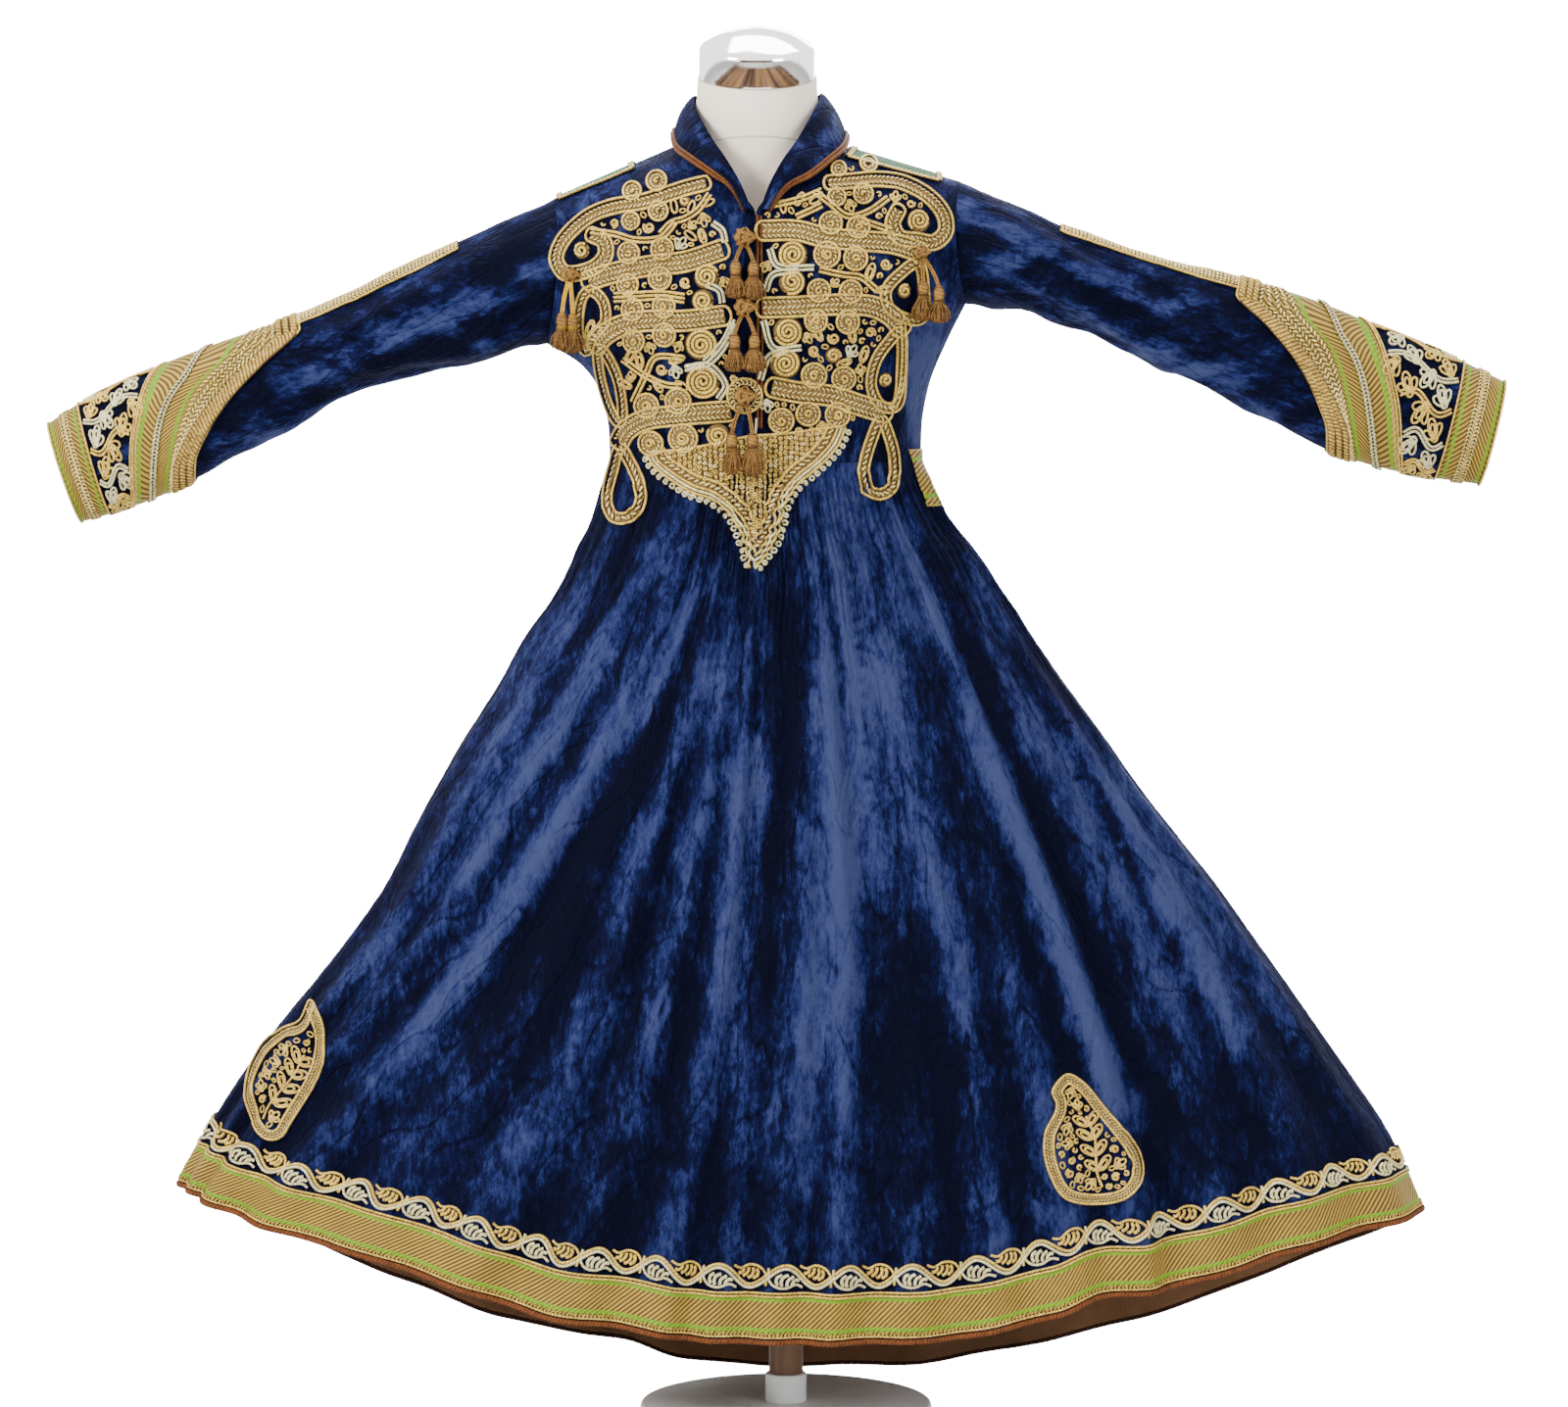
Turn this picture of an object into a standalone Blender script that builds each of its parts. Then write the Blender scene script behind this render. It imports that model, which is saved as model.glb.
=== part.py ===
# A velvet wedding dress with gold braid, worn on a limbless dress form.
# The tables are in millimetres: x to the viewer's right, y to the back, z up from the floor.
# The front faces -Y. The tables' x is measured from the neck's middle, and the stand's
# foot, where the part rests, is the origin of what is built.

import math

import bmesh
import bpy
import numpy as np
from mathutils import Vector
from mathutils.bvhtree import BVHTree

MM = 0.001
STAND_X = 30.0          # the stand's axis, in the tables' x
CLOTH = 2.0             # velvet and its lining together
SEAM = 0.2              # how far each piece keeps back from a seam's cut
SKIN = 0.35             # air under trim that follows a panel's own facets
APPLIED = 1.2           # air under braid that crosses a panel's facets
SETTLED = 0.45          # air under braid laid on the fronts, measured from the front
FRONT, BACK = -1, 1
SIDES = {"left": -1, "right": 1}

# Colours are (red, green, blue), then roughness and metallic.
COLOURS = {
    "velvet": ((0.018, 0.026, 0.13), 0.75, 0.0),
    "gold braid": ((0.56, 0.40, 0.17), 0.45, 0.4),
    "silver braid": ((0.62, 0.58, 0.42), 0.45, 0.4),
    "gold ribbon": ((0.45, 0.30, 0.10), 0.5, 0.3),
    "copper piping": ((0.30, 0.10, 0.04), 0.6, 0.2),
    "rust piping": ((0.28, 0.07, 0.03), 0.8, 0.0),
    "brown lining": ((0.20, 0.10, 0.05), 0.85, 0.0),
    "green silk": ((0.05, 0.22, 0.10), 0.5, 0.0),
    "tassel thread": ((0.26, 0.10, 0.03), 0.8, 0.0),
    "form cover": ((0.80, 0.76, 0.70), 0.7, 0.0),
    "chrome": ((0.85, 0.85, 0.86), 0.12, 1.0),
    "stand wood": ((0.16, 0.08, 0.04), 0.5, 0.0),
    "stand base": ((0.85, 0.84, 0.82), 0.4, 0.0),
}

WAIST = 980.0
SHOULDER_ROW = 12
ARMPIT_ROW = 4
BODICE_COLUMNS = 9

# The front's inner edge, waist to neck point: out from the opening, y, height, sweep of the row.
FRONT_EDGE = [
    (0, -101, 980, 90), (0, -105, 1015, 90), (0, -112, 1050, 90), (0, -118, 1085, 90),
    (0, -123, 1120, 90), (0, -123, 1155, 80), (0, -119, 1190, 70), (0, -111, 1226, 60),
    (18, -104, 1250, 52), (36, -92, 1268, 47), (53, -72, 1282, 43), (66, -42, 1293, 41),
    (74, 0, 1301, 40),
]
# The back's inner edge: out from the middle, y, height, sweep of the row.
BACK_EDGE = [
    (0, 88, 980, 90), (0, 90, 1020, 90), (0, 94, 1060, 90), (0, 99, 1100, 90),
    (0, 103, 1140, 90), (0, 104, 1180, 80), (0, 101, 1220, 70), (0, 93, 1260, 60),
    (0, 76, 1298, 52), (26, 71, 1299, 47), (50, 54, 1300, 43), (67, 28, 1301, 41),
    (74, 0, 1301, 40),
]
BACK_NECK_ROW = 8
FRONT_NECK_ROW = 7
# Side seams from waist to armpit: (x, height) for each row.
SIDE_SEAM = {
    "left": [(-149, 980), (-150, 1010), (-157, 1045), (-176, 1075), (-212, 1098)],
    "right": [(167, 980), (168, 1015), (175, 1055), (193, 1100), (212, 1138)],
}
# Sleeves, armhole to cuff: top x, top height, bottom x, bottom height, half depth, middle y.
SLEEVE = {
    "left": [
        (-203, 1245, -212, 1098, 59, 0), (-275, 1213, -268, 1084, 52, 4),
        (-345, 1181, -328, 1068, 44, 10), (-415, 1146, -392, 1056, 40, 16),
        (-485, 1119, -460, 1019, 38, 22), (-555, 1095, -527, 984, 37, 28),
        (-625, 1068, -595, 950, 36, 34), (-680, 1043, -650, 929, 34, 38),
        (-724, 1015, -692, 917, 32, 40),
    ],
    "right": [
        (205, 1262, 212, 1138, 59, 0), (275, 1232, 268, 1131, 52, 4),
        (345, 1204, 325, 1111, 44, 10), (415, 1182, 390, 1081, 40, 16),
        (485, 1165, 455, 1052, 38, 22), (555, 1146, 520, 1021, 37, 28),
        (625, 1119, 592, 986, 36, 34), (700, 1089, 670, 965, 34, 38),
        (765, 1058, 740, 955, 32, 40),
    ],
}
SLEEVE_LENGTH = {"left": 541.0, "right": 590.0}
SLEEVE_COLUMNS = 16
SLEEVE_ROWS = 6         # rows between the cuff ornament and the armhole
ARMHOLE_HOLLOW = 8.0    # how far the armhole curves in at the front and back
# Sleeve folds: turn from the top at the cuff end and at the armhole end (degrees),
# where it starts and ends (share of the way from the ornament to the armhole), height.
SLEEVE_FOLDS = {
    "left": [(110, 150, 0.30, 0.95, 6), (75, 60, 0.15, 0.85, 5), (260, 240, 0.2, 0.9, 5)],
    "right": [(130, 40, 0.10, 0.90, 6), (165, 85, 0.20, 0.95, 5), (250, 290, 0.1, 0.9, 5)],
}
FOLD_TURN = 30.0        # half the width of a sleeve fold, degrees
# The cuff ornament's length at each turn from the top of the sleeve (degrees, mm).
CUFF_REACH = [(0, 290), (45, 290), (67.5, 252), (90, 211), (112.5, 182), (135, 165), (180, 155)]
CUFF_BAND = 50.0
CUFF_THICK = 2.0
TAIL_ROWS = 4
TAIL_HALF = 10.0

# Silhouette of the skirt: height, left x, right x.
SKIRT_SIDES = [
    (200, -600, 688), (208, -598, 685), (250, -588, 668), (300, -560, 643), (350, -528, 609),
    (400, -491, 574), (450, -450, 539), (500, -411, 503), (550, -377, 467), (600, -352, 427),
    (650, -325, 388), (700, -296, 353), (750, -264, 316), (800, -236, 281), (850, -201, 248),
    (890, -182, 221), (920, -167, 196), (950, -158, 180), (980, -149, 167),
]
# Depth of the skirt: way down (0 waist, 1 hem), front, back.
SKIRT_DEPTH = [
    (0, 101, 88), (0.06, 112, 93), (0.12, 125, 104), (0.26, 143, 128), (0.6, 160, 155), (1, 175, 175),
]
# Height of the hem: place across (-1 left seam, 1 right seam), height.
FRONT_HEM = [
    (-1, 241), (-0.88, 217), (-0.64, 181), (-0.45, 147), (-0.35, 129), (-0.24, 121), (-0.07, 107),
    (0.12, 105), (0.25, 106), (0.38, 120), (0.445, 131), (0.5, 146), (0.585, 152), (0.65, 162),
    (0.72, 173), (0.85, 197), (1, 213),
]
BACK_HEM = [
    (-1, 241), (-0.88, 200), (-0.74, 145), (-0.62, 112), (-0.44, 68), (-0.24, 43), (-0.14, 25),
    (0, 16), (0.13, 15), (0.245, 18), (0.36, 32), (0.48, 51), (0.6, 75), (0.71, 104), (0.83, 143),
    (0.89, 163), (0.95, 184), (1, 213),
]
# Folds, left to right: turn at the waist, turn at the hem (degrees from the middle),
# height at the gathers, halfway down and at the hem, and where the next valley lies (0 to 1).
FRONT_FOLDS = [
    (-80, -84, 1.0, 2, 3, 0.5), (-52, -77, 1.2, 6, 5, 0.5), (-34, -70, 1.8, 8, 7, 0.5),
    (-20, -57, 2.2, 9, 11, 0.5), (-14, -43, 1.8, 3, 5, 0.5), (-9, -30, 2.2, 7, 9, 0.5),
    (-4, -19, 2.2, 6, 8, 0.5), (1, -9, 2.4, 8, 10, 0.5), (6, -4, 2.2, 3, 4, 0.5),
    (11, 1, 2.2, 3, 5, 0.5), (17, 6, 2.4, 9, 11, 0.5), (23, 13, 2.2, 4, 6, 0.5),
    (30, 20, 2.0, 5, 8, 0.5), (38, 27, 2.0, 5, 7, 0.5), (47, 35, 1.5, 13, 15, 0.3),
    (58, 43, 1.5, 5, 8, 0.5), (74, 55, 1.2, 9, 11, 0.5), (84, 72, 1.0, 5, 7, 0.5),
]
BACK_FOLDS = [
    (-72, -76, 1.0, 5, 6, 0.5), (-58, -62, 1.5, 8, 10, 0.5), (-45, -47, 2.0, 6, 8, 0.5),
    (-34, -36, 2.0, 9, 12, 0.5), (-23, -24, 2.2, 6, 8, 0.5), (-12, -13, 2.2, 9, 12, 0.5),
    (-2, -3, 2.2, 5, 8, 0.5), (8, 8, 2.2, 9, 12, 0.5), (19, 20, 2.2, 6, 8, 0.5),
    (31, 32, 2.0, 9, 11, 0.5), (43, 45, 2.0, 6, 9, 0.5), (56, 60, 1.5, 8, 10, 0.5),
    (70, 75, 1.0, 5, 6, 0.5),
]
BELT_FOOT = 0.07        # the waist ribbon ends above this share of the way down
WIDEST_COLUMN = 8.5     # a wider gap between fold lines at the hem gets one more column
FRONT_ROWS = [0, 0.06, 0.15, 0.32, 0.54, 0.775, 0.90, 0.94, 1.0]
BACK_ROWS = [0, 0.06, 0.16, 0.34, 0.56, 0.775, 0.90, 0.94, 1.0]
VINE_PERIOD = 66.0
HEM_PIPING_DROP, HEM_PIPING_OUT = 0.8, 1.0  # how far its upper edge lies below and outside the hem

PANEL_COLUMNS, PANEL_ROW = (4, 8), 9    # the shoulder panels' columns and lowest row of the back
# The braid bars on the fronts: centre line from the opening outwards (x, height),
# how far the rosettes reach above and below it, where they sit along it (0 to 1),
# and how far round it is laid over the cloth's curve.
BARS = {
    "bar_left_1": ([(-58, 1248), (-82, 1246), (-114, 1239), (-140, 1234)],
                   18, 24, (0.36, 0.70), 5),
    "bar_left_2": ([(-33, 1190), (-69, 1182), (-122, 1171), (-150, 1167), (-182, 1163)],
                   22, 24, (0.36, 0.62), 2),
    "bar_left_3": ([(-30, 1126), (-59, 1125), (-96, 1124), (-120, 1114), (-144, 1102)],
                   23, 24, (0.36, 0.66), 6),
    "bar_left_4": ([(-28, 1032), (-59, 1031), (-80, 1026), (-102, 1024), (-120, 1020)],
                   22, 23, (0.42, 0.75), 0),
    "bar_right_1": ([(72, 1254), (100, 1257), (130, 1254)],
                    13, 22, (0.35, 0.74), 7),
    "bar_right_2": ([(17, 1211), (51, 1210), (81, 1203), (106, 1198), (136, 1196), (160, 1193)],
                    22, 24, (0.36, 0.58), 2),
    "bar_right_3": ([(12, 1137), (41, 1136), (75, 1139), (100, 1137), (118, 1132)],
                    23, 24, (0.42, 0.74), 0),
    "bar_right_4": ([(15, 1053), (41, 1053), (67, 1051), (90, 1043), (110, 1037)],
                    23, 24, (0.38, 0.72), 0),
}
BAR_HALF = 11.0
ROSETTE = 13.0
BAR_THICK, ROSETTE_THICK = 3.2, 2.2
BAR_PINCH = 0.75            # how wide a bar's ends are, as a share of its middle
BAR_RIM = 1.2               # how far the thin edge reaches past the bar where no rosette is
# The braid loops at the bars' outer ends: middle x, height, half width, half height,
# point (0 round), and how far round it is laid over the cloth's ridges.
LOOPS = {
    "loop_left_1": (-168, 1203, 25, 26, 0.0, 3),
    "loop_left_2": (-168, 1119, 15, 29, 0.35, 5),
    "loop_left_3": (-141, 1050, 11, 34, 0.2, 3),
    "loop_left_4": (-134, 948, 19, 34, 0.35, 7),
    "loop_right_1": (162, 1229, 26, 24, 0.0, 3),
    "loop_right_2": (147, 1150, 21, 29, 0.2, 3),
    "loop_right_3": (134, 1074, 15, 39, 0.2, 3),
    "loop_right_4": (124, 984, 19, 42, 0.35, 7),
}
LOOP_BAND = 9.0
LOOP_POINTS = 12
LOOP_HOLE = 0.62            # most of a narrow loop's half width that its band takes
LOOP_THICK = 2.6
# The pointed waist ornament: x, upper edge, lower edge, from the outer end to the tip.
WAIST_POINT = {
    "left": [
        (-101, 981, 977), (-80, 982, 957), (-50, 985, 943), (-27, 989, 930), (-14, 991, 907), (-7, 992, 884),
        (-1.0, 992, 873),
    ],
    "right": [
        (87, 1012, 1001), (76, 1013, 988), (60, 1014, 972), (44, 1014, 956), (28, 1010, 930), (16, 1008, 897),
        (1.0, 1006, 873),
    ],
}
WAIST_POINT_THICK = (2.6, 3.2, 2.6)     # at its upper edge, along its middle and at its lower edge
WAIST_POINT_SPREAD = 7.0    # how far round it is laid over the gathers' ridges
# Knot buttons: x, height, radius, height of the tassels' ends, how far those swing sideways.
KNOTS = {
    "centre_1": (-10, 1204, 7.5, 1145, 0),
    "centre_2": (-12, 1135, 7.5, 1069, 0),
    "centre_3": (-11, 1043, 7.5, 964, 0),
    "side_left": (-180, 1165, 7.5, 1089, -7),
    "side_right": (156, 1192, 7.5, 1121, 10),
}
KNOT_FLAT = 0.8             # how deep a knot is, as a share of how wide it is
KNOT_LEVELS, KNOT_SIDES = 4, 8
TASSEL_SIDES = 8
TASSEL_APART = 9.5          # half the way between a knot's two tassels
TASSEL_HEAD = 7.0           # half a head's width
TASSEL_NECK, TASSEL_CORD = 2.2, 1.3     # radius where the cord meets a head, and further up
TASSEL_AIR = 1.5            # least air behind the heads
LOCK_LENGTH = 32.0
LOCK_STEP = 2.0             # how much shorter each next lock of three is
LOCK_SPREAD = 3.0           # how far a lock's foot stands out
# Paisleys: outline (x, height), clockwise from the curled tip.
PAISLEYS = {
    "paisley_left": [
        (-454, 432), (-440, 418), (-434, 384), (-444, 354), (-466, 318), (-479, 298), (-497, 296),
        (-513, 314), (-521, 346), (-508, 380), (-484, 402), (-464, 412),
    ],
    "paisley_right": [
        (310, 371), (330, 362), (348, 341), (370, 314), (384, 290), (386, 268), (374, 249),
        (352, 240), (325, 241), (303, 252), (289, 282), (287, 312), (298, 338), (294, 356),
    ],
}
# The collar, from the opening round to the shoulder: fold line (x, y, height), then outer
# edge (x, y, height); an edge of two numbers (x, height) lies on the front there.
COLLAR = {
    "left": [
        ((-5, -117, 1232), (-10, 1229)), ((-15, -113, 1257), (-24, 1253)),
        ((-29, -102, 1281), (-43, 1265)), ((-44, -80, 1303), (-64, 1277)),
        ((-58, -46, 1328), (-80, -46, 1294)), ((-64, 0, 1346), (-84, 0, 1311)),
    ],
    "right": [
        ((5, -117, 1232), (12, 1229)), ((14, -113, 1257), (30, 1252)),
        ((27, -101, 1281), (54, 1263)), ((41, -79, 1301), (74, 1277)),
        ((58, -46, 1331), (88, -46, 1294)), ((66, 0, 1350), (92, 0, 1308)),
    ],
}
# Round the back of the neck: turn from the shoulder (degrees), fold height, edge height.
COLLAR_BACK = [(22.5, 1349, 1306), (45, 1350, 1303), (67.5, 1350, 1301), (90, 1350, 1300)]
COLLAR_BACK_FOLD = 79.0     # how far back the fold line lies
COLLAR_BACK_EDGE = 98.0
FOLD_DEPTH = 0.38           # how deep the fold's own thickness is, as a share of the stand's half
COLLAR_SEAM = 0.25          # how far above the neckline's cut the collar starts
COLLAR_STAND = 0.55         # where the stand's bend lies between the seam and the fold
COLLAR_LEAN, COLLAR_BULGE = 1.0, 3.5    # how far the stand leans in and the fall stands out
PIPING_RADIUS = 2.5
PIPING_AIR = 0.8
PIPING_SIDES = 5

# The form: height, half width, front depth, back depth, middle y.
FORM = [
    (650, 108, 64, 70, 0), (662, 124, 76, 82, 0), (700, 152, 92, 98, 0), (760, 165, 100, 104, 0),
    (850, 158, 94, 96, 0), (930, 128, 80, 78, 0), (980, 124, 78, 74, 0), (1060, 138, 94, 82, 0),
    (1130, 152, 110, 90, 0), (1190, 166, 102, 90, 0), (1230, 156, 86, 82, 0), (1258, 118, 70, 68, 0),
    (1280, 82, 58, 58, -2), (1300, 68, 56, 60, -4), (1322, 66.3, 58, 60, -6), (1345, 61, 56, 57, -10),
    (1366, 60, 56, 56, -13),
]
FORM_X = 1.0
FORM_SIDES = 20
FORM_AIR = 5.0          # least air between the form and the cloth round it
SHOULDER_REST = 1250.0  # above this height the cloth lies close on the form
SHOULDER_AIR = 1.2
NECK_TILT = 15.0        # the neck's top and its cap slope down to the front
CAP = [(0, 57), (6, 58.5), (30, 57.5), (44, 53), (54, 40), (58, 20)]    # height, radius
CAP_Z = 1366.6
POLE_RADIUS, POLE_SIDES = 17.5, 16
POLE_AIR = 0.3              # between the pole's ends and what they stand in
BASE_RADIUS, BASE_THICK, BASE_SIDES = 150.0, 12.0, 24
BASE_BEVEL = 6.0
SOCKET_RADIUS, SOCKET_Z = 21.0, 42.0


def clamp(value, low=0.0, high=1.0):
    return max(low, min(high, value))


def smooth(share):
    share = clamp(share)
    return share * share * (3 - 2 * share)


def mix(first, second, share):
    return first + (second - first) * share


def read(rows, place, column=1):
    # The value of one column of a table at a place between its rows.
    return float(np.interp(place, [row[0] for row in rows], [row[column] for row in rows]))


def along(points, share):
    # The point a share of the way along a line of points.
    steps = [(second - first).length for first, second in zip(points, points[1:])]
    goal = clamp(share) * sum(steps)
    for first, second, step in zip(points, points[1:], steps):
        if goal <= step:
            return mix(first, second, goal / step)
        goal -= step
    return points[-1].copy()


def material(name):
    made = bpy.data.materials.get(name)
    if made:
        return made
    colour, roughness, metallic = COLOURS[name]
    made = bpy.data.materials.new(name)
    made.use_nodes = True
    shader = made.node_tree.nodes["Principled BSDF"]
    shader.inputs["Base Color"].default_value = (*colour, 1)
    shader.inputs["Roughness"].default_value = roughness
    shader.inputs["Metallic"].default_value = metallic
    return made


def add_object(name, points, faces, finish):
    # One closed solid, from points in the tables' millimetres.
    mesh = bpy.data.meshes.new(name)
    mesh.from_pydata([((p.x - STAND_X) * MM, p.y * MM, p.z * MM) for p in points], [], faces)
    work = bmesh.new()
    work.from_mesh(mesh)
    bmesh.ops.recalc_face_normals(work, faces=work.faces)
    work.to_mesh(mesh)
    work.free()
    mesh.shade_smooth()
    mesh.set_sharp_from_angle(angle=math.radians(40))
    mesh.materials.append(material(finish))
    made = bpy.data.objects.new(name, mesh)
    bpy.context.scene.collection.objects.link(made)
    return made


class Cloth:
    # A panel: the points of its outer face, and the way from each to its inner face.

    def __init__(self, inside=None, turned_in=False):
        self.inside = inside        # a point that the outer face looks away from
        self.turned_in = turned_in  # whether its outer face meets its neighbour's inner one
        self.points = {}
        self.walls = {}
        self.moves = {}
        self.cells = []

    def grid(self, rows, wrap=False):
        # Rows of keys, joined cell by cell.
        for lower, upper in zip(rows, rows[1:]):
            count = len(lower) if wrap else len(lower) - 1
            for c in range(count):
                d = (c + 1) % len(lower)
                self.cells.append((lower[c], lower[d], upper[d], upper[c]))

    def triangles(self):
        for a, b, c, d in self.cells:
            yield a, b, c
            yield a, c, d

    def close(self, thickness=CLOTH):
        # Turns the cells to face out, then gives each point its wall.
        normals = {key: Vector((0, 0, 0)) for key in self.points}
        facing = 0.0
        for corners in self.triangles():
            a, b, c = (self.points[key] for key in corners)
            normal = (b - a).cross(c - a)
            if self.inside is not None:
                facing += normal.dot((a + b + c) / 3 - self.inside)
            for key in corners:
                normals[key] += normal
        if facing < 0:
            self.cells = [(a, d, c, b) for a, b, c, d in self.cells]
            normals = {key: -normal for key, normal in normals.items()}
        for key, normal in normals.items():
            if key not in self.walls:
                self.walls[key] = -normal.normalized() * thickness
        return self

    def move(self, key, way):
        self.moves[key] = self.moves.get(key, Vector((0, 0, 0))) + way

    def outer(self, key):
        return self.points[key] + self.moves.get(key, Vector((0, 0, 0)))

    def inner(self, key):
        return self.outer(key) + self.walls[key]

    def out(self, key):
        return -self.walls[key].normalized()

    def solid(self, name, finish):
        keys = sorted({key for cell in self.cells for key in cell}, key=str)
        place = {key: number for number, key in enumerate(keys)}
        count = len(keys)
        points = [self.outer(key) for key in keys] + [self.inner(key) for key in keys]
        faces = []
        edges = set()
        for a, b, c in self.triangles():
            faces.append((place[a], place[b], place[c]))
            faces.append((place[a] + count, place[c] + count, place[b] + count))
            edges.update([(place[a], place[b]), (place[b], place[c]), (place[c], place[a])])
        for a, b in sorted(edges):
            if (b, a) not in edges:
                # Both sides of a seam are cut along the same diagonal.
                if (points[a].z < points[b].z) != self.turned_in:
                    faces.append((b, a, a + count))
                    faces.append((b, a + count, b + count))
                else:
                    faces.append((b, a, b + count))
                    faces.append((a, a + count, b + count))
        return add_object(name, points, faces, finish)


def trim(panel, rows, finish, name, lift=SKIN, thickness=1.5, wrap=False, inside=False):
    # A strip that follows some of a panel's own points, over its outer or inner face.
    strip = Cloth()
    for key in {key for row in rows for key in row}:
        way = panel.out(key)
        if inside:
            strip.points[key] = panel.inner(key) - way * lift
        else:
            strip.points[key] = panel.outer(key) + way * (lift + thickness)
        strip.walls[key] = -way * thickness
    strip.grid(rows, wrap)
    return strip.solid(name, finish)


# Bodice

def armhole(side, turn, face):
    # A point of the armhole seam: turn 0 is the armpit, 180 the shoulder.
    sign = SIDES[side]
    top_x, top_z, low_x, low_z, depth, _ = SLEEVE[side][0]
    angle = math.radians(turn)
    x = (top_x + low_x) / 2 + (low_x - top_x) / 2 * math.cos(angle)
    z = (top_z + low_z) / 2 + (low_z - top_z) / 2 * math.cos(angle)
    x -= sign * ARMHOLE_HOLLOW * math.sin(angle) ** 2
    y = 0.0 if turn in (0, 180) else face * depth * math.sin(angle)
    return Vector((x, y, z))


def armhole_cut(side, turn, face):
    # The seam's cut: the way through the wall, and the way across the cut towards the sleeve.
    sign = SIDES[side]
    top_x, top_z, low_x, low_z, _, _ = SLEEVE[side][0]
    middle = Vector(((top_x + low_x) / 2, 0, (top_z + low_z) / 2))
    radial = (middle - armhole(side, turn, face)).normalized()
    if turn in (0, 180):
        radial.y = 0
    share = smooth(turn / 60)
    wall = Vector((-sign, 0, 1)) * CLOTH * (1 - share) + radial * CLOTH * share
    step = 5.0
    ahead = armhole(side, min(180, turn + step), face)
    behind = armhole(side, max(0, turn - step), face)
    if turn in (0, 180):
        tangent = Vector((0, 1, 0))
    else:
        tangent = ahead - behind
    across = tangent.cross(wall).normalized()
    if across.dot(Vector((sign, 0, 0.3))) < 0:
        across = -across
    return wall, across


def bodice_edge_rows(face):
    return FRONT_EDGE if face == FRONT else BACK_EDGE


def bodice_outer_end(side, face, row):
    if row <= ARMPIT_ROW:
        x, z = SIDE_SEAM[side][row]
        return Vector((x, 0, z))
    turn = 180 * (row - ARMPIT_ROW) / (SHOULDER_ROW - ARMPIT_ROW)
    return armhole(side, turn, face)


def bodice_point(side, face, row, share):
    # A row runs from the panel's middle to its side on a stretch of an ellipse.
    out, y, z, sweep = bodice_edge_rows(face)[row]
    start = Vector((SIDES[side] * out, y, z))
    end = bodice_outer_end(side, face, row)
    top = math.radians(sweep)
    angle = share * top
    wide = math.sin(angle) / math.sin(top)
    deep = (math.cos(angle) - math.cos(top)) / (1 - math.cos(top))
    x = mix(start.x, end.x, wide)
    z = mix(start.z, end.z, wide)
    y = mix(end.y, start.y, deep)
    return Vector((x, y, z))


def neckline_cut(point):
    # The way through the wall at the neckline: halfway between down and towards the neck.
    inward = Vector((-point.x, -point.y * 0.8, 0)).normalized()
    flat = smooth((1301 - point.z) / 75)
    way = inward + Vector((0, 0, -1)) * (1 - flat)
    return way.normalized() * CLOTH


def seam_bodice(panel, key, side, face, row, column):
    # Sets the wall and the gap at a panel's waist, side, armhole and shoulder seams.
    if row == 0:
        point = panel.points[key]
        panel.walls[key] = Vector((-point.x, -point.y * 1.6, 0)).normalized() * CLOTH
        panel.move(key, Vector((0, 0, SEAM)))
    if column == BODICE_COLUMNS:
        if row <= ARMPIT_ROW:
            panel.walls[key] = Vector((-SIDES[side] * CLOTH, 0, 0))
            panel.move(key, Vector((0, face * SEAM, 0)))
        if row >= ARMPIT_ROW:
            turn = 180 * (row - ARMPIT_ROW) / (SHOULDER_ROW - ARMPIT_ROW)
            wall, across = armhole_cut(side, turn, face)
            panel.walls[key] = wall
            panel.move(key, -across * SEAM)
    if row == SHOULDER_ROW:
        if column not in (0, BODICE_COLUMNS):
            panel.walls[key] = Vector((0, 0, -CLOTH))
        panel.move(key, Vector((0, face * SEAM, 0)))


def bodice_half(panel, side, face, label):
    # Adds one side of the front or back to a panel and gives its rows of keys.
    neck_row = FRONT_NECK_ROW if face == FRONT else BACK_NECK_ROW
    rows = []
    for row in range(SHOULDER_ROW + 1):
        keys = []
        for column in range(BODICE_COLUMNS + 1):
            shared = face == BACK and column == 0 and row <= BACK_NECK_ROW
            key = (row, 0, "middle") if shared else (row, column, label)
            keys.append(key)
            if key in panel.points:
                continue
            point = bodice_point(side, face, row, column / BODICE_COLUMNS)
            panel.points[key] = point
            if column == 0 and row >= neck_row:
                panel.walls[key] = neckline_cut(point)
                if row == SHOULDER_ROW:
                    panel.walls[key].y = 0
                panel.move(key, Vector((point.x, point.y, -60)).normalized() * SEAM)
            seam_bodice(panel, key, side, face, row, column)
            if face == FRONT and column == 0 and row <= FRONT_NECK_ROW:
                # The opening's edge is cut square, and slanted at the top for the collar's tip.
                slant = CLOTH if row == FRONT_NECK_ROW else 0.0
                panel.walls[key] = Vector((-SIDES[side] * slant, CLOTH, 0))
                panel.move(key, Vector((SIDES[side] * (SEAM + slant), 0, 0)))
        rows.append(keys)
    return rows


def build_bodice():
    middle = Vector((0, 0, 1120))
    panels = {}
    for side in SIDES:
        panel = Cloth(middle)
        rows = bodice_half(panel, side, FRONT, side)
        panel.grid(rows)
        panel.close().solid("bodice_front_" + side, "velvet")
        panels["front_" + side] = (panel, rows)
    panel = Cloth(middle)
    halves = {side: bodice_half(panel, side, BACK, side) for side in SIDES}
    panel.grid([list(reversed(row)) for row in halves["left"]])
    panel.grid(halves["right"])
    panel.close().solid("bodice_back", "velvet")
    panels["back"] = (panel, halves)
    return panels


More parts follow.
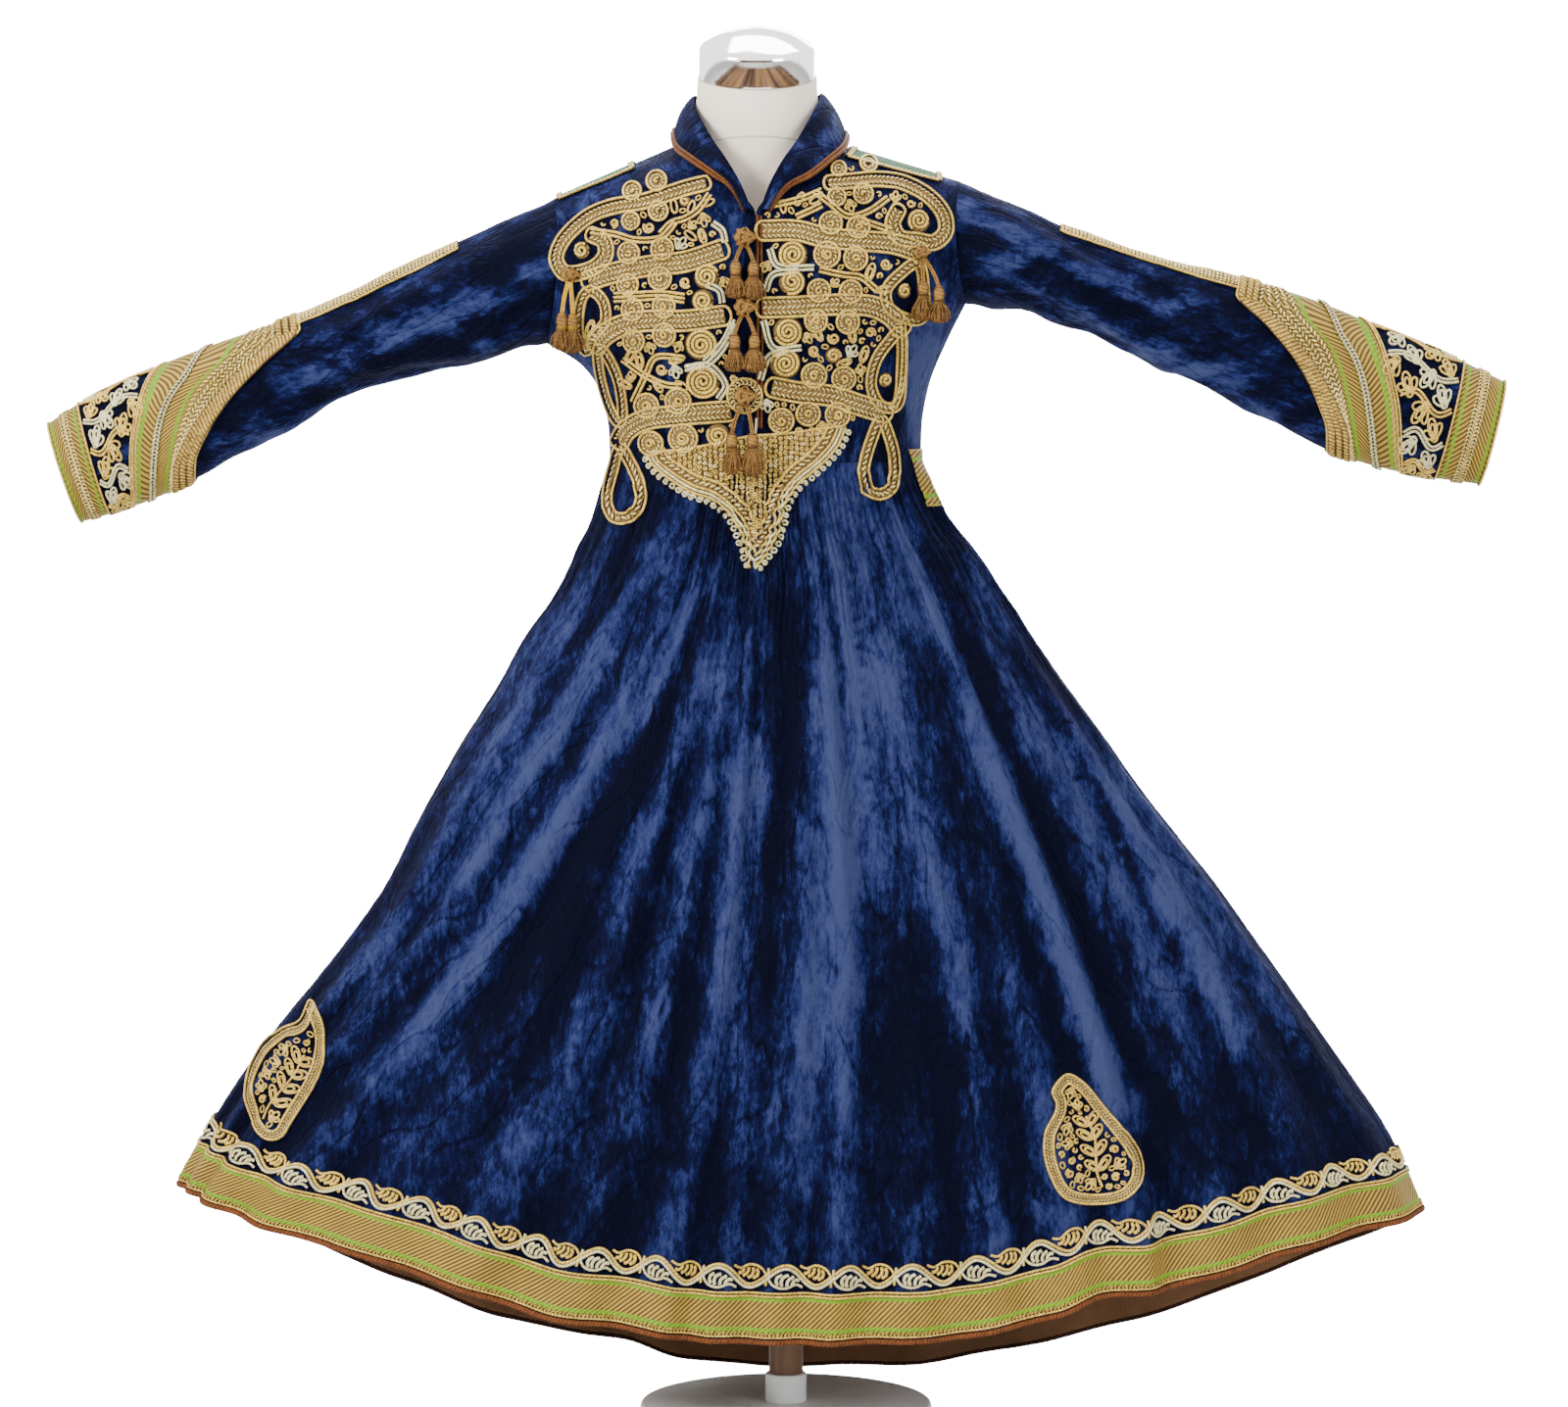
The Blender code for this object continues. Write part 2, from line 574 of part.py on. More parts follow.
def build_edging(panels):
    # Copper braid down the right front's edge.
    panel, rows = panels["front_right"]
    strip = Cloth()
    width = 5.0
    keys = []
    for row in rows[1:FRONT_NECK_ROW + 1]:
        ends = []
        for name, share in (("in", 0.0), ("out", None)):
            near, far = panel.outer(row[0]), panel.outer(row[1])
            if share is None:
                share = width / (far - near).length
            way = mix(panel.out(row[0]), panel.out(row[1]), share).normalized()
            key = (row[0][0], name)
            strip.points[key] = mix(near, far, share) + way * (SKIN + 1.5)
            strip.walls[key] = -way * 1.5
            ends.append(key)
        keys.append(ends)
    strip.grid(keys)
    strip.solid("front_edging", "copper piping")
    return strip


def build_shoulder_panels(panels):
    panel, halves = panels["back"]
    first, last = PANEL_COLUMNS
    for side, rows in halves.items():
        keys = [row[first:last + 1] for row in rows[PANEL_ROW:]]
        trim(panel, keys, "green silk", "shoulder_panel_" + side)


# Sleeves and cuffs

def sleeve_station(side, way):
    # The six measures of a ring, way 0 at the armhole and 1 at the cuff.
    rows = SLEEVE[side]
    place = clamp(way) * (len(rows) - 1)
    return [float(np.interp(place, range(len(rows)), column)) for column in zip(*rows)]


def sleeve_fold(side, turn, share):
    # How far the folds stand out, share 0 at the ornament's edge and 1 at the armhole.
    height = 0.0
    for turn_low, turn_high, start, end, rise in SLEEVE_FOLDS[side]:
        place = (share - start) / (end - start)
        if not 0 < place < 1:
            continue
        centre = mix(turn_low, turn_high, place)
        apart = abs((turn - centre + 180) % 360 - 180) / FOLD_TURN
        height += rise * math.sin(math.pi * place) * (math.cos(math.pi * clamp(apart)) + 1) / 2
        height -= rise * 0.4 * math.sin(math.pi * place) * math.exp(-((apart - 1.3) / 0.4) ** 2)
    return height


def sleeve_point(side, turn, length, reach):
    # turn 0 is the top and 90 the front; length is measured from the cuff's end.
    total = SLEEVE_LENGTH[side]
    way = 1 - length / total
    top_x, top_z, low_x, low_z, depth, middle_y = sleeve_station(side, way)
    angle = math.radians(turn)
    half = Vector(((top_x - low_x) / 2, 0, (top_z - low_z) / 2))
    centre = Vector(((top_x + low_x) / 2, middle_y, (top_z + low_z) / 2))
    sideways = 0.0 if turn in (0, 180) else -math.sin(angle) * depth
    ray = half * math.cos(angle) + Vector((0, sideways, 0))
    share = (length - reach) / (total - reach)
    rise = sleeve_fold(side, turn, share) if 0 < share < 1 else 0.0
    hollow = ARMHOLE_HOLLOW * math.sin(angle) ** 2 * smooth(1 - way * 4)
    return centre + ray + ray.normalized() * rise - Vector((SIDES[side] * hollow, 0, 0))


def cuff_reach(turn):
    return read(CUFF_REACH, turn if turn <= 180 else 360 - turn)


def build_sleeve(side):
    panel = Cloth()
    turns = [360 * c / SLEEVE_COLUMNS for c in range(SLEEVE_COLUMNS)]
    rows = []
    cuff_rows = (0, 1, 2, 3, 4)
    total = SLEEVE_LENGTH[side]
    for row in range(len(cuff_rows) + SLEEVE_ROWS):
        keys = []
        for column, turn in enumerate(turns):
            key = (row, column)
            reach = cuff_reach(turn)
            if row <= 1:
                length = row * CUFF_BAND
            elif row in cuff_rows:
                length = mix(CUFF_BAND, reach, (row - 1) / 3)
            else:
                length = mix(reach, total, (row - 4) / SLEEVE_ROWS)
            if row < 4 + SLEEVE_ROWS:
                panel.points[key] = sleeve_point(side, turn, length, reach)
            else:
                face = FRONT if turn <= 180 else BACK
                ring_turn = abs(180 - turn)
                panel.points[key] = armhole(side, ring_turn, face)
                wall, across = armhole_cut(side, ring_turn, face)
                panel.walls[key] = wall
                panel.move(key, across * SEAM)
            keys.append(key)
        rows.append(keys)
    panel.grid(rows, wrap=True)
    orient_tube(panel, side)
    panel.close().solid("sleeve_" + side, "velvet")
    trim(panel, rows[:5], "gold braid", "cuff_" + side, thickness=CUFF_THICK, wrap=True)
    tail = Cloth()
    keys = []
    for row in rows[4:5 + TAIL_ROWS]:
        strip = []
        for name, column, share in (("back", -1, None), ("top", 0, 0.0), ("front", 1, None)):
            near, far = panel.outer(row[0]), panel.outer(row[column])
            if share is None:
                share = TAIL_HALF / (far - near).length
            way = mix(panel.out(row[0]), panel.out(row[column]), share).normalized()
            key = (row[0][0], name)
            place = mix(near, far, share)
            if row is rows[4]:
                place = place + (panel.outer(rows[5][0]) - near).normalized() * SEAM * 2
            tail.points[key] = place + way * (SKIN + CUFF_THICK)
            tail.walls[key] = -way * CUFF_THICK
            strip.append(key)
        keys.append(strip)
    tail.grid(keys)
    tail.solid("sleeve_braid_" + side, "gold braid")
    return panel


def orient_tube(panel, side):
    # Turns a sleeve's cells so that they face away from its own axis.
    facing = 0.0
    for corners in panel.triangles():
        a, b, c = (panel.points[key] for key in corners)
        middle = (a + b + c) / 3
        armhole_x, cuff_x = SLEEVE[side][0][0], SLEEVE[side][-1][0]
        way = clamp((abs(middle.x) - abs(armhole_x)) / abs(cuff_x - armhole_x))
        top_x, top_z, low_x, low_z, _, middle_y = sleeve_station(side, way)
        centre = Vector(((top_x + low_x) / 2, middle_y, (top_z + low_z) / 2))
        facing += (b - a).cross(c - a).dot(middle - centre)
    if facing < 0:
        panel.cells = [(a, d, c, b) for a, b, c, d in panel.cells]


# Skirt

def fold_height(fold, down):
    # A fold's height: nothing at the waist seam, then its three measures down the skirt.
    _, _, gathers, middle, hem, _ = fold
    return float(np.interp(down, [0, 0.07, 0.16, 0.5, 1], [0, gathers, gathers * 1.2, middle, hem]))


def skirt_rise(face, angle, down):
    # The back's first row stays smooth under the waist ribbon.
    folds = FRONT_FOLDS if face == FRONT else BACK_FOLDS
    flat = face == BACK and down < BELT_FOOT
    turns = [-90] + [mix(fold[0], fold[1], down) for fold in folds] + [90]
    heights = [0] + [0 if flat else fold_height(fold, down) for fold in folds] + [0]
    dips = [0.5] + [fold[5] for fold in folds]
    for turn, following, height, next_height, dip in zip(turns, turns[1:], heights, heights[1:], dips):
        if turn <= angle <= following:
            place = (angle - turn) / (following - turn)
            place = 0.5 * place / dip if place < dip else 0.5 + 0.5 * (place - dip) / (1 - dip)
            ridge = (1 + math.cos(2 * math.pi * place)) / 2
            valley = -0.4 * min(height, next_height)
            return mix(valley, mix(height, next_height, place), ridge)
    return 0.0


def skirt_point(face, angle, down):
    hem_rows = FRONT_HEM if face == FRONT else BACK_HEM
    across = math.sin(math.radians(angle))
    z = mix(WAIST, read(hem_rows, across), down)
    side_z = mix(WAIST, read(hem_rows, math.copysign(1, angle)), down)
    wide = abs(read(SKIRT_SIDES, side_z, 1 if angle < 0 else 2))
    deep = read(SKIRT_DEPTH, down, 1 if face == FRONT else 2)
    cosine = 0.0 if abs(angle) == 90 else math.cos(math.radians(angle))
    point = Vector((wide * across, face * deep * cosine, z))
    outward = Vector((across / wide, face * cosine / deep, 0)).normalized()
    return point + outward * skirt_rise(face, angle, down)


def skirt_columns(face):
    # Fold lines and the valleys between them, as (turn at the waist, turn at the hem).
    folds = FRONT_FOLDS if face == FRONT else BACK_FOLDS
    lines = [(-90, -90)] + [fold[:2] for fold in folds] + [(90, 90)]
    dips = [0.5] + [fold[5] for fold in folds]
    columns = []
    for line, following, dip in zip(lines, lines[1:], dips):
        columns.append(line)
        shares = [dip]
        if following[1] - line[1] > 2 * WIDEST_COLUMN:
            shares = [dip / 2, dip, (1 + dip) / 2]
        for share in shares:
            columns.append((mix(line[0], following[0], share), mix(line[1], following[1], share)))
    columns.append(lines[-1])
    return columns


def build_skirt(face, name):
    downs = FRONT_ROWS if face == FRONT else BACK_ROWS
    columns = skirt_columns(face)
    panel = Cloth(Vector((0, 0, 400)))
    rows = []
    for r, down in enumerate(downs):
        keys = []
        for c, (waist, hem) in enumerate(columns):
            key = (r, c)
            angle = mix(waist, hem, down)
            panel.points[key] = skirt_point(face, angle, down)
            if r == 0:
                point = panel.points[key]
                panel.walls[key] = Vector((-point.x, -point.y * 1.6, 0)).normalized() * CLOTH
                panel.move(key, Vector((0, 0, -SEAM)))
            if c in (0, len(columns) - 1):
                panel.walls[key] = Vector((CLOTH if c == 0 else -CLOTH, 0, 0))
                panel.move(key, Vector((0, face * SEAM, 0)))
            keys.append(key)
        rows.append(keys)
    panel.grid(rows)
    panel.close().solid("skirt_" + name, "velvet")
    return panel, rows


def hem_trims(panel, rows, name):
    trim(panel, rows[-2:], "gold ribbon", "hem_ribbon_" + name, thickness=1.5)
    build_piping_hem(panel, rows, name)
    build_vine(panel, rows, name)


def build_piping_hem(panel, rows, name):
    # Rust piping just under the hem's edge, square in section.
    width, height = 4.0, 5.0
    strip = Cloth()
    keys = [[], []]
    for hem_key, above_key in zip(rows[-1], rows[-2]):
        down_way = (panel.outer(hem_key) - panel.outer(above_key)).normalized()
        way = panel.out(hem_key)
        if abs(panel.outer(hem_key).y) < 1:
            down_way = Vector((down_way.x, 0, down_way.z)).normalized()
        top = panel.outer(hem_key) + down_way * HEM_PIPING_DROP + way * HEM_PIPING_OUT
        low = top + down_way * height
        for level, point in enumerate((top, low)):
            key = (level, hem_key[1])
            strip.points[key] = point
            strip.walls[key] = -way * width
            keys[level].append(key)
    strip.grid(keys)
    strip.solid("hem_piping_" + name, "rust piping")


def on_cell(panel, rows, upper, place, share):
    # A point between two columns (place) and two rows (share down from the upper one).
    column = min(int(place), len(rows[0]) - 2)
    part = place - column
    corners = []
    for row in (rows[upper], rows[upper + 1]):
        point = mix(panel.outer(row[column]), panel.outer(row[column + 1]), part)
        way = mix(panel.out(row[column]), panel.out(row[column + 1]), part)
        corners.append((point, way))
    point = mix(corners[0][0], corners[1][0], share)
    way = mix(corners[0][1], corners[1][1], share).normalized()
    return point, way


def build_vine(panel, rows, name):
    # The vine of leaves as one waving band, with a bend at each of the skirt's columns.
    upper = len(rows) - 3
    thick, half = 2.4, 0.24
    strip = Cloth()
    keys = [[], []]
    run = 0.0
    last = None
    count = 2 * (len(rows[0]) - 1)
    for number in range(count + 1):
        place = number / 2
        here, _ = on_cell(panel, rows, upper, place, 0.5)
        run += (here - last).length if last is not None else 0.0
        last = here
        centre = 0.5 + 0.24 * math.sin(2 * math.pi * run / VINE_PERIOD)
        for level, share in enumerate((centre - half, centre + half)):
            point, way = on_cell(panel, rows, upper, place, share)
            if number in (0, count):
                way = Vector((way.x, 0, way.z)).normalized()
            key = (level, number)
            strip.points[key] = point + way * (APPLIED + thick)
            strip.walls[key] = -way * thick
            keys[level].append(key)
    strip.grid(keys)
    strip.solid("hem_vine_" + name, "silver braid")


def inside_outline(x, z, outline):
    inside = False
    for (x1, z1), (x2, z2) in zip(outline, outline[1:] + outline[:1]):
        if (z1 > z) != (z2 > z) and x < x1 + (z - z1) / (z2 - z1) * (x2 - x1):
            inside = not inside
    return inside


def build_paisley(panel, rows, name, outline):
    # A plate of braid cut to the outline, bent along the skirt's fold lines.
    levels, fine, thick = 4, 240, 2.6
    strip = Cloth()
    keys = []
    for number in range(4 * (len(rows[0]) - 1) + 1):
        place = number / 4
        spans = []
        for sample in range(fine * 3):
            upper = 4 + sample // fine
            if upper + 1 >= len(rows):
                break
            share = (sample % fine) / fine
            point, _ = on_cell(panel, rows, upper, place, share)
            if inside_outline(point.x, point.z, outline):
                spans.append(sample)
        if len(spans) < fine // 24:
            continue
        line = []
        for level in range(levels + 1):
            sample = mix(spans[0], spans[-1], level / levels)
            upper = 4 + int(sample) // fine
            share = (sample - (upper - 4) * fine) / fine
            point, way = on_cell(panel, rows, upper, place, share)
            key = (number, level)
            strip.points[key] = point + way * (APPLIED + thick)
            strip.walls[key] = -way * thick
            line.append(key)
        keys.append(line)
    strip.grid(keys)
    strip.solid(name, "gold braid")


def build_belt(panel, rows):
    trim(panel, rows[:2], "gold ribbon", "waist_belt", thickness=1.5)


# Braid on the fronts

def surface(panels):
    # The panels' outer faces as one surface to lay braid on.
    points, faces = [], []
    for panel in panels:
        for corners in panel.triangles():
            faces.append([len(points) + n for n in range(3)])
            points.extend(panel.outer(key) for key in corners)
    return BVHTree.FromPolygons(points, faces)


def lay(tree, x, z, spread=0.0):
    # The cloth's point behind (x, z) as seen from the front, and the way out of it.
    best = None
    for dx, dz in ((0, 0), (spread, 0), (-spread, 0), (0, spread), (0, -spread)):
        hit, normal, _, _ = tree.ray_cast(Vector((x + dx, -600, z + dz)), Vector((0, 1, 0)))
        if hit is None:
            continue
        if best is None:
            best = (hit.y, normal)
        elif hit.y < best[0]:
            best = (hit.y, best[1])
        if spread == 0:
            break
    if best is None:
        return None, None
    way = best[1] if best[1].y < 0 else -best[1]
    return Vector((x, best[0], z)), way.normalized()


def settle(samples, tree):
    # How far forward the samples have to move for the nearest to clear the cloth by a hair.
    reach = 60.0
    clear = []
    for point in samples:
        hit, _, _, _ = tree.ray_cast(point - Vector((0, reach, 0)), Vector((0, 1, 0)))
        if hit is not None:
            clear.append(hit.y - point.y)
    return SETTLED - min(clear)


def inner_samples(strip, steps=6):
    # Points all over a strip's inner face.
    samples = []
    for corners in strip.triangles():
        a, b, c = (strip.inner(key) for key in corners)
        for i in range(steps + 1):
            for j in range(steps + 1 - i):
                samples.append(a + (b - a) * (i / steps) + (c - a) * (j / steps))
    return samples


def plate(tree, name, rows, thicknesses, finish, wrap=False, spread=0.0):
    # A plate of braid: rows of (x, z) laid on the cloth, each row with its own thickness.
    strip = Cloth()
    keys = []
    for r, (row, thick) in enumerate(zip(rows, thicknesses)):
        line = []
        for c, (x, z) in enumerate(row):
            point, way = lay(tree, x, z, spread)
            key = (r, c)
            strip.points[key] = point + way * thick
            strip.walls[key] = -way * thick
            line.append(key)
        keys.append(line)
    strip.grid(keys, wrap)
    forward = settle(inner_samples(strip), tree)
    for key in strip.points:
        strip.move(key, Vector((0, -forward, 0)))
    strip.solid(name, finish)
    return strip


def bar_stops(total, spots):
    # Places along a bar: its ends, one halfway to each, and five round each rosette.
    stops = {0.0, spots[0] / 2, (1 + spots[-1]) / 2, 1.0}
    for spot in spots:
        for off in (-1.0, -0.7, 0.0, 0.7, 1.0):
            stops.add(round(clamp(spot + off * ROSETTE / total, 0.01, 0.99), 4))
    return sorted(stops)


def build_bar(tree, name, line, up, down, spots, spread):
    points = [Vector((x, z)) for x, z in line]
    total = sum((b - a).length for a, b in zip(points, points[1:]))
    rows = [[], [], [], []]
    for stop in bar_stops(total, spots):
        here = along(points, stop)
        way = (along(points, stop + 0.03) - along(points, stop - 0.03)).normalized()
        across = Vector((-way.y, way.x))
        if across.y < 0:
            across = -across
        bulge = 0.0
        for spot in spots:
            off = (stop - spot) * total / ROSETTE
            bulge = max(bulge, math.sqrt(max(0.0, 1 - off * off)))
        half = BAR_HALF * (BAR_PINCH if stop in (0.0, 1.0) else 1.0)
        offsets = (
            half + BAR_RIM + (up - BAR_HALF) * bulge, half,
            -half, -(half + BAR_RIM + (down - BAR_HALF) * bulge),
        )
        for row, offset in zip(rows, offsets):
            spot_here = here + across * offset
            row.append((spot_here.x, spot_here.y))
    thicknesses = (ROSETTE_THICK, BAR_THICK, BAR_THICK, ROSETTE_THICK)
    return plate(tree, name, rows, thicknesses, "gold braid", spread=spread)


def build_loop(tree, name, x, z, wide, high, point, spread):
    rows = [[], []]
    for number in range(LOOP_POINTS):
        angle = 2 * math.pi * number / LOOP_POINTS
        narrow = 1 - point * math.cos(angle)
        for row, inset in zip(rows, (0.0, LOOP_BAND)):
            inset_x = min(inset, wide * LOOP_HOLE)
            spot_x = x + (wide - inset_x) * math.sin(angle) * narrow
            row.append((spot_x, z + (high - inset) * math.cos(angle)))
    return plate(tree, name, rows, (LOOP_THICK, LOOP_THICK), "gold braid", wrap=True, spread=spread)


def build_waist_point(tree, side, table):
    # The V is laid on the ridges of the gathers that it covers.
    rows = [[], [], []]
    for x, top, low in table:
        for row, share in zip(rows, (0, 0.5, 1)):
            row.append((x, mix(top, low, share)))
    name = "waist_point_" + side
    return plate(tree, name, rows, WAIST_POINT_THICK, "gold braid", spread=WAIST_POINT_SPREAD)


# Knots and tassels

def build_knot(tree, name, x, z, radius):
    # Half as deep as it is wide, like a button, and resting on whatever lies under it.
    point, way = lay(tree, x, z)
    centre = point + way * radius * KNOT_FLAT
    levels, sides = KNOT_LEVELS, KNOT_SIDES
    right = Vector((0, 0, 1)).cross(way).normalized()
    up = way.cross(right)
    points = [centre + way * radius * KNOT_FLAT]
    for level in range(1, levels):
        angle = math.pi * level / levels
        raised = way * radius * KNOT_FLAT * math.cos(angle)
        for number in range(sides):
            turn = 2 * math.pi * number / sides
            flat = right * math.cos(turn) + up * math.sin(turn)
            points.append(centre + raised + flat * radius * math.sin(angle))
    points.append(centre - way * radius * KNOT_FLAT)
    forward = Vector((0, -settle(points, tree), 0))
    points = [point + forward for point in points]
    faces = []
    last = len(points) - 1
    for number in range(sides):
        following = (number + 1) % sides
        faces.append((0, 1 + number, 1 + following))
        for level in range(levels - 2):
            a, b = 1 + level * sides + number, 1 + level * sides + following
            faces.append((a, a + sides, b + sides, b))
        base = 1 + (levels - 2) * sides
        faces.append((last, base + following, base + number))
    add_object("knot_" + name, points, faces, "tassel thread")
    return centre + forward


def build_tassels(tree, name, knot, x, z, radius, end_z, swing):
    # Two tassels on one cord: a tube from head to head over the knot's foot,
    # with a fringe of locks drawn out of both its ends.
    sides = TASSEL_SIDES
    spots = [lay(tree, x + swing + dx, mix(z - radius, end_z, step / 12))[0]
             for dx in range(-18, 19, 3) for step in range(13)]
    clear = min(spot.y for spot in spots if spot is not None)
    hang_y = min(clear - TASSEL_HEAD - TASSEL_AIR, knot.y)
    apex = Vector((knot.x, knot.y, knot.z - radius - 1.7))
    foot_z = end_z + LOCK_LENGTH
    path = []
    for sign in (-1, 1):
        bottom = Vector((x + sign * TASSEL_APART + swing, hang_y, foot_z))
        neck = Vector((x + sign * TASSEL_APART * 0.75 + swing * 0.6, hang_y, foot_z + 17))
        cord = mix(neck, apex, 0.55)
        leg = [(bottom, TASSEL_HEAD * 0.86), (mix(bottom, neck, 0.5), TASSEL_HEAD)]
        leg += [(neck, TASSEL_NECK), (cord, TASSEL_CORD)]
        path.extend(leg if sign < 0 else reversed(leg))
        if sign < 0:
            path.append((apex, TASSEL_CORD))
    points, faces = [], []
    for number, (centre, thick) in enumerate(path):
        before = path[max(0, number - 1)][0]
        after = path[min(len(path) - 1, number + 1)][0]
        way = (after - before).normalized()
        if number in (0, len(path) - 1):
            way = Vector((0, 0, 1 if number == 0 else -1))
        depth = Vector((0, 1, 0))
        across = way.cross(depth).normalized()
        depth = across.cross(way).normalized()
        for side in range(sides):
            turn = 2 * math.pi * side / sides
            points.append(centre + across * math.cos(turn) * thick + depth * math.sin(turn) * thick)
    for ring in range(len(path) - 1):
        for side in range(sides):
            following = (side + 1) % sides
            a, b = ring * sides + side, ring * sides + following
            faces.append((a, b, b + sides, a + sides))
    for ring in (0, len(path) - 1):
        centre = path[ring][0]
        hub = len(points)
        points.append(centre.copy())
        for side in range(sides):
            following = (side + 1) % sides
            root = [hub, ring * sides + side, ring * sides + following]
            middle = sum((points[n] for n in root), Vector()) / 3
            top = [mix(middle, points[n], 0.72) for n in root]
            outward = Vector((middle.x - centre.x, middle.y - centre.y, 0)).normalized()
            end = [mix(middle, point, 0.5) + outward * LOCK_SPREAD for point in top]
            end = [point - Vector((0, 0, LOCK_LENGTH - LOCK_STEP * (side % 3))) for point in end]
            first = len(points)
            points.extend(top + end)
            for n in range(3):
                m = (n + 1) % 3
                faces.append((root[n], root[m], first + m, first + n))
                faces.append((first + n, first + m, first + 3 + m, first + 3 + n))
            faces.append((first + 3, first + 4, first + 5))
    add_object("tassels_" + name, points, faces, "tassel thread")


# Collar

def collar_columns(panels):
    # Each column: the neckline's inner and outer point, the fold, the edge, the way out there.
    columns = []
    front = {side: panels["front_" + side] for side in SIDES}
    back_panel, halves = panels["back"]
    tree = surface([front["left"][0], front["right"][0], back_panel])
    for side in SIDES:
        panel, rows = front[side]
        half = []
        for (fold, edge), row in zip(COLLAR[side], rows[FRONT_NECK_ROW:]):
            key = row[0]
            if len(edge) == 2:
                point, way = lay(tree, *edge)
                lift = 1.6 + CLOTH + 3.0 * smooth((edge[1] - 1250) / 25)
                point = point + way * lift
            else:
                x, y, z = edge
                below, _, _, _ = tree.ray_cast(Vector((x, y - 1.0, z + 50)), Vector((0, 0, -1)))
                point = Vector((x, y, max(z, below.z + CLOTH + 2.0)))
            half.append((key, panel, Vector(fold), point))
        for (turn, fold_z, edge_z), row in zip(COLLAR_BACK, (11, 10, 9, 8)):
            angle = math.radians(turn)
            key = halves[side][row][0]
            side_fold, side_edge = COLLAR[side][-1]
            fold = Vector((side_fold[0] * math.cos(angle), COLLAR_BACK_FOLD * math.sin(angle), fold_z))
            edge = Vector((side_edge[0] * math.cos(angle), COLLAR_BACK_EDGE * math.sin(angle), edge_z))
            if turn == 90:
                fold.x = edge.x = 0.0
            half.append((key, back_panel, fold, edge))
        columns.append(half)
    return columns[0] + list(reversed(columns[1]))[1:]


def build_collar(panels):
    columns = collar_columns(panels)
    collar = Cloth(turned_in=True)
    names = ("seam", "stand", "fold", "fall", "edge")
    rows = [[(name, number) for number in range(len(columns))] for name in names]
    for number, (key, panel, fold, edge) in enumerate(columns):
        seam = panel.inner(key)
        wall = -panel.walls[key]
        across = (fold - panel.points[key])
        across = (across - wall * across.dot(wall) / wall.length_squared).normalized()
        collar.points["seam", number] = seam + across * COLLAR_SEAM
        collar.walls["seam", number] = wall
        stand = mix(seam, fold, COLLAR_STAND)
        inward = Vector((-stand.x, -stand.y, 0)).normalized()
        collar.points["stand", number] = stand + inward * COLLAR_LEAN
        collar.points["fold", number] = fold
        bulge = (edge - seam)
        bulge.z = 0
        collar.points["fall", number] = mix(fold, edge, 0.5) + bulge.normalized() * COLLAR_BULGE
        collar.points["edge", number] = edge
    collar.grid(rows)
    # The second half's cells are split along the mirrored diagonal.
    middle = len(columns) // 2
    collar.cells = [cell if cell[0][1] < middle else cell[1:] + cell[:1] for cell in collar.cells]
    collar.close()
    check = ("fall", middle)
    if collar.walls[check].y > 0:
        collar.cells = [(a, d, c, b) for a, b, c, d in collar.cells]
        for key, wall in collar.walls.items():
            if key[0] != "seam":
                collar.walls[key] = -wall
    for number in (0, len(columns) - 1):
        # The collar is pressed flat where it narrows to the opening.
        for name in ("stand", "fall", "edge"):
            collar.walls[name, number] = collar.walls[name, number] * 0.5
    for number in range(len(columns)):
        # The fold is thick: its inner edge lies where the two layers' inner faces meet.
        between = mix(collar.inner(("stand", number)), collar.inner(("fall", number)), 0.5)
        collar.walls["fold", number] = (between - collar.points["fold", number]) * FOLD_DEPTH
    collar.solid("collar", "velvet")
    build_collar_piping(collar, columns)
    return collar


def build_collar_piping(collar, columns):
    sides = PIPING_SIDES
    points, faces = [], []
    count = len(columns)
    for number in range(count):
        edge = collar.points["edge", number]
        fall = collar.points["fall", number]
        away = (edge - fall).normalized()
        out = -collar.walls["edge", number].normalized()
        centre = edge + out * (PIPING_RADIUS + PIPING_AIR) - away * 0.5
        before = collar.points["edge", max(0, number - 1)]
        after = collar.points["edge", min(count - 1, number + 1)]
        way = (after - before).normalized()
        up = (away - way * away.dot(way)).normalized()
        across = way.cross(up)
        for side in range(sides):
            turn = 2 * math.pi * (side + 0.5) / sides
            spoke = across * math.sin(turn) - up * math.cos(turn)
            points.append(centre + spoke * PIPING_RADIUS)
    for ring in range(count - 1):
        for side in range(sides):
            following = (side + 1) % sides
            a, b = ring * sides + side, ring * sides + following
            faces.append((a, b, b + sides, a + sides))
    faces.append(tuple(range(sides)))
    faces.append(tuple(reversed(range((count - 1) * sides, count * sides))))
    add_object("collar_piping", points, faces, "copper piping")


# Dress form and stand

def turned(name, rings, sides, finish):
    # A closed solid through rings of points, with flat ends.
    points = [point for ring in rings for point in ring]
    faces = []
    for level in range(len(rings) - 1):
        for side in range(sides):
            following = (side + 1) % sides
            a, b = level * sides + side, level * sides + following
            faces.append((a, b, b + sides, a + sides))
    faces.append(tuple(range(sides)))
    faces.append(tuple(reversed(range((len(rings) - 1) * sides, len(rings) * sides))))
    return add_object(name, points, faces, finish)


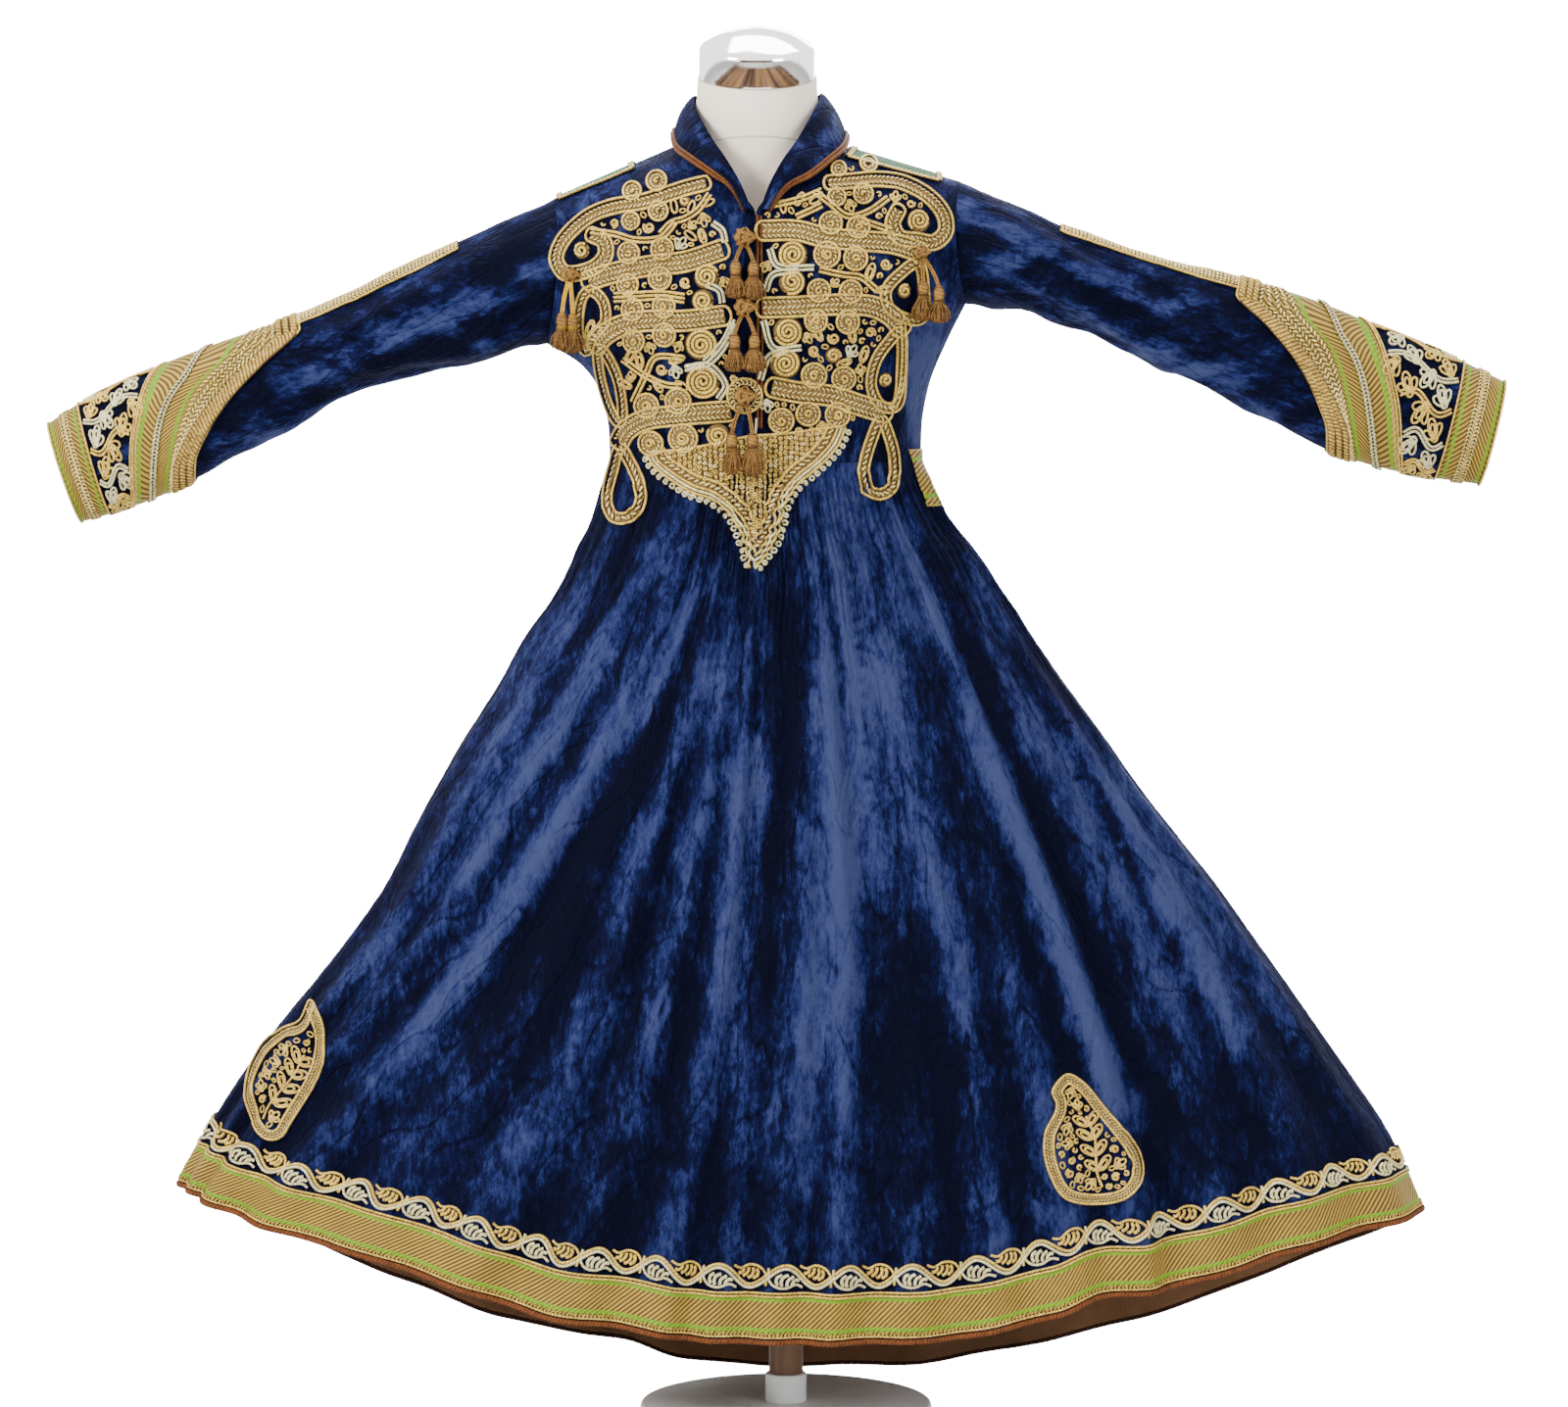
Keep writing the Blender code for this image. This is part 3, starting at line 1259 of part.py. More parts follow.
def build_form(cloth):
    rings = []
    neck_z = FORM[-5][0]
    for z, wide, front_depth, back_depth, middle_y in FORM:
        tilt = math.tan(math.radians(NECK_TILT)) * smooth((z - neck_z) / (FORM[-1][0] - neck_z))
        centre = Vector((FORM_X, middle_y, z))
        ring = []
        for number in range(FORM_SIDES):
            angle = 2 * math.pi * number / FORM_SIDES
            deep = back_depth if math.sin(angle) > 0 else front_depth
            way = Vector((wide * math.cos(angle), deep * math.sin(angle), 0))
            reach = way.length
            hit, _, _, distance = cloth.ray_cast(centre, way.normalized())
            if hit is not None and z < FORM[-2][0]:
                air = FORM_AIR if z < SHOULDER_REST else SHOULDER_AIR
                reach = min(reach, distance - air)
            point = centre + way.normalized() * reach
            point.z += tilt * (point.y - middle_y)
            ring.append(point)
        rings.append(ring)
    turned("form_torso", rings, FORM_SIDES, "form cover")


def build_cap():
    tilt = math.radians(NECK_TILT)
    axis = Vector((0, -math.sin(tilt), math.cos(tilt)))
    deep = Vector((0, math.cos(tilt), math.sin(tilt)))
    foot = Vector((FORM_X, FORM[-1][4], CAP_Z))
    rings = []
    for height, radius in CAP:
        ring = []
        for number in range(FORM_SIDES):
            angle = 2 * math.pi * number / FORM_SIDES
            ring.append(foot + axis * height + Vector((radius * math.cos(angle), 0, 0))
                        + deep * radius * math.sin(angle))
        rings.append(ring)
    turned("neck_cap", rings, FORM_SIDES, "chrome")


def round_ring(radius, z, count):
    turns = [2 * math.pi * n / count for n in range(count)]
    return [Vector((STAND_X + radius * math.cos(turn), radius * math.sin(turn), z)) for turn in turns]


def build_stand():
    foot, top = SOCKET_Z + POLE_AIR, FORM[0][0] - POLE_AIR
    pole = [round_ring(POLE_RADIUS, z, POLE_SIDES) for z in (foot, top)]
    turned("form_pole", pole, POLE_SIDES, "stand wood")
    profile = [(BASE_RADIUS, 0), (BASE_RADIUS, BASE_THICK * 0.6), (BASE_RADIUS - BASE_BEVEL, BASE_THICK),
               (SOCKET_RADIUS, BASE_THICK), (SOCKET_RADIUS, SOCKET_Z)]
    base = [round_ring(radius, z, BASE_SIDES) for radius, z in profile]
    turned("form_base", base, BASE_SIDES, "stand base")


def inner_surface(panels, collar):
    # What the form has to stay inside: the panels' inner faces and the collar's own face.
    points, faces = [], []
    for panel in panels + [collar]:
        side = panel.outer if panel is collar else panel.inner
        for corners in panel.triangles():
            faces.append([len(points) + n for n in range(3)])
            points.extend(side(key) for key in corners)
    return BVHTree.FromPolygons(points, faces)


def main():
    for item in list(bpy.data.objects):
        bpy.data.objects.remove(item, do_unlink=True)
    panels = build_bodice()
    edging = build_edging(panels)
    build_shoulder_panels(panels)
    sleeves = {side: build_sleeve(side) for side in SIDES}
    skirt, skirt_rows = build_skirt(FRONT, "front")
    back_skirt, back_rows = build_skirt(BACK, "back")
    hem_trims(skirt, skirt_rows, "front")
    hem_trims(back_skirt, back_rows, "back")
    trim(back_skirt, back_rows[-3:], "brown lining", "hem_lining_back", thickness=1.2, inside=True)
    build_belt(back_skirt, back_rows)
    for name, outline in PAISLEYS.items():
        build_paisley(skirt, skirt_rows, name, outline)
    fronts = [panels["front_left"][0], panels["front_right"][0]]
    chest = surface(fronts + [skirt])
    braid = [build_bar(chest, "frog_" + name, *measures) for name, measures in BARS.items()]
    braid += [build_loop(chest, "frog_" + name, *measures) for name, measures in LOOPS.items()]
    braid += [build_waist_point(chest, side, table) for side, table in WAIST_POINT.items()]
    dressed = surface(fronts + [skirt, edging] + list(sleeves.values()) + braid)
    for name, (x, z, radius, end_z, swing) in KNOTS.items():
        knot = build_knot(dressed, name, x, z, radius)
        build_tassels(dressed, name, knot, x, z, radius, end_z, swing)
    collar = build_collar(panels)
    build_form(inner_surface(fronts + [panels["back"][0], skirt, back_skirt], collar))
    build_cap()
    build_stand()


main()
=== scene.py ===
import math
import random

import bpy
import numpy as np
from mathutils import Matrix, Vector, noise
from mathutils.bvhtree import BVHTree


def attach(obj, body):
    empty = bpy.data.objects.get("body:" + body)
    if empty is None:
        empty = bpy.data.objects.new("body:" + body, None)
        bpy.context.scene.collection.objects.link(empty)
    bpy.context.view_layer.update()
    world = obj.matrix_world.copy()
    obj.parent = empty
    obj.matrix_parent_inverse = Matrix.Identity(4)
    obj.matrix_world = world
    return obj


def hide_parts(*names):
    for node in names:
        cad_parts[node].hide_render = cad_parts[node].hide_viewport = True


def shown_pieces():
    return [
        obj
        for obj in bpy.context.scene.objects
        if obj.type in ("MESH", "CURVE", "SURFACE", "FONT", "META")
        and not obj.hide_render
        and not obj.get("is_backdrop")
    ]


# A blue velvet wedding dress with couched gold braid, on a limbless dress form.
# Tables are in millimetres: x to the viewer's right of the neck's middle, y to the back,
# z up from the floor. toScene turns them into the frame's metres.

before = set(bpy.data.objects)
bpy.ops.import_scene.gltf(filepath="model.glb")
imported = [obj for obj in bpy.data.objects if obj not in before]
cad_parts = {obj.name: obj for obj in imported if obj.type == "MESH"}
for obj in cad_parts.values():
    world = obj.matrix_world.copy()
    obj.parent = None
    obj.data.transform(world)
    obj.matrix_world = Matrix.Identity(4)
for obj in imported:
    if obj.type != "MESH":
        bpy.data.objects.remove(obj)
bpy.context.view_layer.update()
mm = 0.001
standX = 30.0  # the stand's axis, in the tables' x
front, back = -1, 1
faceNames = {front: "front", back: "back"}
sides = {"left": -1, "right": 1}
bodicePanels = ["bodice_front_left", "bodice_front_right", "bodice_back"]
thick = {"velvet": 0.0019, "collar": 0.0018, "ribbon": 0.0007}  # of the cloth, in metres
print("frame loaded")


def toScene(point):
    return ((point[0] - standX) * mm, point[1] * mm, point[2] * mm)


def mix(first, second, share):
    return first + (second - first) * share


def clamp(value, low=0.0, high=1.0):
    return max(low, min(high, value))


def smooth(share):
    share = clamp(share)
    return share * share * (3 - 2 * share)


def bump(value, centre, width):
    return math.exp(-(((value - centre) / width) ** 2))


def readSmooth(rows, place, column=1):
    # What a column of the rows says at a place, on a curve that doesn't overshoot.
    spots = [row[0] for row in rows]
    values = [row[column] for row in rows]
    last = len(spots) - 1
    place = clamp(place, spots[0], spots[-1])
    i = min(max(int(np.searchsorted(spots, place)) - 1, 0), last - 1)
    slopes = [(values[k + 1] - values[k]) / (spots[k + 1] - spots[k]) for k in range(last)]

    def tangent(k):
        if k == 0 or k == last:
            return slopes[min(k, last - 1)]
        if slopes[k - 1] * slopes[k] <= 0:
            return 0.0
        return 2 * slopes[k - 1] * slopes[k] / (slopes[k - 1] + slopes[k])

    width = spots[i + 1] - spots[i]
    t = (place - spots[i]) / width
    a, b = tangent(i) * width, tangent(i + 1) * width
    return float(
        values[i] * (1 + 2 * t) * (1 - t) ** 2 + a * t * (1 - t) ** 2
        + values[i + 1] * t * t * (3 - 2 * t) - b * t * t * (1 - t)
    )


# camera and lamps

studio = {
    "eye": (-0.002, -5.48, 1.13), "aim": (-0.002, 0.0, 0.70), "lens": 123.75, "sensor": 36.0, "shiftY": 0.02,
    "farEnd": 60.0, "floorRadius": 14.0, "floorColour": (0.90, 0.90, 0.90), "worldColour": (1.0, 1.0, 1.0),
    "worldStrength": 0.75, "mirrorStrength": 2.8, "backdropStrength": 18.0,
}
lamps = [  # name, place, aim, width, height, watts, colour
    ("keyLamp", (-3.3, -2.9, 3.0), (0.0, 0.0, 0.75), 1.4, 1.4, 360, (1.0, 0.98, 0.96)),
    ("fillLamp", (2.9, -3.4, 2.0), (0.0, 0.0, 0.75), 1.6, 2.0, 130, (0.95, 0.97, 1.0)),
    ("topLamp", (0.2, 0.6, 3.6), (0.0, 0.0, 0.9), 2.2, 1.4, 110, (1.0, 1.0, 1.0)),
    ("backLamp", (0.5, 3.2, 2.2), (0.0, 0.0, 0.8), 2.0, 2.0, 110, (1.0, 1.0, 1.0)),
]


def addAimed(name, data, place, aim):
    made = bpy.data.objects.new(name, data)
    made.location = place
    made.rotation_euler = (Vector(aim) - Vector(place)).to_track_quat("-Z", "Y").to_euler()
    bpy.context.scene.collection.objects.link(made)
    return made


def addCamera():
    data = bpy.data.cameras.new("studioCamera")
    data.sensor_width = studio["sensor"]
    data.lens = studio["lens"]
    data.shift_y = studio["shiftY"]
    data.clip_end = studio["farEnd"]
    bpy.context.scene.camera = addAimed("studioCamera", data, studio["eye"], studio["aim"])


def addLamps():
    for name, place, aim, width, height, watts, colour in lamps:
        data = bpy.data.lights.new(name, "AREA")
        data.shape = "RECTANGLE"
        data.size, data.size_y = width, height
        data.energy = watts
        data.color = colour
        addAimed(name, data, place, aim)


# materials made of nodes


class Wire:
    # A socket in a material, with arithmetic that adds Math nodes.
    def __init__(self, shade, socket):
        self.shade = shade
        self.socket = socket

    def __add__(self, other):
        return self.shade.calculate("ADD", self, other)

    def __radd__(self, other):
        return self + other

    def __sub__(self, other):
        return self.shade.calculate("SUBTRACT", self, other)

    def __rsub__(self, other):
        return self.shade.calculate("SUBTRACT", other, self)

    def __mul__(self, other):
        return self.shade.calculate("MULTIPLY", self, other)

    def __abs__(self):
        return self.shade.calculate("ABSOLUTE", self)

    def sine(self):
        return self.shade.calculate("SINE", self)

    def above(self, other):
        return self.shade.calculate("GREATER_THAN", self, other)

    def below(self, other):
        return self.shade.calculate("LESS_THAN", self, other)

    def step(self, low, high):
        return self.shade.wire(self.shade.node("ShaderNodeMapRange", {"interpolation_type": "SMOOTHSTEP"},
                                               {"Value": self, "From Min": low, "From Max": high}))

    def wave(self, period):
        # A sine from 0 to 1 with the given period.
        return (self * (2 * math.pi / period)).sine() * 0.5 + 0.5


surfaceSockets = {"sheen": "Sheen Weight", "sheenRough": "Sheen Roughness", "sheenTint": "Sheen Tint",
                  "specular": "Specular IOR Level"}


class Shade:
    # One material and the nodes in it.
    def __init__(self, name):
        self.material = bpy.data.materials.new(name)
        self.material.use_nodes = True
        self.tree = self.material.node_tree
        self.surface = self.tree.nodes["Principled BSDF"]

    def node(self, kind, settings=None, inputs=None):
        made = self.tree.nodes.new(kind)
        for key, value in (settings or {}).items():
            if key == "stops":
                ramp = made.color_ramp
                while len(ramp.elements) < len(value):
                    ramp.elements.new(0.5)
                for element, (place, colour) in zip(ramp.elements, value):
                    element.position = place
                    element.color = (*colour, 1.0)
            else:
                setattr(made, key, value)
        pairs = inputs.items() if isinstance(inputs, dict) else enumerate(inputs or [])
        for key, value in pairs:
            if isinstance(value, Wire):
                self.tree.links.new(value.socket, made.inputs[key])
            else:
                made.inputs[key].default_value = value
        return made

    def wire(self, made, output=0):
        return Wire(self, made.outputs[output])

    def calculate(self, kind, *values):
        return self.wire(self.node("ShaderNodeMath", {"operation": kind}, values))

    def place(self):
        return self.wire(self.node("ShaderNodeTexCoord"), "Object")

    def uv(self):
        return self.wire(self.node("ShaderNodeUVMap", {"uv_map": "uvMap"}))

    def parts(self, vector):
        made = self.node("ShaderNodeSeparateXYZ", None, [vector])
        return [self.wire(made, n) for n in range(3)]

    def attribute(self, name):
        return self.wire(self.node("ShaderNodeAttribute", {"attribute_name": name}), "Fac")

    def scaled(self, vector, scale):
        made = self.node("ShaderNodeMapping", None, {"Vector": vector, "Scale": scale})
        return self.wire(made)

    def noise(self, vector, scale, detail=3.0, rough=0.55, distort=0.0):
        inputs = {"Vector": vector, "Scale": scale, "Detail": detail, "Roughness": rough,
                  "Distortion": distort}
        return self.wire(self.node("ShaderNodeTexNoise", None, inputs))

    def blend(self, factor, first, second):
        # Mixes two colours, each a triple or a wire.
        made = self.node("ShaderNodeMix", {"data_type": "RGBA"})
        for key, value in ((0, factor), (6, first), (7, second)):
            if isinstance(value, Wire):
                self.tree.links.new(value.socket, made.inputs[key])
            else:
                made.inputs[key].default_value = value if key == 0 else (*value, 1.0)
        return self.wire(made, 2)

    def ramp(self, factor, stops):
        return self.wire(self.node("ShaderNodeValToRGB", {"stops": stops}, [factor]))

    def relief(self, height, distance, strength=1.0, under=None):
        inputs = {"Height": height, "Distance": distance, "Strength": strength}
        if under is not None:
            inputs["Normal"] = under
        return self.wire(self.node("ShaderNodeBump", None, inputs))

    def finish(self, colour, roughness, normal=None, metallic=None, **fixed):
        values = {"Base Color": colour, "Roughness": roughness, "Normal": normal, "Metallic": metallic}
        values.update((surfaceSockets[key], value) for key, value in fixed.items())
        for key, value in values.items():
            socket = self.surface.inputs[key]
            if isinstance(value, Wire):
                self.tree.links.new(value.socket, socket)
            elif value is not None:
                socket.default_value = (*value, 1.0) if isinstance(value, tuple) else value
        return self.material


# finishes

velvet = {
    "colours": [(0.0, (0.0003, 0.0006, 0.0070)), (0.26, (0.0020, 0.0034, 0.027)),
                (0.55, (0.0088, 0.0145, 0.070)), (1.0, (0.029, 0.039, 0.105))],
    "sheen": {"sheen": 0.08, "sheenRough": 0.32, "sheenTint": (0.20, 0.28, 1.0)},
    # each noise: whether it runs with the cloth, scale, detail, roughness, distortion, its share in the light
    "layers": {
        "smear": (True, 8.0, 4.0, 0.55, 0.3, 0.50), "streak": (True, 60.0, 5.0, 0.66, 0.15, 0.66),
        "crush": (False, 46.0, 6.0, 0.70, 0.35, 0.74), "wrinkle": (False, 150.0, 4.0, 0.70, 0.4, 0.68),
        "grain": (False, 330.0, 3.0, 0.75, 0.2, 0.42),
    },
    "napAndLightShare": 0.90, "creaseScale": 30.0, "creaseWidth": 0.035, "pileScale": 900.0, "range": (0.13, 0.80),
}


def velvetMaterial(name, stretch=(1.0, 0.28, 1.0), brushed=(1.0, 1.0, 0.38)):
    # Crushed pile: pale smears where it lies one way, near black where it lies the other; the vertex value
    # adds painted highlights and painted shade along the folds.
    shade = Shade(name)
    flow = shade.scaled(shade.uv(), stretch)
    place = shade.place()
    along = shade.scaled(place, brushed)
    # the vertex value is pile tone with painted highlights and painted shade along the folds
    nap = shade.attribute("nap")
    light = nap * velvet["napAndLightShare"]
    made = {}
    for layer, (withCloth, scale, detail, rough, distort, share) in velvet["layers"].items():
        made[layer] = shade.noise(flow if withCloth else along, scale, detail, rough, distort)
        light = light + (made[layer] - 0.5) * share
    # crease and crumple: thin contour lines of noise, painted shade that darkens the colour, and grooves in
    # the relief
    lines = shade.noise(flow, velvet["creaseScale"], 2.0, 0.45, 0.5)
    crease, crumple = [abs(layer - 0.5).step(0.0, velvet["creaseWidth"]) for layer in (lines, made["crush"])]
    level = (light + crease * 0.12 + crumple * 0.07 - 0.17).step(*velvet["range"])
    height = nap * 0.5 + made["crush"] * 0.45 + made["smear"] * 0.3 + crease * 0.12
    pile = shade.noise(place, velvet["pileScale"], 2.0, 0.6)
    folds = shade.relief(height, 0.013, 0.8)
    normal = shade.relief(made["wrinkle"] * 0.75 + pile * 0.06, 0.0045, 0.75, folds)
    return shade.finish(shade.ramp(level, velvet["colours"]), 0.80 - level * 0.22, normal, specular=0.05,
                        **velvet["sheen"])


def mixColour(first, second, share):
    return tuple(mix(a, b, share) for a, b in zip(first, second))


cordFinish = {
    # light and dark of the metal thread, roughness, metallic, slot
    "gold": ((0.83, 0.585, 0.125), (0.26, 0.150, 0.028), 0.46, 0.40, "gold_braid"),
    "plait": ((0.95, 0.78, 0.33), (0.36, 0.235, 0.058), 0.42, 0.40, "gold_braid"),
    # the bed: a dark strip under the stitches, painted shade that shows in the gaps between them
    "bed": ((0.27, 0.165, 0.050), (0.11, 0.062, 0.018), 0.70, 0.15, "gold_braid"),
    "silver": ((0.80, 0.73, 0.42), (0.32, 0.275, 0.125), 0.42, 0.35, "silver_braid"),
    "copper": ((0.165, 0.056, 0.013), (0.060, 0.020, 0.006), 0.60, 0.20, "copper_piping"),
    "rust": ((0.17, 0.052, 0.014), (0.060, 0.018, 0.006), 0.85, 0.0, "rust_piping"),
    "knot": ((0.31, 0.160, 0.036), (0.10, 0.046, 0.010), 0.66, 0.0, "tassel_thread"),
    "thread": ((0.31, 0.155, 0.040), (0.085, 0.036, 0.010), 0.66, 0.0, "tassel_thread"),
    "yellow": ((0.75, 0.45, 0.02), (0.40, 0.22, 0.01), 0.6, 0.0, "tassel_thread"),
    "white": ((0.62, 0.60, 0.54), (0.38, 0.36, 0.32), 0.7, 0.0, "silver_braid"),
}


def cordMaterial(name, twist=260.0):
    # Thread wound at a slant round the cord, with painted shade down its sides where it meets the cloth
    # and its crest left lit: u runs along it and v round it.
    light, dark, roughness, metallic, _ = cordFinish[name]
    shade = Shade(name + "Cord")
    along, around, _ = shade.parts(shade.uv())
    place = shade.place()
    wound = (along * (twist * 2 * math.pi) + around * (4 * math.pi)).sine() * 0.5 + 0.5
    patch = shade.noise(place, 210.0, 3.0, 0.6)
    tarnish = shade.noise(place, 16.0, 3.0, 0.6)
    tone = wound * 0.30 + patch * 1.0 + tarnish * 0.40 - 0.40
    # painted shade: the colour darkens towards the cord's sides and stays lit at its crest
    crestLight = (around * (2 * math.pi)).sine().step(0.18, 0.88)
    colour = shade.blend(tone.step(0.05, 0.85), dark, light)
    colour = shade.blend(crestLight, mixColour(dark, (0.0, 0.0, 0.0), 0.6), colour)
    normal = shade.relief(wound, 0.0006, 0.7)
    fine = shade.relief(shade.noise(place, 1500.0, 2.0), 0.0003, 0.5, normal)
    return shade.finish(colour, roughness + patch * 0.16 - 0.08, fine, metallic, specular=0.15)


ribbonColours = {
    "gold": (0.350, 0.226, 0.033), "goldDark": (0.068, 0.038, 0.006), "pale": (0.43, 0.31, 0.075),
    "lime": (0.19, 0.34, 0.010), "limeDark": (0.09, 0.17, 0.006),
}


def ribbonMaterial(name, width, lines, slant=45.0, pitch=0.0060, spine=0.0):
    # Twill-woven metal ribbon: v is the distance across it in metres, u along it.
    # lines holds the middles and half widths of the green lines; the twill turns back at the spine.
    shade = Shade(name)
    along, across, _ = shade.parts(shade.uv())
    place = shade.place()
    twill = (along + abs(across - spine) * math.tan(math.radians(slant))).wave(pitch)
    weave = along.wave(0.0011) * across.wave(0.0011)
    worn = shade.noise(place, 35.0, 4.0, 0.65)
    rubbed = shade.noise(place, 6.0, 3.0, 0.6)
    tone = twill.step(0.15, 0.75) * 0.75 + worn * 0.45 + rubbed * 0.30 - 0.22
    gold = shade.blend(tone.step(0.1, 0.95), ribbonColours["goldDark"], ribbonColours["gold"])
    edges = abs(across - width / 2).above(width / 2 - 0.0016)
    gold = shade.blend(edges * 0.7, gold, ribbonColours["pale"])
    first, second = [abs(across - middle).below(half) for middle, half in lines]
    lime = shade.blend(shade.noise(place, 240.0, 2.0), ribbonColours["limeDark"], ribbonColours["lime"])
    colour = shade.blend(first + second, gold, lime)
    normal = shade.relief(twill * 0.8 + weave * 0.2, 0.0009, 0.8)
    return shade.finish(colour, 0.62 - twill * 0.16, normal, 0.25, specular=0.2)


def clothMaterial(name, light, dark, thread=0.0011, roughness=0.85, sheen=0.2, patchScale=7.0):
    # Plain woven cotton or silk with the shade varying in patches.
    shade = Shade(name)
    place = shade.place()
    x, y, z = shade.parts(place)
    weave = (x + y).wave(thread) * z.wave(thread)
    patch = shade.noise(place, patchScale, 4.0, 0.6)
    colour = shade.blend((patch * 0.9 + weave * 0.25 - 0.1).step(0.1, 0.9), dark, light)
    crease = shade.noise(place, 30.0, 5.0, 0.6, 1.0)
    normal = shade.relief(weave * 0.12 + crease * 0.9, 0.0022, 0.6)
    return shade.finish(colour, roughness, normal, sheen=sheen, sheenRough=0.5, sheenTint=light, specular=0.3)


finishes = {
    "velvet": velvetMaterial("crushedVelvet"),
    "velvetSleeve": velvetMaterial("crushedVelvetSleeve", (1.3, 0.30, 1.0), (0.42, 1.0, 0.9)),
    "lining": clothMaterial("brownLining", (0.19, 0.092, 0.036), (0.080, 0.036, 0.015)),
    "greenSilk": clothMaterial("greenSilk", (0.016, 0.095, 0.028), (0.008, 0.045, 0.014), 0.0008, 0.8, 0.0),
    "hemRibbon": ribbonMaterial("hemRibbon", 0.052, [(0.0135, 0.0022), (0.0445, 0.0022)], -43.0, 0.0056),
    "beltRibbon": ribbonMaterial("beltRibbon", 0.056, [(0.0100, 0.0022), (0.0460, 0.0022)]),
}
for cordName in cordFinish:
    finishes[cordName] = cordMaterial(cordName)
print("finishes made")


# meshes


def addMesh(name, points, faces, materials, uvs, nap=None):
    # A piece from points in scene metres; uvs holds one pair for each point.
    mesh = bpy.data.meshes.new(name)
    mesh.from_pydata([tuple(p) for p in points], [], faces)
    for item in materials:
        mesh.materials.append(finishes[item])
    layer = mesh.uv_layers.new(name="uvMap")
    corners = np.zeros(len(mesh.loops), int)
    mesh.loops.foreach_get("vertex_index", corners)
    layer.data.foreach_set("uv", np.array(uvs, float)[corners].ravel())
    # the vertex value of pile tone with painted highlights and painted shade, which the velvet reads
    if nap is not None:
        made = mesh.attributes.new("nap", "FLOAT", "POINT")
        made.data.foreach_set("value", np.array(nap, float))
    mesh.shade_smooth()
    mesh.validate()
    made = bpy.data.objects.new(name, mesh)
    bpy.context.scene.collection.objects.link(made)
    return made


def fit(piece, slot, *nodes):
    # The piece rides on the dress and stands for its own solids.
    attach(piece, "root")
    if nodes:
        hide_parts(*nodes)
    return piece


def thicken(piece, thickness, inner=None):
    # Cloth gets its own thickness, inwards, with the lining as its inner face.
    solid = piece.modifiers.new("wall", "SOLIDIFY")
    solid.thickness = thickness
    solid.offset = -1.0
    if inner is not None:
        piece.data.materials.append(finishes[inner])
        solid.material_offset = 1
    with bpy.context.temp_override(object=piece, active_object=piece):
        bpy.ops.object.modifier_apply(modifier=solid.name)
    return piece


def spaced(low, high, count):
    return [mix(low, high, n / count) for n in range(count + 1)]


def heading(angle):
    return np.array([math.cos(math.radians(angle)), math.sin(math.radians(angle))])


def runAlong(points):
    # The length from the first point to each of them.
    return np.concatenate([[0], np.cumsum(np.linalg.norm(np.diff(points, axis=0), axis=1))])


def readAlong(points, run, places):
    return np.stack([np.interp(places, run, points[:, k]) for k in range(points.shape[1])], -1)


def curved(a, b, c, d, t):
    # From b to c on a smooth curve through four points.
    return 0.5 * (2 * b + (c - a) * t + (2 * a - 5 * b + 4 * c - d) * t * t
                  + (3 * b - a - 3 * c + d) * t ** 3)


def resample(points, step=2.0, closed=False):
    # A smooth curve through the points, cut in equal steps.
    given = [np.array(p, float) for p in points]
    if len(given) == 2 and not closed:
        given = [given[0], (given[0] + given[1]) / 2, given[1]]
    if closed:
        given = [given[-1], *given, given[0], given[1]]
    else:
        given = [2 * given[0] - given[1], *given, 2 * given[-1] - given[-2]]
    dense = [curved(*four, t) for four in zip(given, given[1:], given[2:], given[3:])
             for t in np.arange(0, 1, 0.0625)]
    dense = np.array([*dense, given[-2]])
    run = runAlong(dense)
    return readAlong(dense, run, np.linspace(0, run[-1], max(2, int(round(run[-1] / step)) + 1)))


photo = {  # how the photo sees the dress: its middle, where that lies, the eye's distance and slant
    "middleX": 800, "middleY": 750, "x": 28, "z": 700, "far": 5500, "slope": 0.0785, "cosine": 0.997,
    # how far behind the neck's middle lies what it shows
    "depth": {"braid": -115.0, "bodice": -60.0, "sleeve": -40.0, "skirt": -150.0, "waist": -112,
              "belt": -40.0, "knot": -125, "tassel": -128},
}


def seen(x, y, part="braid"):
    # The place on that part of the dress that shows at (x, y).
    depth = photo["depth"][part]
    near = 1 + depth / photo["far"]
    z = photo["z"] + ((photo["middleY"] - y) * near - depth * photo["slope"]) / photo["cosine"]
    return (photo["x"] + (x - photo["middleX"]) * near, z)


def seenAll(points, part="braid"):
    return [seen(x, y, part) for x, y in points]


def lineLight(points, lines, part):
    # What painted highlights (strength above naught) and painted shade (below it) along the folds add to the
    # pile's vertex value: strength, half width, and the line as the photo shows it.
    flat = points.reshape(-1, 3)[:, [0, 2]]
    total = np.zeros(len(flat))
    for strength, wide, line in lines:
        path = resample(seenAll(line, part), 12.0)
        apart = np.linalg.norm(flat[:, None] - path[None], axis=-1)
        fade = np.sin(math.pi * (0.06 + 0.88 * apart.argmin(1) / (len(path) - 1))) ** 0.5
        reach = wide * (1.5 if strength > 0 else 0.8)
        total += strength * np.exp(-((apart.min(1) / reach) ** 2)) * fade
    return total


def unit(vectors):
    return vectors / np.maximum(np.linalg.norm(vectors, axis=-1, keepdims=True), 1e-9)


def declareCloth(grid):
    # The size the cloth was cut to, measured on the rows of points it was made from.
    across = np.linalg.norm(np.diff(grid, axis=1), axis=-1).sum(1).max() * mm
    down = np.linalg.norm(np.diff(grid, axis=0), axis=-1).sum(0).max() * mm
    slants = np.cross(grid[1:, 1:] - grid[:-1, :-1], grid[1:, :-1] - grid[:-1, 1:])


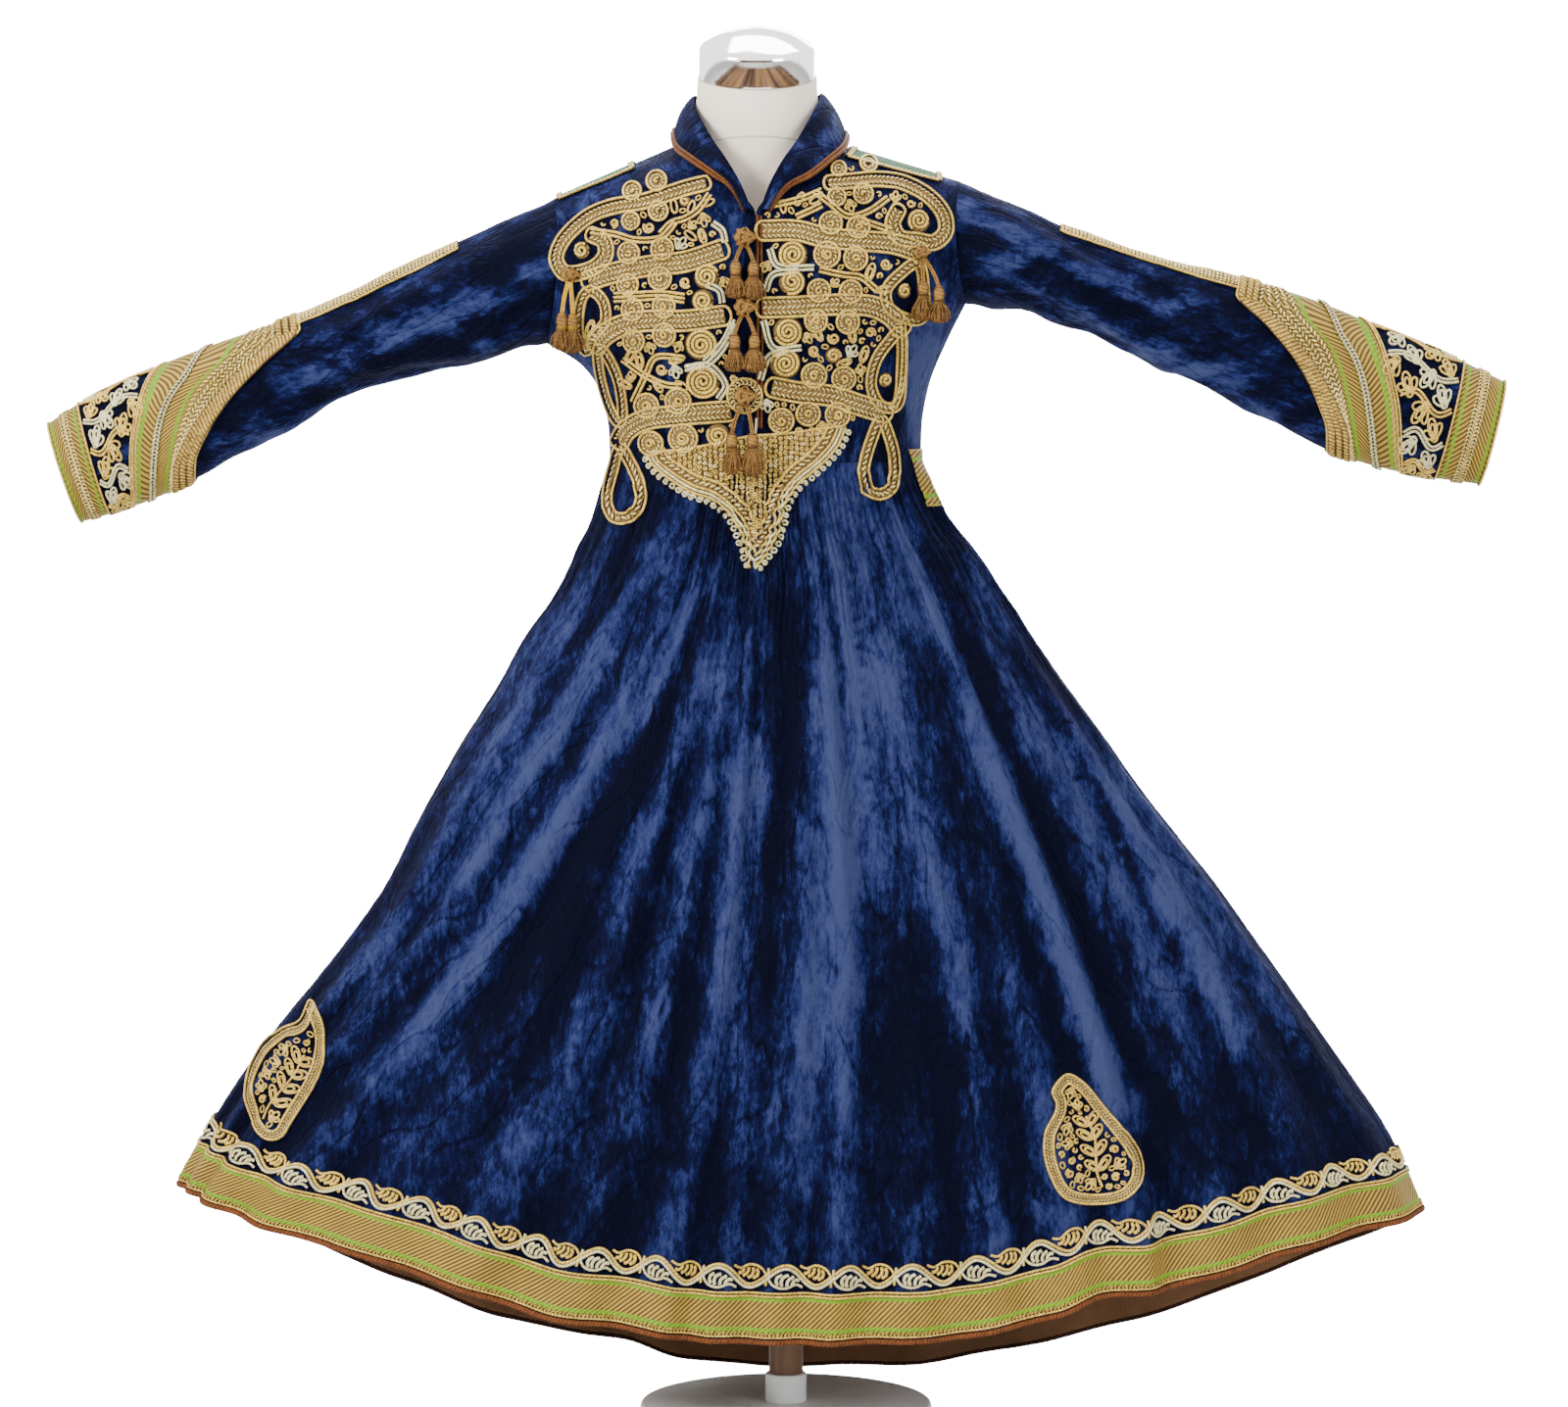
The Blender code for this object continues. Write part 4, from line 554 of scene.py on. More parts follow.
def gridFaces(height, width, turned, closed=False):
    # Four-sided faces between rows of points, width to a row.
    made = []
    for r in range(height - 1):
        for c in range(width if closed else width - 1):
            d = (c + 1) % width
            face = (r * width + c, r * width + d, (r + 1) * width + d, (r + 1) * width + c)
            made.append(face[::-1] if turned else face)
    return made


def addRibbon(name, points, uvs, width, turned, finish, rests):
    # A thin strip laid on the cloth, from rows of points in scene metres, width to a row.
    piece = addMesh(name, points, gridFaces(len(points) // width, width, turned), [finish], uvs)
    thicken(piece, thick["ribbon"])
    declareCloth(np.array(points).reshape(-1, width, 3) / mm)
    return piece


class Sheet:
    # A cloth surface as a fine grid of points, read between them at any place.
    def __init__(self, surface, us, vs, inside, wrap=False):
        self.us, self.vs, self.wrap = np.array(us, float), np.array(vs, float), wrap
        self.points = np.array([[surface(u, v) for u in us] for v in vs], float)
        middles = np.array([[inside(u, v) for u in us] for v in vs], float)
        if wrap:
            across = np.roll(self.points, -1, 1) - np.roll(self.points, 1, 1)
        else:
            across = np.gradient(self.points, axis=1)
        self.outs = unit(np.cross(across, np.gradient(self.points, axis=0)))
        self.turned = (self.outs * (self.points - middles)).sum() < 0
        if self.turned:
            self.outs = -self.outs

    def at(self, u, v, lift=0.0):
        # The point over place (u, v), raised off the cloth, and the way out of the cloth there.
        c = np.interp(u, self.us, np.arange(len(self.us)))
        if self.wrap and u > self.us[-1]:
            c = len(self.us) - 1 + (u - self.us[-1]) / (self.us[-1] - self.us[-2])
        r = np.interp(v, self.vs, np.arange(len(self.vs)))
        c0, r0 = int(c), min(int(r), len(self.vs) - 2)
        c1 = (c0 + 1) % len(self.us) if self.wrap else min(c0 + 1, len(self.us) - 1)
        fc, fr = c - c0, r - r0
        found = []
        for grid in (self.points, self.outs):
            low = grid[r0, c0] * (1 - fc) + grid[r0, c1] * fc
            high = grid[r0 + 1, c0] * (1 - fc) + grid[r0 + 1, c1] * fc
            found.append(low * (1 - fr) + high * fr)
        out = found[1] / max(np.linalg.norm(found[1]), 1e-9)
        return found[0] + out * lift, out

    def faces(self):
        return gridFaces(*self.points.shape[:2], self.turned, self.wrap)

    def build(self, name, finish, nap, lines=(), part="braid", spread=None):
        # The mesh; its UVs are the lengths along and across the cloth, or its places times spread.
        points = self.points
        along, down = np.zeros((2, *points.shape[:2]))
        along[:, 1:] = np.cumsum(np.linalg.norm(np.diff(points, axis=1), axis=-1), axis=1)
        down[1:] = np.cumsum(np.linalg.norm(np.diff(points, axis=0), axis=-1), axis=0)
        uvs = np.stack([along, down], -1).reshape(-1, 2) * mm
        places = [(u, v) for v in self.vs for u in self.us]
        if spread is not None:
            uvs = np.array([(u * spread[0], v * spread[1]) for u, v in places])
        napAndLightValues = np.array([nap(*place, *point) for place, point in zip(places, points.reshape(-1, 3))])
        napAndLightValues = np.clip(napAndLightValues + lineLight(points, lines, part), 0, 1)
        flat = [toScene(p) for p in points.reshape(-1, 3)]
        return addMesh(name, flat, self.faces(), [finish], uvs, napAndLightValues)

    def declare(self, piece, held, rests):
        grid = np.concatenate([self.points, self.points[:, :1]], 1) if self.wrap else self.points
        declareCloth(grid)


def treeOf(*sheets):
    # The sheets' outer faces as one surface to lay braid on.
    points, faces = [], []
    for sheet in sheets:
        faces.extend(tuple(len(points) + n for n in face) for face in sheet.faces())
        points.extend(Vector(p) for p in sheet.points.reshape(-1, 3))
    return BVHTree.FromPolygons(points, faces)


# bodice

frontEdge = [  # waist to neck point: out from the opening, y, height, sweep of the row
    (0, -101, 980, 90), (0, -105, 1015, 90), (0, -112, 1050, 90), (0, -118, 1085, 90),
    (0, -123, 1120, 90), (0, -123, 1155, 80), (0, -119, 1190, 70), (0, -111, 1226, 60),
    (18, -104, 1250, 52), (36, -92, 1268, 47), (53, -72, 1282, 43), (66, -42, 1293, 41),
    (74, 0, 1301, 40),
]
backEdge = [  # waist to neck point: out from the middle, y, height, sweep of the row
    (0, 88, 980, 90), (0, 90, 1020, 90), (0, 94, 1060, 90), (0, 99, 1100, 90),
    (0, 103, 1140, 90), (0, 104, 1180, 80), (0, 101, 1220, 70), (0, 93, 1260, 60),
    (0, 76, 1298, 52), (26, 71, 1299, 47), (50, 54, 1300, 43), (67, 28, 1301, 41),
    (74, 0, 1301, 40),
]
sideSeam = {  # waist to armpit
    "left": [(-149, 980), (-150, 1010), (-157, 1045), (-176, 1075), (-212, 1098)],
    "right": [(167, 980), (168, 1015), (175, 1055), (193, 1100), (212, 1138)],
}
sleeveRings = {  # armhole to cuff: top x, top height, bottom x, bottom height, half depth, middle y
    "left": [
        (-203, 1245, -212, 1098, 59, 0), (-275, 1213, -268, 1084, 52, 4), (-345, 1181, -328, 1068, 44, 10),
        (-415, 1146, -392, 1056, 40, 16), (-485, 1119, -460, 1019, 38, 22), (-555, 1095, -527, 984, 37, 28),
        (-625, 1068, -595, 950, 36, 34), (-680, 1043, -650, 929, 34, 38), (-724, 1015, -692, 917, 32, 40),
    ],
    "right": [
        (205, 1262, 212, 1138, 59, 0), (275, 1232, 268, 1131, 52, 4), (345, 1204, 325, 1111, 44, 10),
        (415, 1182, 390, 1081, 40, 16), (485, 1165, 455, 1052, 38, 22), (555, 1146, 520, 1021, 37, 28),
        (625, 1119, 592, 986, 36, 34), (700, 1089, 670, 965, 34, 38), (765, 1058, 740, 955, 32, 40),
    ],
}
armpitRow, shoulderRow, armholeHollow = 4, 12, 8.0


def armhole(side, turn, face):
    # A point of the armhole seam: turn 0 is the armpit, 180 the shoulder.
    topX, topZ, lowX, lowZ, depth, _ = sleeveRings[side][0]
    angle = math.radians(turn)
    x = (topX + lowX) / 2 + (lowX - topX) / 2 * math.cos(angle)
    z = (topZ + lowZ) / 2 + (lowZ - topZ) / 2 * math.cos(angle)
    x -= sides[side] * armholeHollow * math.sin(angle) ** 2
    return Vector((x, face * depth * math.sin(angle), z))


bodiceEdges = {front: frontEdge, back: backEdge}
bodice = {  # crumples and the pull over the waist, each with how far it is across
    "columns": 56, "rowsPerStep": 7, "gap": 0.2, "inside": (0, 0, 1120), "crumple": 1.6, "crumpleWidth": 34,
    "fineCrumple": 0.5, "fineWidth": 9, "pull": 2.2, "pullWidth": 42, "pullRow": 0.9,
}


def rough(x, y, z, scale, seed=0.0):
    # Smooth noise from -1 to 1 over a place in millimetres.
    return noise.noise(Vector((x / scale + seed, y / scale, z / scale)))


def bodicePoint(side, face, share, row):
    # A row runs from the panel's middle to its side on a stretch of an ellipse.
    edge = list(enumerate(bodiceEdges[face]))
    out, y, z, sweep = [readSmooth([(n, r[k]) for n, r in edge], row) for k in range(4)]
    start = Vector((sides[side] * (out + bodice["gap"]), y, z))
    if row <= armpitRow:
        seam = [(n, *p) for n, p in enumerate(sideSeam[side])]
        end = Vector((readSmooth(seam, row, 1), 0, readSmooth(seam, row, 2)))
    else:
        end = armhole(side, 180 * (row - armpitRow) / (shoulderRow - armpitRow), face)
    top = math.radians(sweep)
    angle = share * top
    wide = math.sin(angle) / math.sin(top)
    deep = (math.cos(angle) - math.cos(top)) / (1 - math.cos(top))
    point = Vector((mix(start.x, end.x, wide), mix(end.y, start.y, deep), mix(start.z, end.z, wide)))
    # crumples fade out at the seams
    calm = smooth(share / 0.08) * smooth((1 - share) / 0.12) * smooth(row / 0.8)
    calm *= smooth((shoulderRow - row) / 0.8)
    lift = bodice["crumple"] * rough(*point, bodice["crumpleWidth"], 3.0)
    lift += bodice["fineCrumple"] * rough(*point, bodice["fineWidth"], 8.0)
    strain = rough(point.x * 2.2, point.y, point.z * 0.7, bodice["pullWidth"], 5.0)
    pull = bump(row, bodice["pullRow"], bodice["pullRow"]) * bodice["pull"] * strain
    way = Vector((point.x / 2.0, point.y, 0)).normalized()
    return point + way * (lift + pull) * calm


# painted highlights (strength above naught) and painted shade (below it) along the bodice's folds: strength,
# half width, line
bodiceLightStreaks = [
    (0.35, 10, [(955, 320), (940, 380), (925, 440)]), (0.30, 9, [(645, 176), (610, 205), (585, 235)]),
    (0.25, 8, [(985, 235), (975, 285), (965, 320)]),
]


def bodiceNap(share, row, x, y, z):
    streak = rough(x * 1.6, y, z * 0.35, 40, 2.0)
    return 0.30 + 0.36 * streak + 0.22 * rough(x, y, z, 70, 9.0)


def bodiceSheet(side, face):
    rows = spaced(0, shoulderRow, shoulderRow * bodice["rowsPerStep"])
    return Sheet(lambda u, v: bodicePoint(side, face, u, v), spaced(0, 1, bodice["columns"]), rows,
                 lambda u, v: bodice["inside"])


bodiceSheets = {(side, face): bodiceSheet(side, face) for side in sides for face in (front, back)}
for (side, face), made in bodiceSheets.items():
    name = "bodice" + faceNames[face].capitalize() + side.capitalize()
    piece = made.build(name, "velvet", bodiceNap, bodiceLightStreaks if face == front else (), "bodice")
    thicken(piece, thick["velvet"], "lining")
    made.declare(piece, "hung", ["form_torso"])
    fit(piece, "velvet", "bodice_front_" + side if face == front else "bodice_back")
print("bodice made")


# sleeves

sleeve = {
    "lengths": {"left": 541.0, "right": 590.0}, "turns": 96, "rows": 130,
    # crumples and ripples, each with how far it is across
    "crumple": 2.4, "crumpleWidth": 38, "fineCrumple": 0.6, "fineWidth": 10, "ripple": 1.8, "ripplePitch": 17,
    # turn at the cuff end and the armhole end, start, end, height
    "folds": {
        "left": [(110, 150, 0.30, 0.95, 6), (75, 60, 0.15, 0.85, 5), (260, 240, 0.2, 0.9, 5)],
        "right": [(130, 40, 0.10, 0.90, 6), (165, 85, 0.20, 0.95, 5), (250, 290, 0.1, 0.9, 5)],
    },
    "foldTurn": 26.0,
}
cuffLines = {  # how far each line lies from the cuff's end, at each turn from the top of the sleeve
    "inner": [(0, 158), (53, 129), (100, 104), (180, 81)],
    "firstGreen": [(0, 168), (53, 139), (100, 113), (180, 89)],
    "secondGreen": [(0, 236), (45, 214), (68, 178), (95, 156), (140, 133), (180, 122)],
    "outer": [(0, 290), (45, 290), (67.5, 252), (90, 211), (112.5, 182), (135, 165), (180, 155)],
}


def cuffLine(name, turn):
    turn = turn % 360
    return readSmooth(cuffLines[name], turn if turn <= 180 else 360 - turn)


def sleeveRing(side, way):
    rows = [(n, *ring) for n, ring in enumerate(sleeveRings[side])]
    place = clamp(way) * (len(rows) - 1)
    return [readSmooth(rows, place, k) for k in range(1, 7)]


def sleeveFold(side, turn, share):
    height = 0.0
    for turnLow, turnHigh, start, end, rise in sleeve["folds"][side]:
        place = (share - start) / (end - start)
        if 0 < place < 1:
            apart = abs((turn - mix(turnLow, turnHigh, place) + 180) % 360 - 180) / sleeve["foldTurn"]
            height += rise * math.sin(math.pi * place) * (math.cos(math.pi * clamp(apart)) + 1) / 2
            height -= rise * 0.4 * math.sin(math.pi * place) * bump(apart, 1.3, 0.4)
    return height


def sleeveMiddle(side, length):
    topX, topZ, lowX, lowZ, _, middleY = sleeveRing(side, 1 - length / sleeve["lengths"][side])
    return Vector(((topX + lowX) / 2, middleY, (topZ + lowZ) / 2))


def sleevePoint(side, turn, length):
    # turn 0 is the top and 90 the front; length is measured from the cuff's end.
    total = sleeve["lengths"][side]
    way = 1 - length / total
    topX, topZ, lowX, lowZ, depth, middleY = sleeveRing(side, way)
    angle = math.radians(turn)
    half = Vector(((topX - lowX) / 2, 0, (topZ - lowZ) / 2))
    centre = Vector(((topX + lowX) / 2, middleY, (topZ + lowZ) / 2))
    ray = half * math.cos(angle) + Vector((0, -math.sin(angle) * depth, 0))
    reach = cuffLine("outer", turn)
    share = (length - reach) / (total - reach)
    rise = sleeveFold(side, turn, share) if 0 < share < 1 else 0.0
    hollow = armholeHollow * math.sin(angle) ** 2 * smooth(1 - way * 4)
    point = centre + ray - Vector((sides[side] * hollow, 0, 0))
    loose = smooth(share / 0.12) * smooth((1 - share) / 0.06)
    rise += loose * sleeve["crumple"] * rough(point.x * 0.8, point.y, point.z, sleeve["crumpleWidth"], 4.0)
    ripple = math.sin(length / sleeve["ripplePitch"] + 2.2 * rough(*point, 60, 7.0))
    rise += loose * sleeve["ripple"] * ripple * smooth(math.cos(angle) * -0.5 + 0.6)
    fine = (0.3 + 0.7 * loose) * sleeve["fineCrumple"] * rough(*point, sleeve["fineWidth"], 1.0)
    rise += fine * smooth((total - length) / 8)
    return point + ray.normalized() * rise


# painted highlights (strength above naught) and painted shade (below it) along the sleeves' folds: strength,
# half width, line
sleeveLightStreaks = [
    (0.42, 9, [(575, 258), (520, 300), (440, 332), (350, 374), (290, 402)]),
    (0.34, 8, [(560, 330), (470, 370), (400, 388), (330, 422), (250, 458)]),
    (-0.30, 7, [(570, 300), (500, 338), (430, 362), (340, 402), (270, 436)]),
    (0.50, 8, [(975, 215), (1040, 250), (1110, 285), (1180, 318)]),
    (0.42, 8, [(985, 262), (1060, 300), (1140, 345), (1220, 385), (1300, 425)]),
    (0.32, 7, [(1000, 305), (1090, 352), (1180, 396), (1260, 432)]),
    (-0.30, 7, [(990, 240), (1070, 276), (1150, 318), (1230, 366)]),
]


def sleeveNap(turn, length, x, y, z):
    streak = rough(x * 0.45, y * 1.5, z * 1.5 - abs(x) * 0.45, 30, 6.0)
    return 0.27 + 0.36 * streak + 0.2 * rough(x, y, z, 80, 3.0)


def sleeveSheet(side):
    turns = spaced(0, 360, sleeve["turns"])[:-1]
    lengths = spaced(0, sleeve["lengths"][side], sleeve["rows"])
    return Sheet(lambda u, v: sleevePoint(side, u, v), turns, lengths,
                 lambda u, v: sleeveMiddle(side, v), wrap=True)


sleeveSheets = {side: sleeveSheet(side) for side in sides}
for side, made in sleeveSheets.items():
    piece = made.build("sleeve" + side.capitalize(), "velvetSleeve", sleeveNap, sleeveLightStreaks, "sleeve")
    thicken(piece, thick["velvet"], "lining")
    made.declare(piece, "hung", ["bodice_front_" + side, "bodice_back"])
    fit(piece, "velvet", "sleeve_" + side)
print("sleeves made")


# skirt

waistZ = 980.0
skirtSides = [  # height, left x, right x
    (200, -600, 688), (208, -598, 685), (250, -588, 668), (300, -560, 643), (350, -528, 609),
    (400, -491, 574), (450, -450, 539), (500, -411, 503), (550, -377, 467), (600, -352, 427),
    (650, -325, 388), (700, -296, 353), (750, -264, 316), (800, -236, 281), (850, -201, 248),
    (890, -182, 221), (920, -167, 196), (950, -158, 180), (980, -149, 167),
]
skirtDepth = [  # share of the way down, depth of the front and of the back
    (0, 101, 88), (0.06, 112, 93), (0.12, 125, 104), (0.26, 143, 128), (0.6, 160, 155), (1, 175, 175),
]
frontHem = [  # place across, height
    (-1, 241), (-0.88, 217), (-0.64, 181), (-0.45, 147), (-0.35, 129), (-0.24, 121), (-0.07, 107),
    (0.12, 105), (0.25, 106), (0.38, 120), (0.445, 131), (0.5, 146), (0.585, 152), (0.65, 162),
    (0.72, 173), (0.85, 197), (1, 213),
]
backHem = [
    (-1, 241), (-0.88, 200), (-0.74, 145), (-0.62, 112), (-0.44, 68), (-0.24, 43), (-0.14, 25),
    (0, 16), (0.13, 15), (0.245, 18), (0.36, 32), (0.48, 51), (0.6, 75), (0.71, 104), (0.83, 143),
    (0.89, 163), (0.95, 184), (1, 213),
]
frontFolds = [  # turn at the waist and hem, height at the gathers, halfway and hem, next valley
    (-80, -84, 1.0, 2, 3, 0.5), (-52, -77, 1.2, 6, 5, 0.5), (-34, -70, 1.8, 8, 7, 0.5),
    (-20, -57, 2.2, 9, 11, 0.5), (-14, -43, 1.8, 3, 5, 0.5), (-9, -30, 2.2, 7, 9, 0.5),
    (-4, -19, 2.2, 6, 8, 0.5), (1, -9, 2.4, 8, 10, 0.5), (6, -4, 2.2, 3, 4, 0.5),
    (11, 1, 2.2, 3, 5, 0.5), (17, 6, 2.4, 9, 11, 0.5), (23, 13, 2.2, 4, 6, 0.5),
    (30, 20, 2.0, 5, 8, 0.5), (38, 27, 2.0, 5, 7, 0.5), (47, 35, 1.5, 13, 15, 0.3),
    (58, 43, 1.5, 5, 8, 0.5), (74, 55, 1.2, 9, 11, 0.5), (84, 72, 1.0, 5, 7, 0.5),
]
backFolds = [
    (-72, -76, 1.0, 5, 6, 0.5), (-58, -62, 1.5, 8, 10, 0.5), (-45, -47, 2.0, 6, 8, 0.5),
    (-34, -36, 2.0, 9, 12, 0.5), (-23, -24, 2.2, 6, 8, 0.5), (-12, -13, 2.2, 9, 12, 0.5),
    (-2, -3, 2.2, 5, 8, 0.5), (8, 8, 2.2, 9, 12, 0.5), (19, 20, 2.2, 6, 8, 0.5),
    (31, 32, 2.0, 9, 11, 0.5), (43, 45, 2.0, 6, 9, 0.5), (56, 60, 1.5, 8, 10, 0.5),
    (70, 75, 1.0, 5, 6, 0.5),
]
hems = {front: frontHem, back: backHem}
folds = {front: frontFolds, back: backFolds}
skirt = {  # gathers and crumples, each with how far it is across
    "columnsPerFold": {front: 12, back: 15}, "rows": 128, "inside": (0, 0, 400), "spread": (0.05, 0.87),
    "gathers": 1.7, "gathersPerFold": 3.6, "gathersWidth": 70, "wander": 3.0, "wanderWidth": 75,
    "crumple": 1.6, "crumpleWidth": 30, "fineCrumple": 0.55, "fineWidth": 9,
    "tuckHeight": 197.0, "tuckDepth": 1.8, "tuckWidth": 3.5, "flatUnderBelt": 0.07,
}


def skirtLine(face, place):
    # A fold line's turn at the waist and at the hem; place counts the lines from the left seam.
    lines = [(-90, -90)] + [fold[:2] for fold in folds[face]] + [(90, 90)]
    low = min(int(place), len(lines) - 2)
    return tuple(mix(lines[low][k], lines[low + 1][k], place - low) for k in range(2))


def foldHeight(fold, down):
    _, _, gathers, middle, hem, _ = fold
    return readSmooth([(0, 0), (0.07, gathers), (0.16, gathers * 1.2), (0.5, middle), (1, hem)], down)


def foldRise(face, place, down):
    own = folds[face]
    low = min(int(place), len(own))
    heights = [0.0 if n < 0 or n >= len(own) else foldHeight(own[n], down) for n in (low - 1, low)]
    dip = own[low - 1][5] if low else 0.5
    part = place - low
    part = 0.5 * part / dip if part < dip else 0.5 + 0.5 * (part - dip) / (1 - dip)
    ridge = (1 + math.cos(2 * math.pi * part)) / 2
    return mix(-0.4 * min(heights), mix(heights[0], heights[1], part), ridge)


def skirtShell(face, angle, down):
    # The skirt without its folds, and the way out of it.
    across = math.sin(math.radians(angle))
    z = mix(waistZ, readSmooth(hems[face], across), down)
    side = 0 if angle < 0 else 1
    sideZ = mix(waistZ, hems[face][-side][1], down)
    wide = abs(readSmooth(skirtSides, sideZ, 1 + side))
    deep = readSmooth(skirtDepth, down, 1 if face == front else 2)
    cosine = math.cos(math.radians(angle))
    point = Vector((wide * across, face * deep * cosine, z))
    return point, Vector((across / wide, face * cosine / deep, 0)).normalized()


def skirtPoint(face, place, down):
    waist, hem = skirtLine(face, place)
    point, way = skirtShell(face, mix(waist, hem, down), down)
    flat = face == back and down < skirt["flatUnderBelt"]
    rise = 0.0 if flat else foldRise(face, place, down)
    calm = smooth(place / 0.5) * smooth((len(folds[face]) + 1 - place) / 0.5)
    length = (waistZ - point.z) * (1 - down) / max(down, 0.02) if down < 1 else 0.0
    if not flat:
        fine = smooth(down / 0.04) * (1 - smooth((down - 0.10) / 0.26)) * calm
        phase = 5 * rough(place * 40, 0, point.z, skirt["gathersWidth"], 2.0)
        rise += fine * skirt["gathers"] * math.sin(2 * math.pi * place * skirt["gathersPerFold"] + phase)
    drift = rough(place * 60, face * 50, point.z * 0.35, skirt["wanderWidth"], 4.0)
    rise += calm * skirt["wander"] * smooth(down / 0.3) * drift
    crumple = rough(point.x, point.y, point.z * 0.8, skirt["crumpleWidth"], 6.0)
    rise += calm * skirt["crumple"] * smooth(down / 0.12) * crumple
    fine = skirt["fineCrumple"] * smooth(down / 0.1) * smooth((1 - down) / 0.03)
    rise += fine * rough(*point, skirt["fineWidth"], 1.0)
    rise -= skirt["tuckDepth"] * calm * bump(length, skirt["tuckHeight"], skirt["tuckWidth"])
    return point + way * rise


# painted highlights (strength above naught) and painted shade (below it) along the skirt's folds: strength,
# half width, line
skirtLightStreaks = [
    (0.26, 12, [(601, 605), (553, 680), (498, 784), (443, 870)]),
    (0.34, 13, [(690, 522), (646, 605), (611, 660), (567, 742), (515, 818), (463, 897), (391, 976),
                (345, 1060)]),
    (0.44, 15, [(742, 580), (704, 625), (660, 708), (615, 770), (542, 873), (498, 942), (440, 1040),
                (400, 1110)]),
    (-0.40, 16, [(722, 625), (682, 715), (640, 800), (590, 880), (540, 970), (480, 1080)]),
    (0.38, 9, [(739, 615), (704, 729), (670, 821), (649, 873), (628, 925), (608, 976), (575, 1080)]),
    (0.26, 9, [(749, 632), (732, 753), (711, 825), (690, 925), (668, 1040), (655, 1150)]),
    (0.44, 15, [(768, 740), (758, 860), (744, 980), (738, 1120)]),
    (-0.34, 16, [(825, 600), (812, 700), (800, 800), (781, 907), (776, 1040)]),
    (0.56, 30, [(858, 494), (866, 610), (868, 720), (862, 820), (852, 930), (836, 1050), (822, 1180)]),
    (-0.34, 5, [(866, 560), (877, 660), (884, 760), (886, 860)]),
    (0.30, 16, [(905, 640), (925, 760), (945, 880), (985, 990), (1020, 1090)]),
    (0.55, 12, [(919, 529), (943, 605), (974, 673), (995, 735), (1026, 804), (1050, 873), (1081, 959),
                (1118, 1051), (1164, 1157)]),
    (-0.50, 14, [(948, 560), (975, 625), (1003, 690), (1030, 760), (1060, 830), (1088, 900), (1122, 990),
                 (1160, 1080), (1200, 1150)]),
    (0.34, 12, [(991, 574), (1022, 660), (1060, 740), (1095, 804), (1140, 890), (1185, 990), (1230, 1090)]),
    (0.32, 13, [(1105, 753), (1150, 830), (1195, 910), (1240, 1000), (1285, 1100)]),
    (-0.28, 10, [(1085, 745), (1130, 830), (1170, 915), (1215, 1010), (1250, 1110)]),
    (0.26, 12, [(1153, 797), (1210, 880), (1270, 980), (1330, 1080)]),
]


def skirtNapAndLight(face):
    def nap(place, down, x, y, z):
        # painted highlight along the fold ridges and painted shade in the valleys, with long streaks and
        # patches of pile tone
        heights = foldRise(face, place, max(down, 0.3))
        ridge = clamp(0.5 + heights / 16)
        streak = rough(place * 150, face * 300, down * 260, 90, 11.0)
        patch = rough(place * 45, face * 200, down * 900, 95, 21.0)
        return 0.05 + 0.38 * ridge + 0.20 * streak + 0.16 * patch
    return nap


def skirtSheet(face):
    count = len(folds[face]) + 1
    places = spaced(0, count, count * skirt["columnsPerFold"][face])
    return Sheet(lambda u, v: skirtPoint(face, u, v), places, spaced(0, 1, skirt["rows"]),
                 lambda u, v: skirt["inside"])


skirtSheets = {face: skirtSheet(face) for face in (front, back)}
skirtNodes = {front: ["skirt_front"], back: ["skirt_back", "hem_lining_back"]}
for face, made in skirtSheets.items():
    name = "skirt" + faceNames[face].capitalize()
    lines = skirtLightStreaks if face == front else ()
    piece = made.build(name, "velvet", skirtNapAndLight(face), lines, "skirt", skirt["spread"])
    thicken(piece, thick["velvet"], "lining")
    made.declare(piece, "gathered", bodicePanels)
    fit(piece, "velvet", *skirtNodes[face])
print("skirt made")


# strands: cords, plaits and flat strips, gathered by finish


def sideways(line, distance):
    # The curve moved sideways in its plane.
    way = unit(np.gradient(line, axis=0))
    return line + np.stack([-way[:, 1], way[:, 0]], -1) * distance


def rounded(line, half):
    # Both sides of a strip and the round ends that join them, as one closed line.
    ends = []
    for tip, before in ((line[-1], line[-3]), (line[0], line[2])):
        way = (tip - before) / np.linalg.norm(tip - before)
        left = np.array([-way[1], way[0]])
        ends.append([tip + half * (left * math.cos(a) + way * math.sin(a) * 0.7)
                     for a in np.linspace(0.3, math.pi - 0.3, 8)])
    loop = np.concatenate([sideways(line, half), ends[0], sideways(line, -half)[::-1], ends[1]])
    return np.concatenate([loop, loop[:2]])


def shotAt(tree):
    # A way to lay braid on the front: shooting at it from the viewer's side.
    def place(x, z):
        hit, normal, _, _ = tree.ray_cast(Vector((x, -600, z)), Vector((0, 1, 0)))
        if hit is None:
            return None
        return tuple(hit), tuple(normal if normal.y < 0 else -normal)
    return place


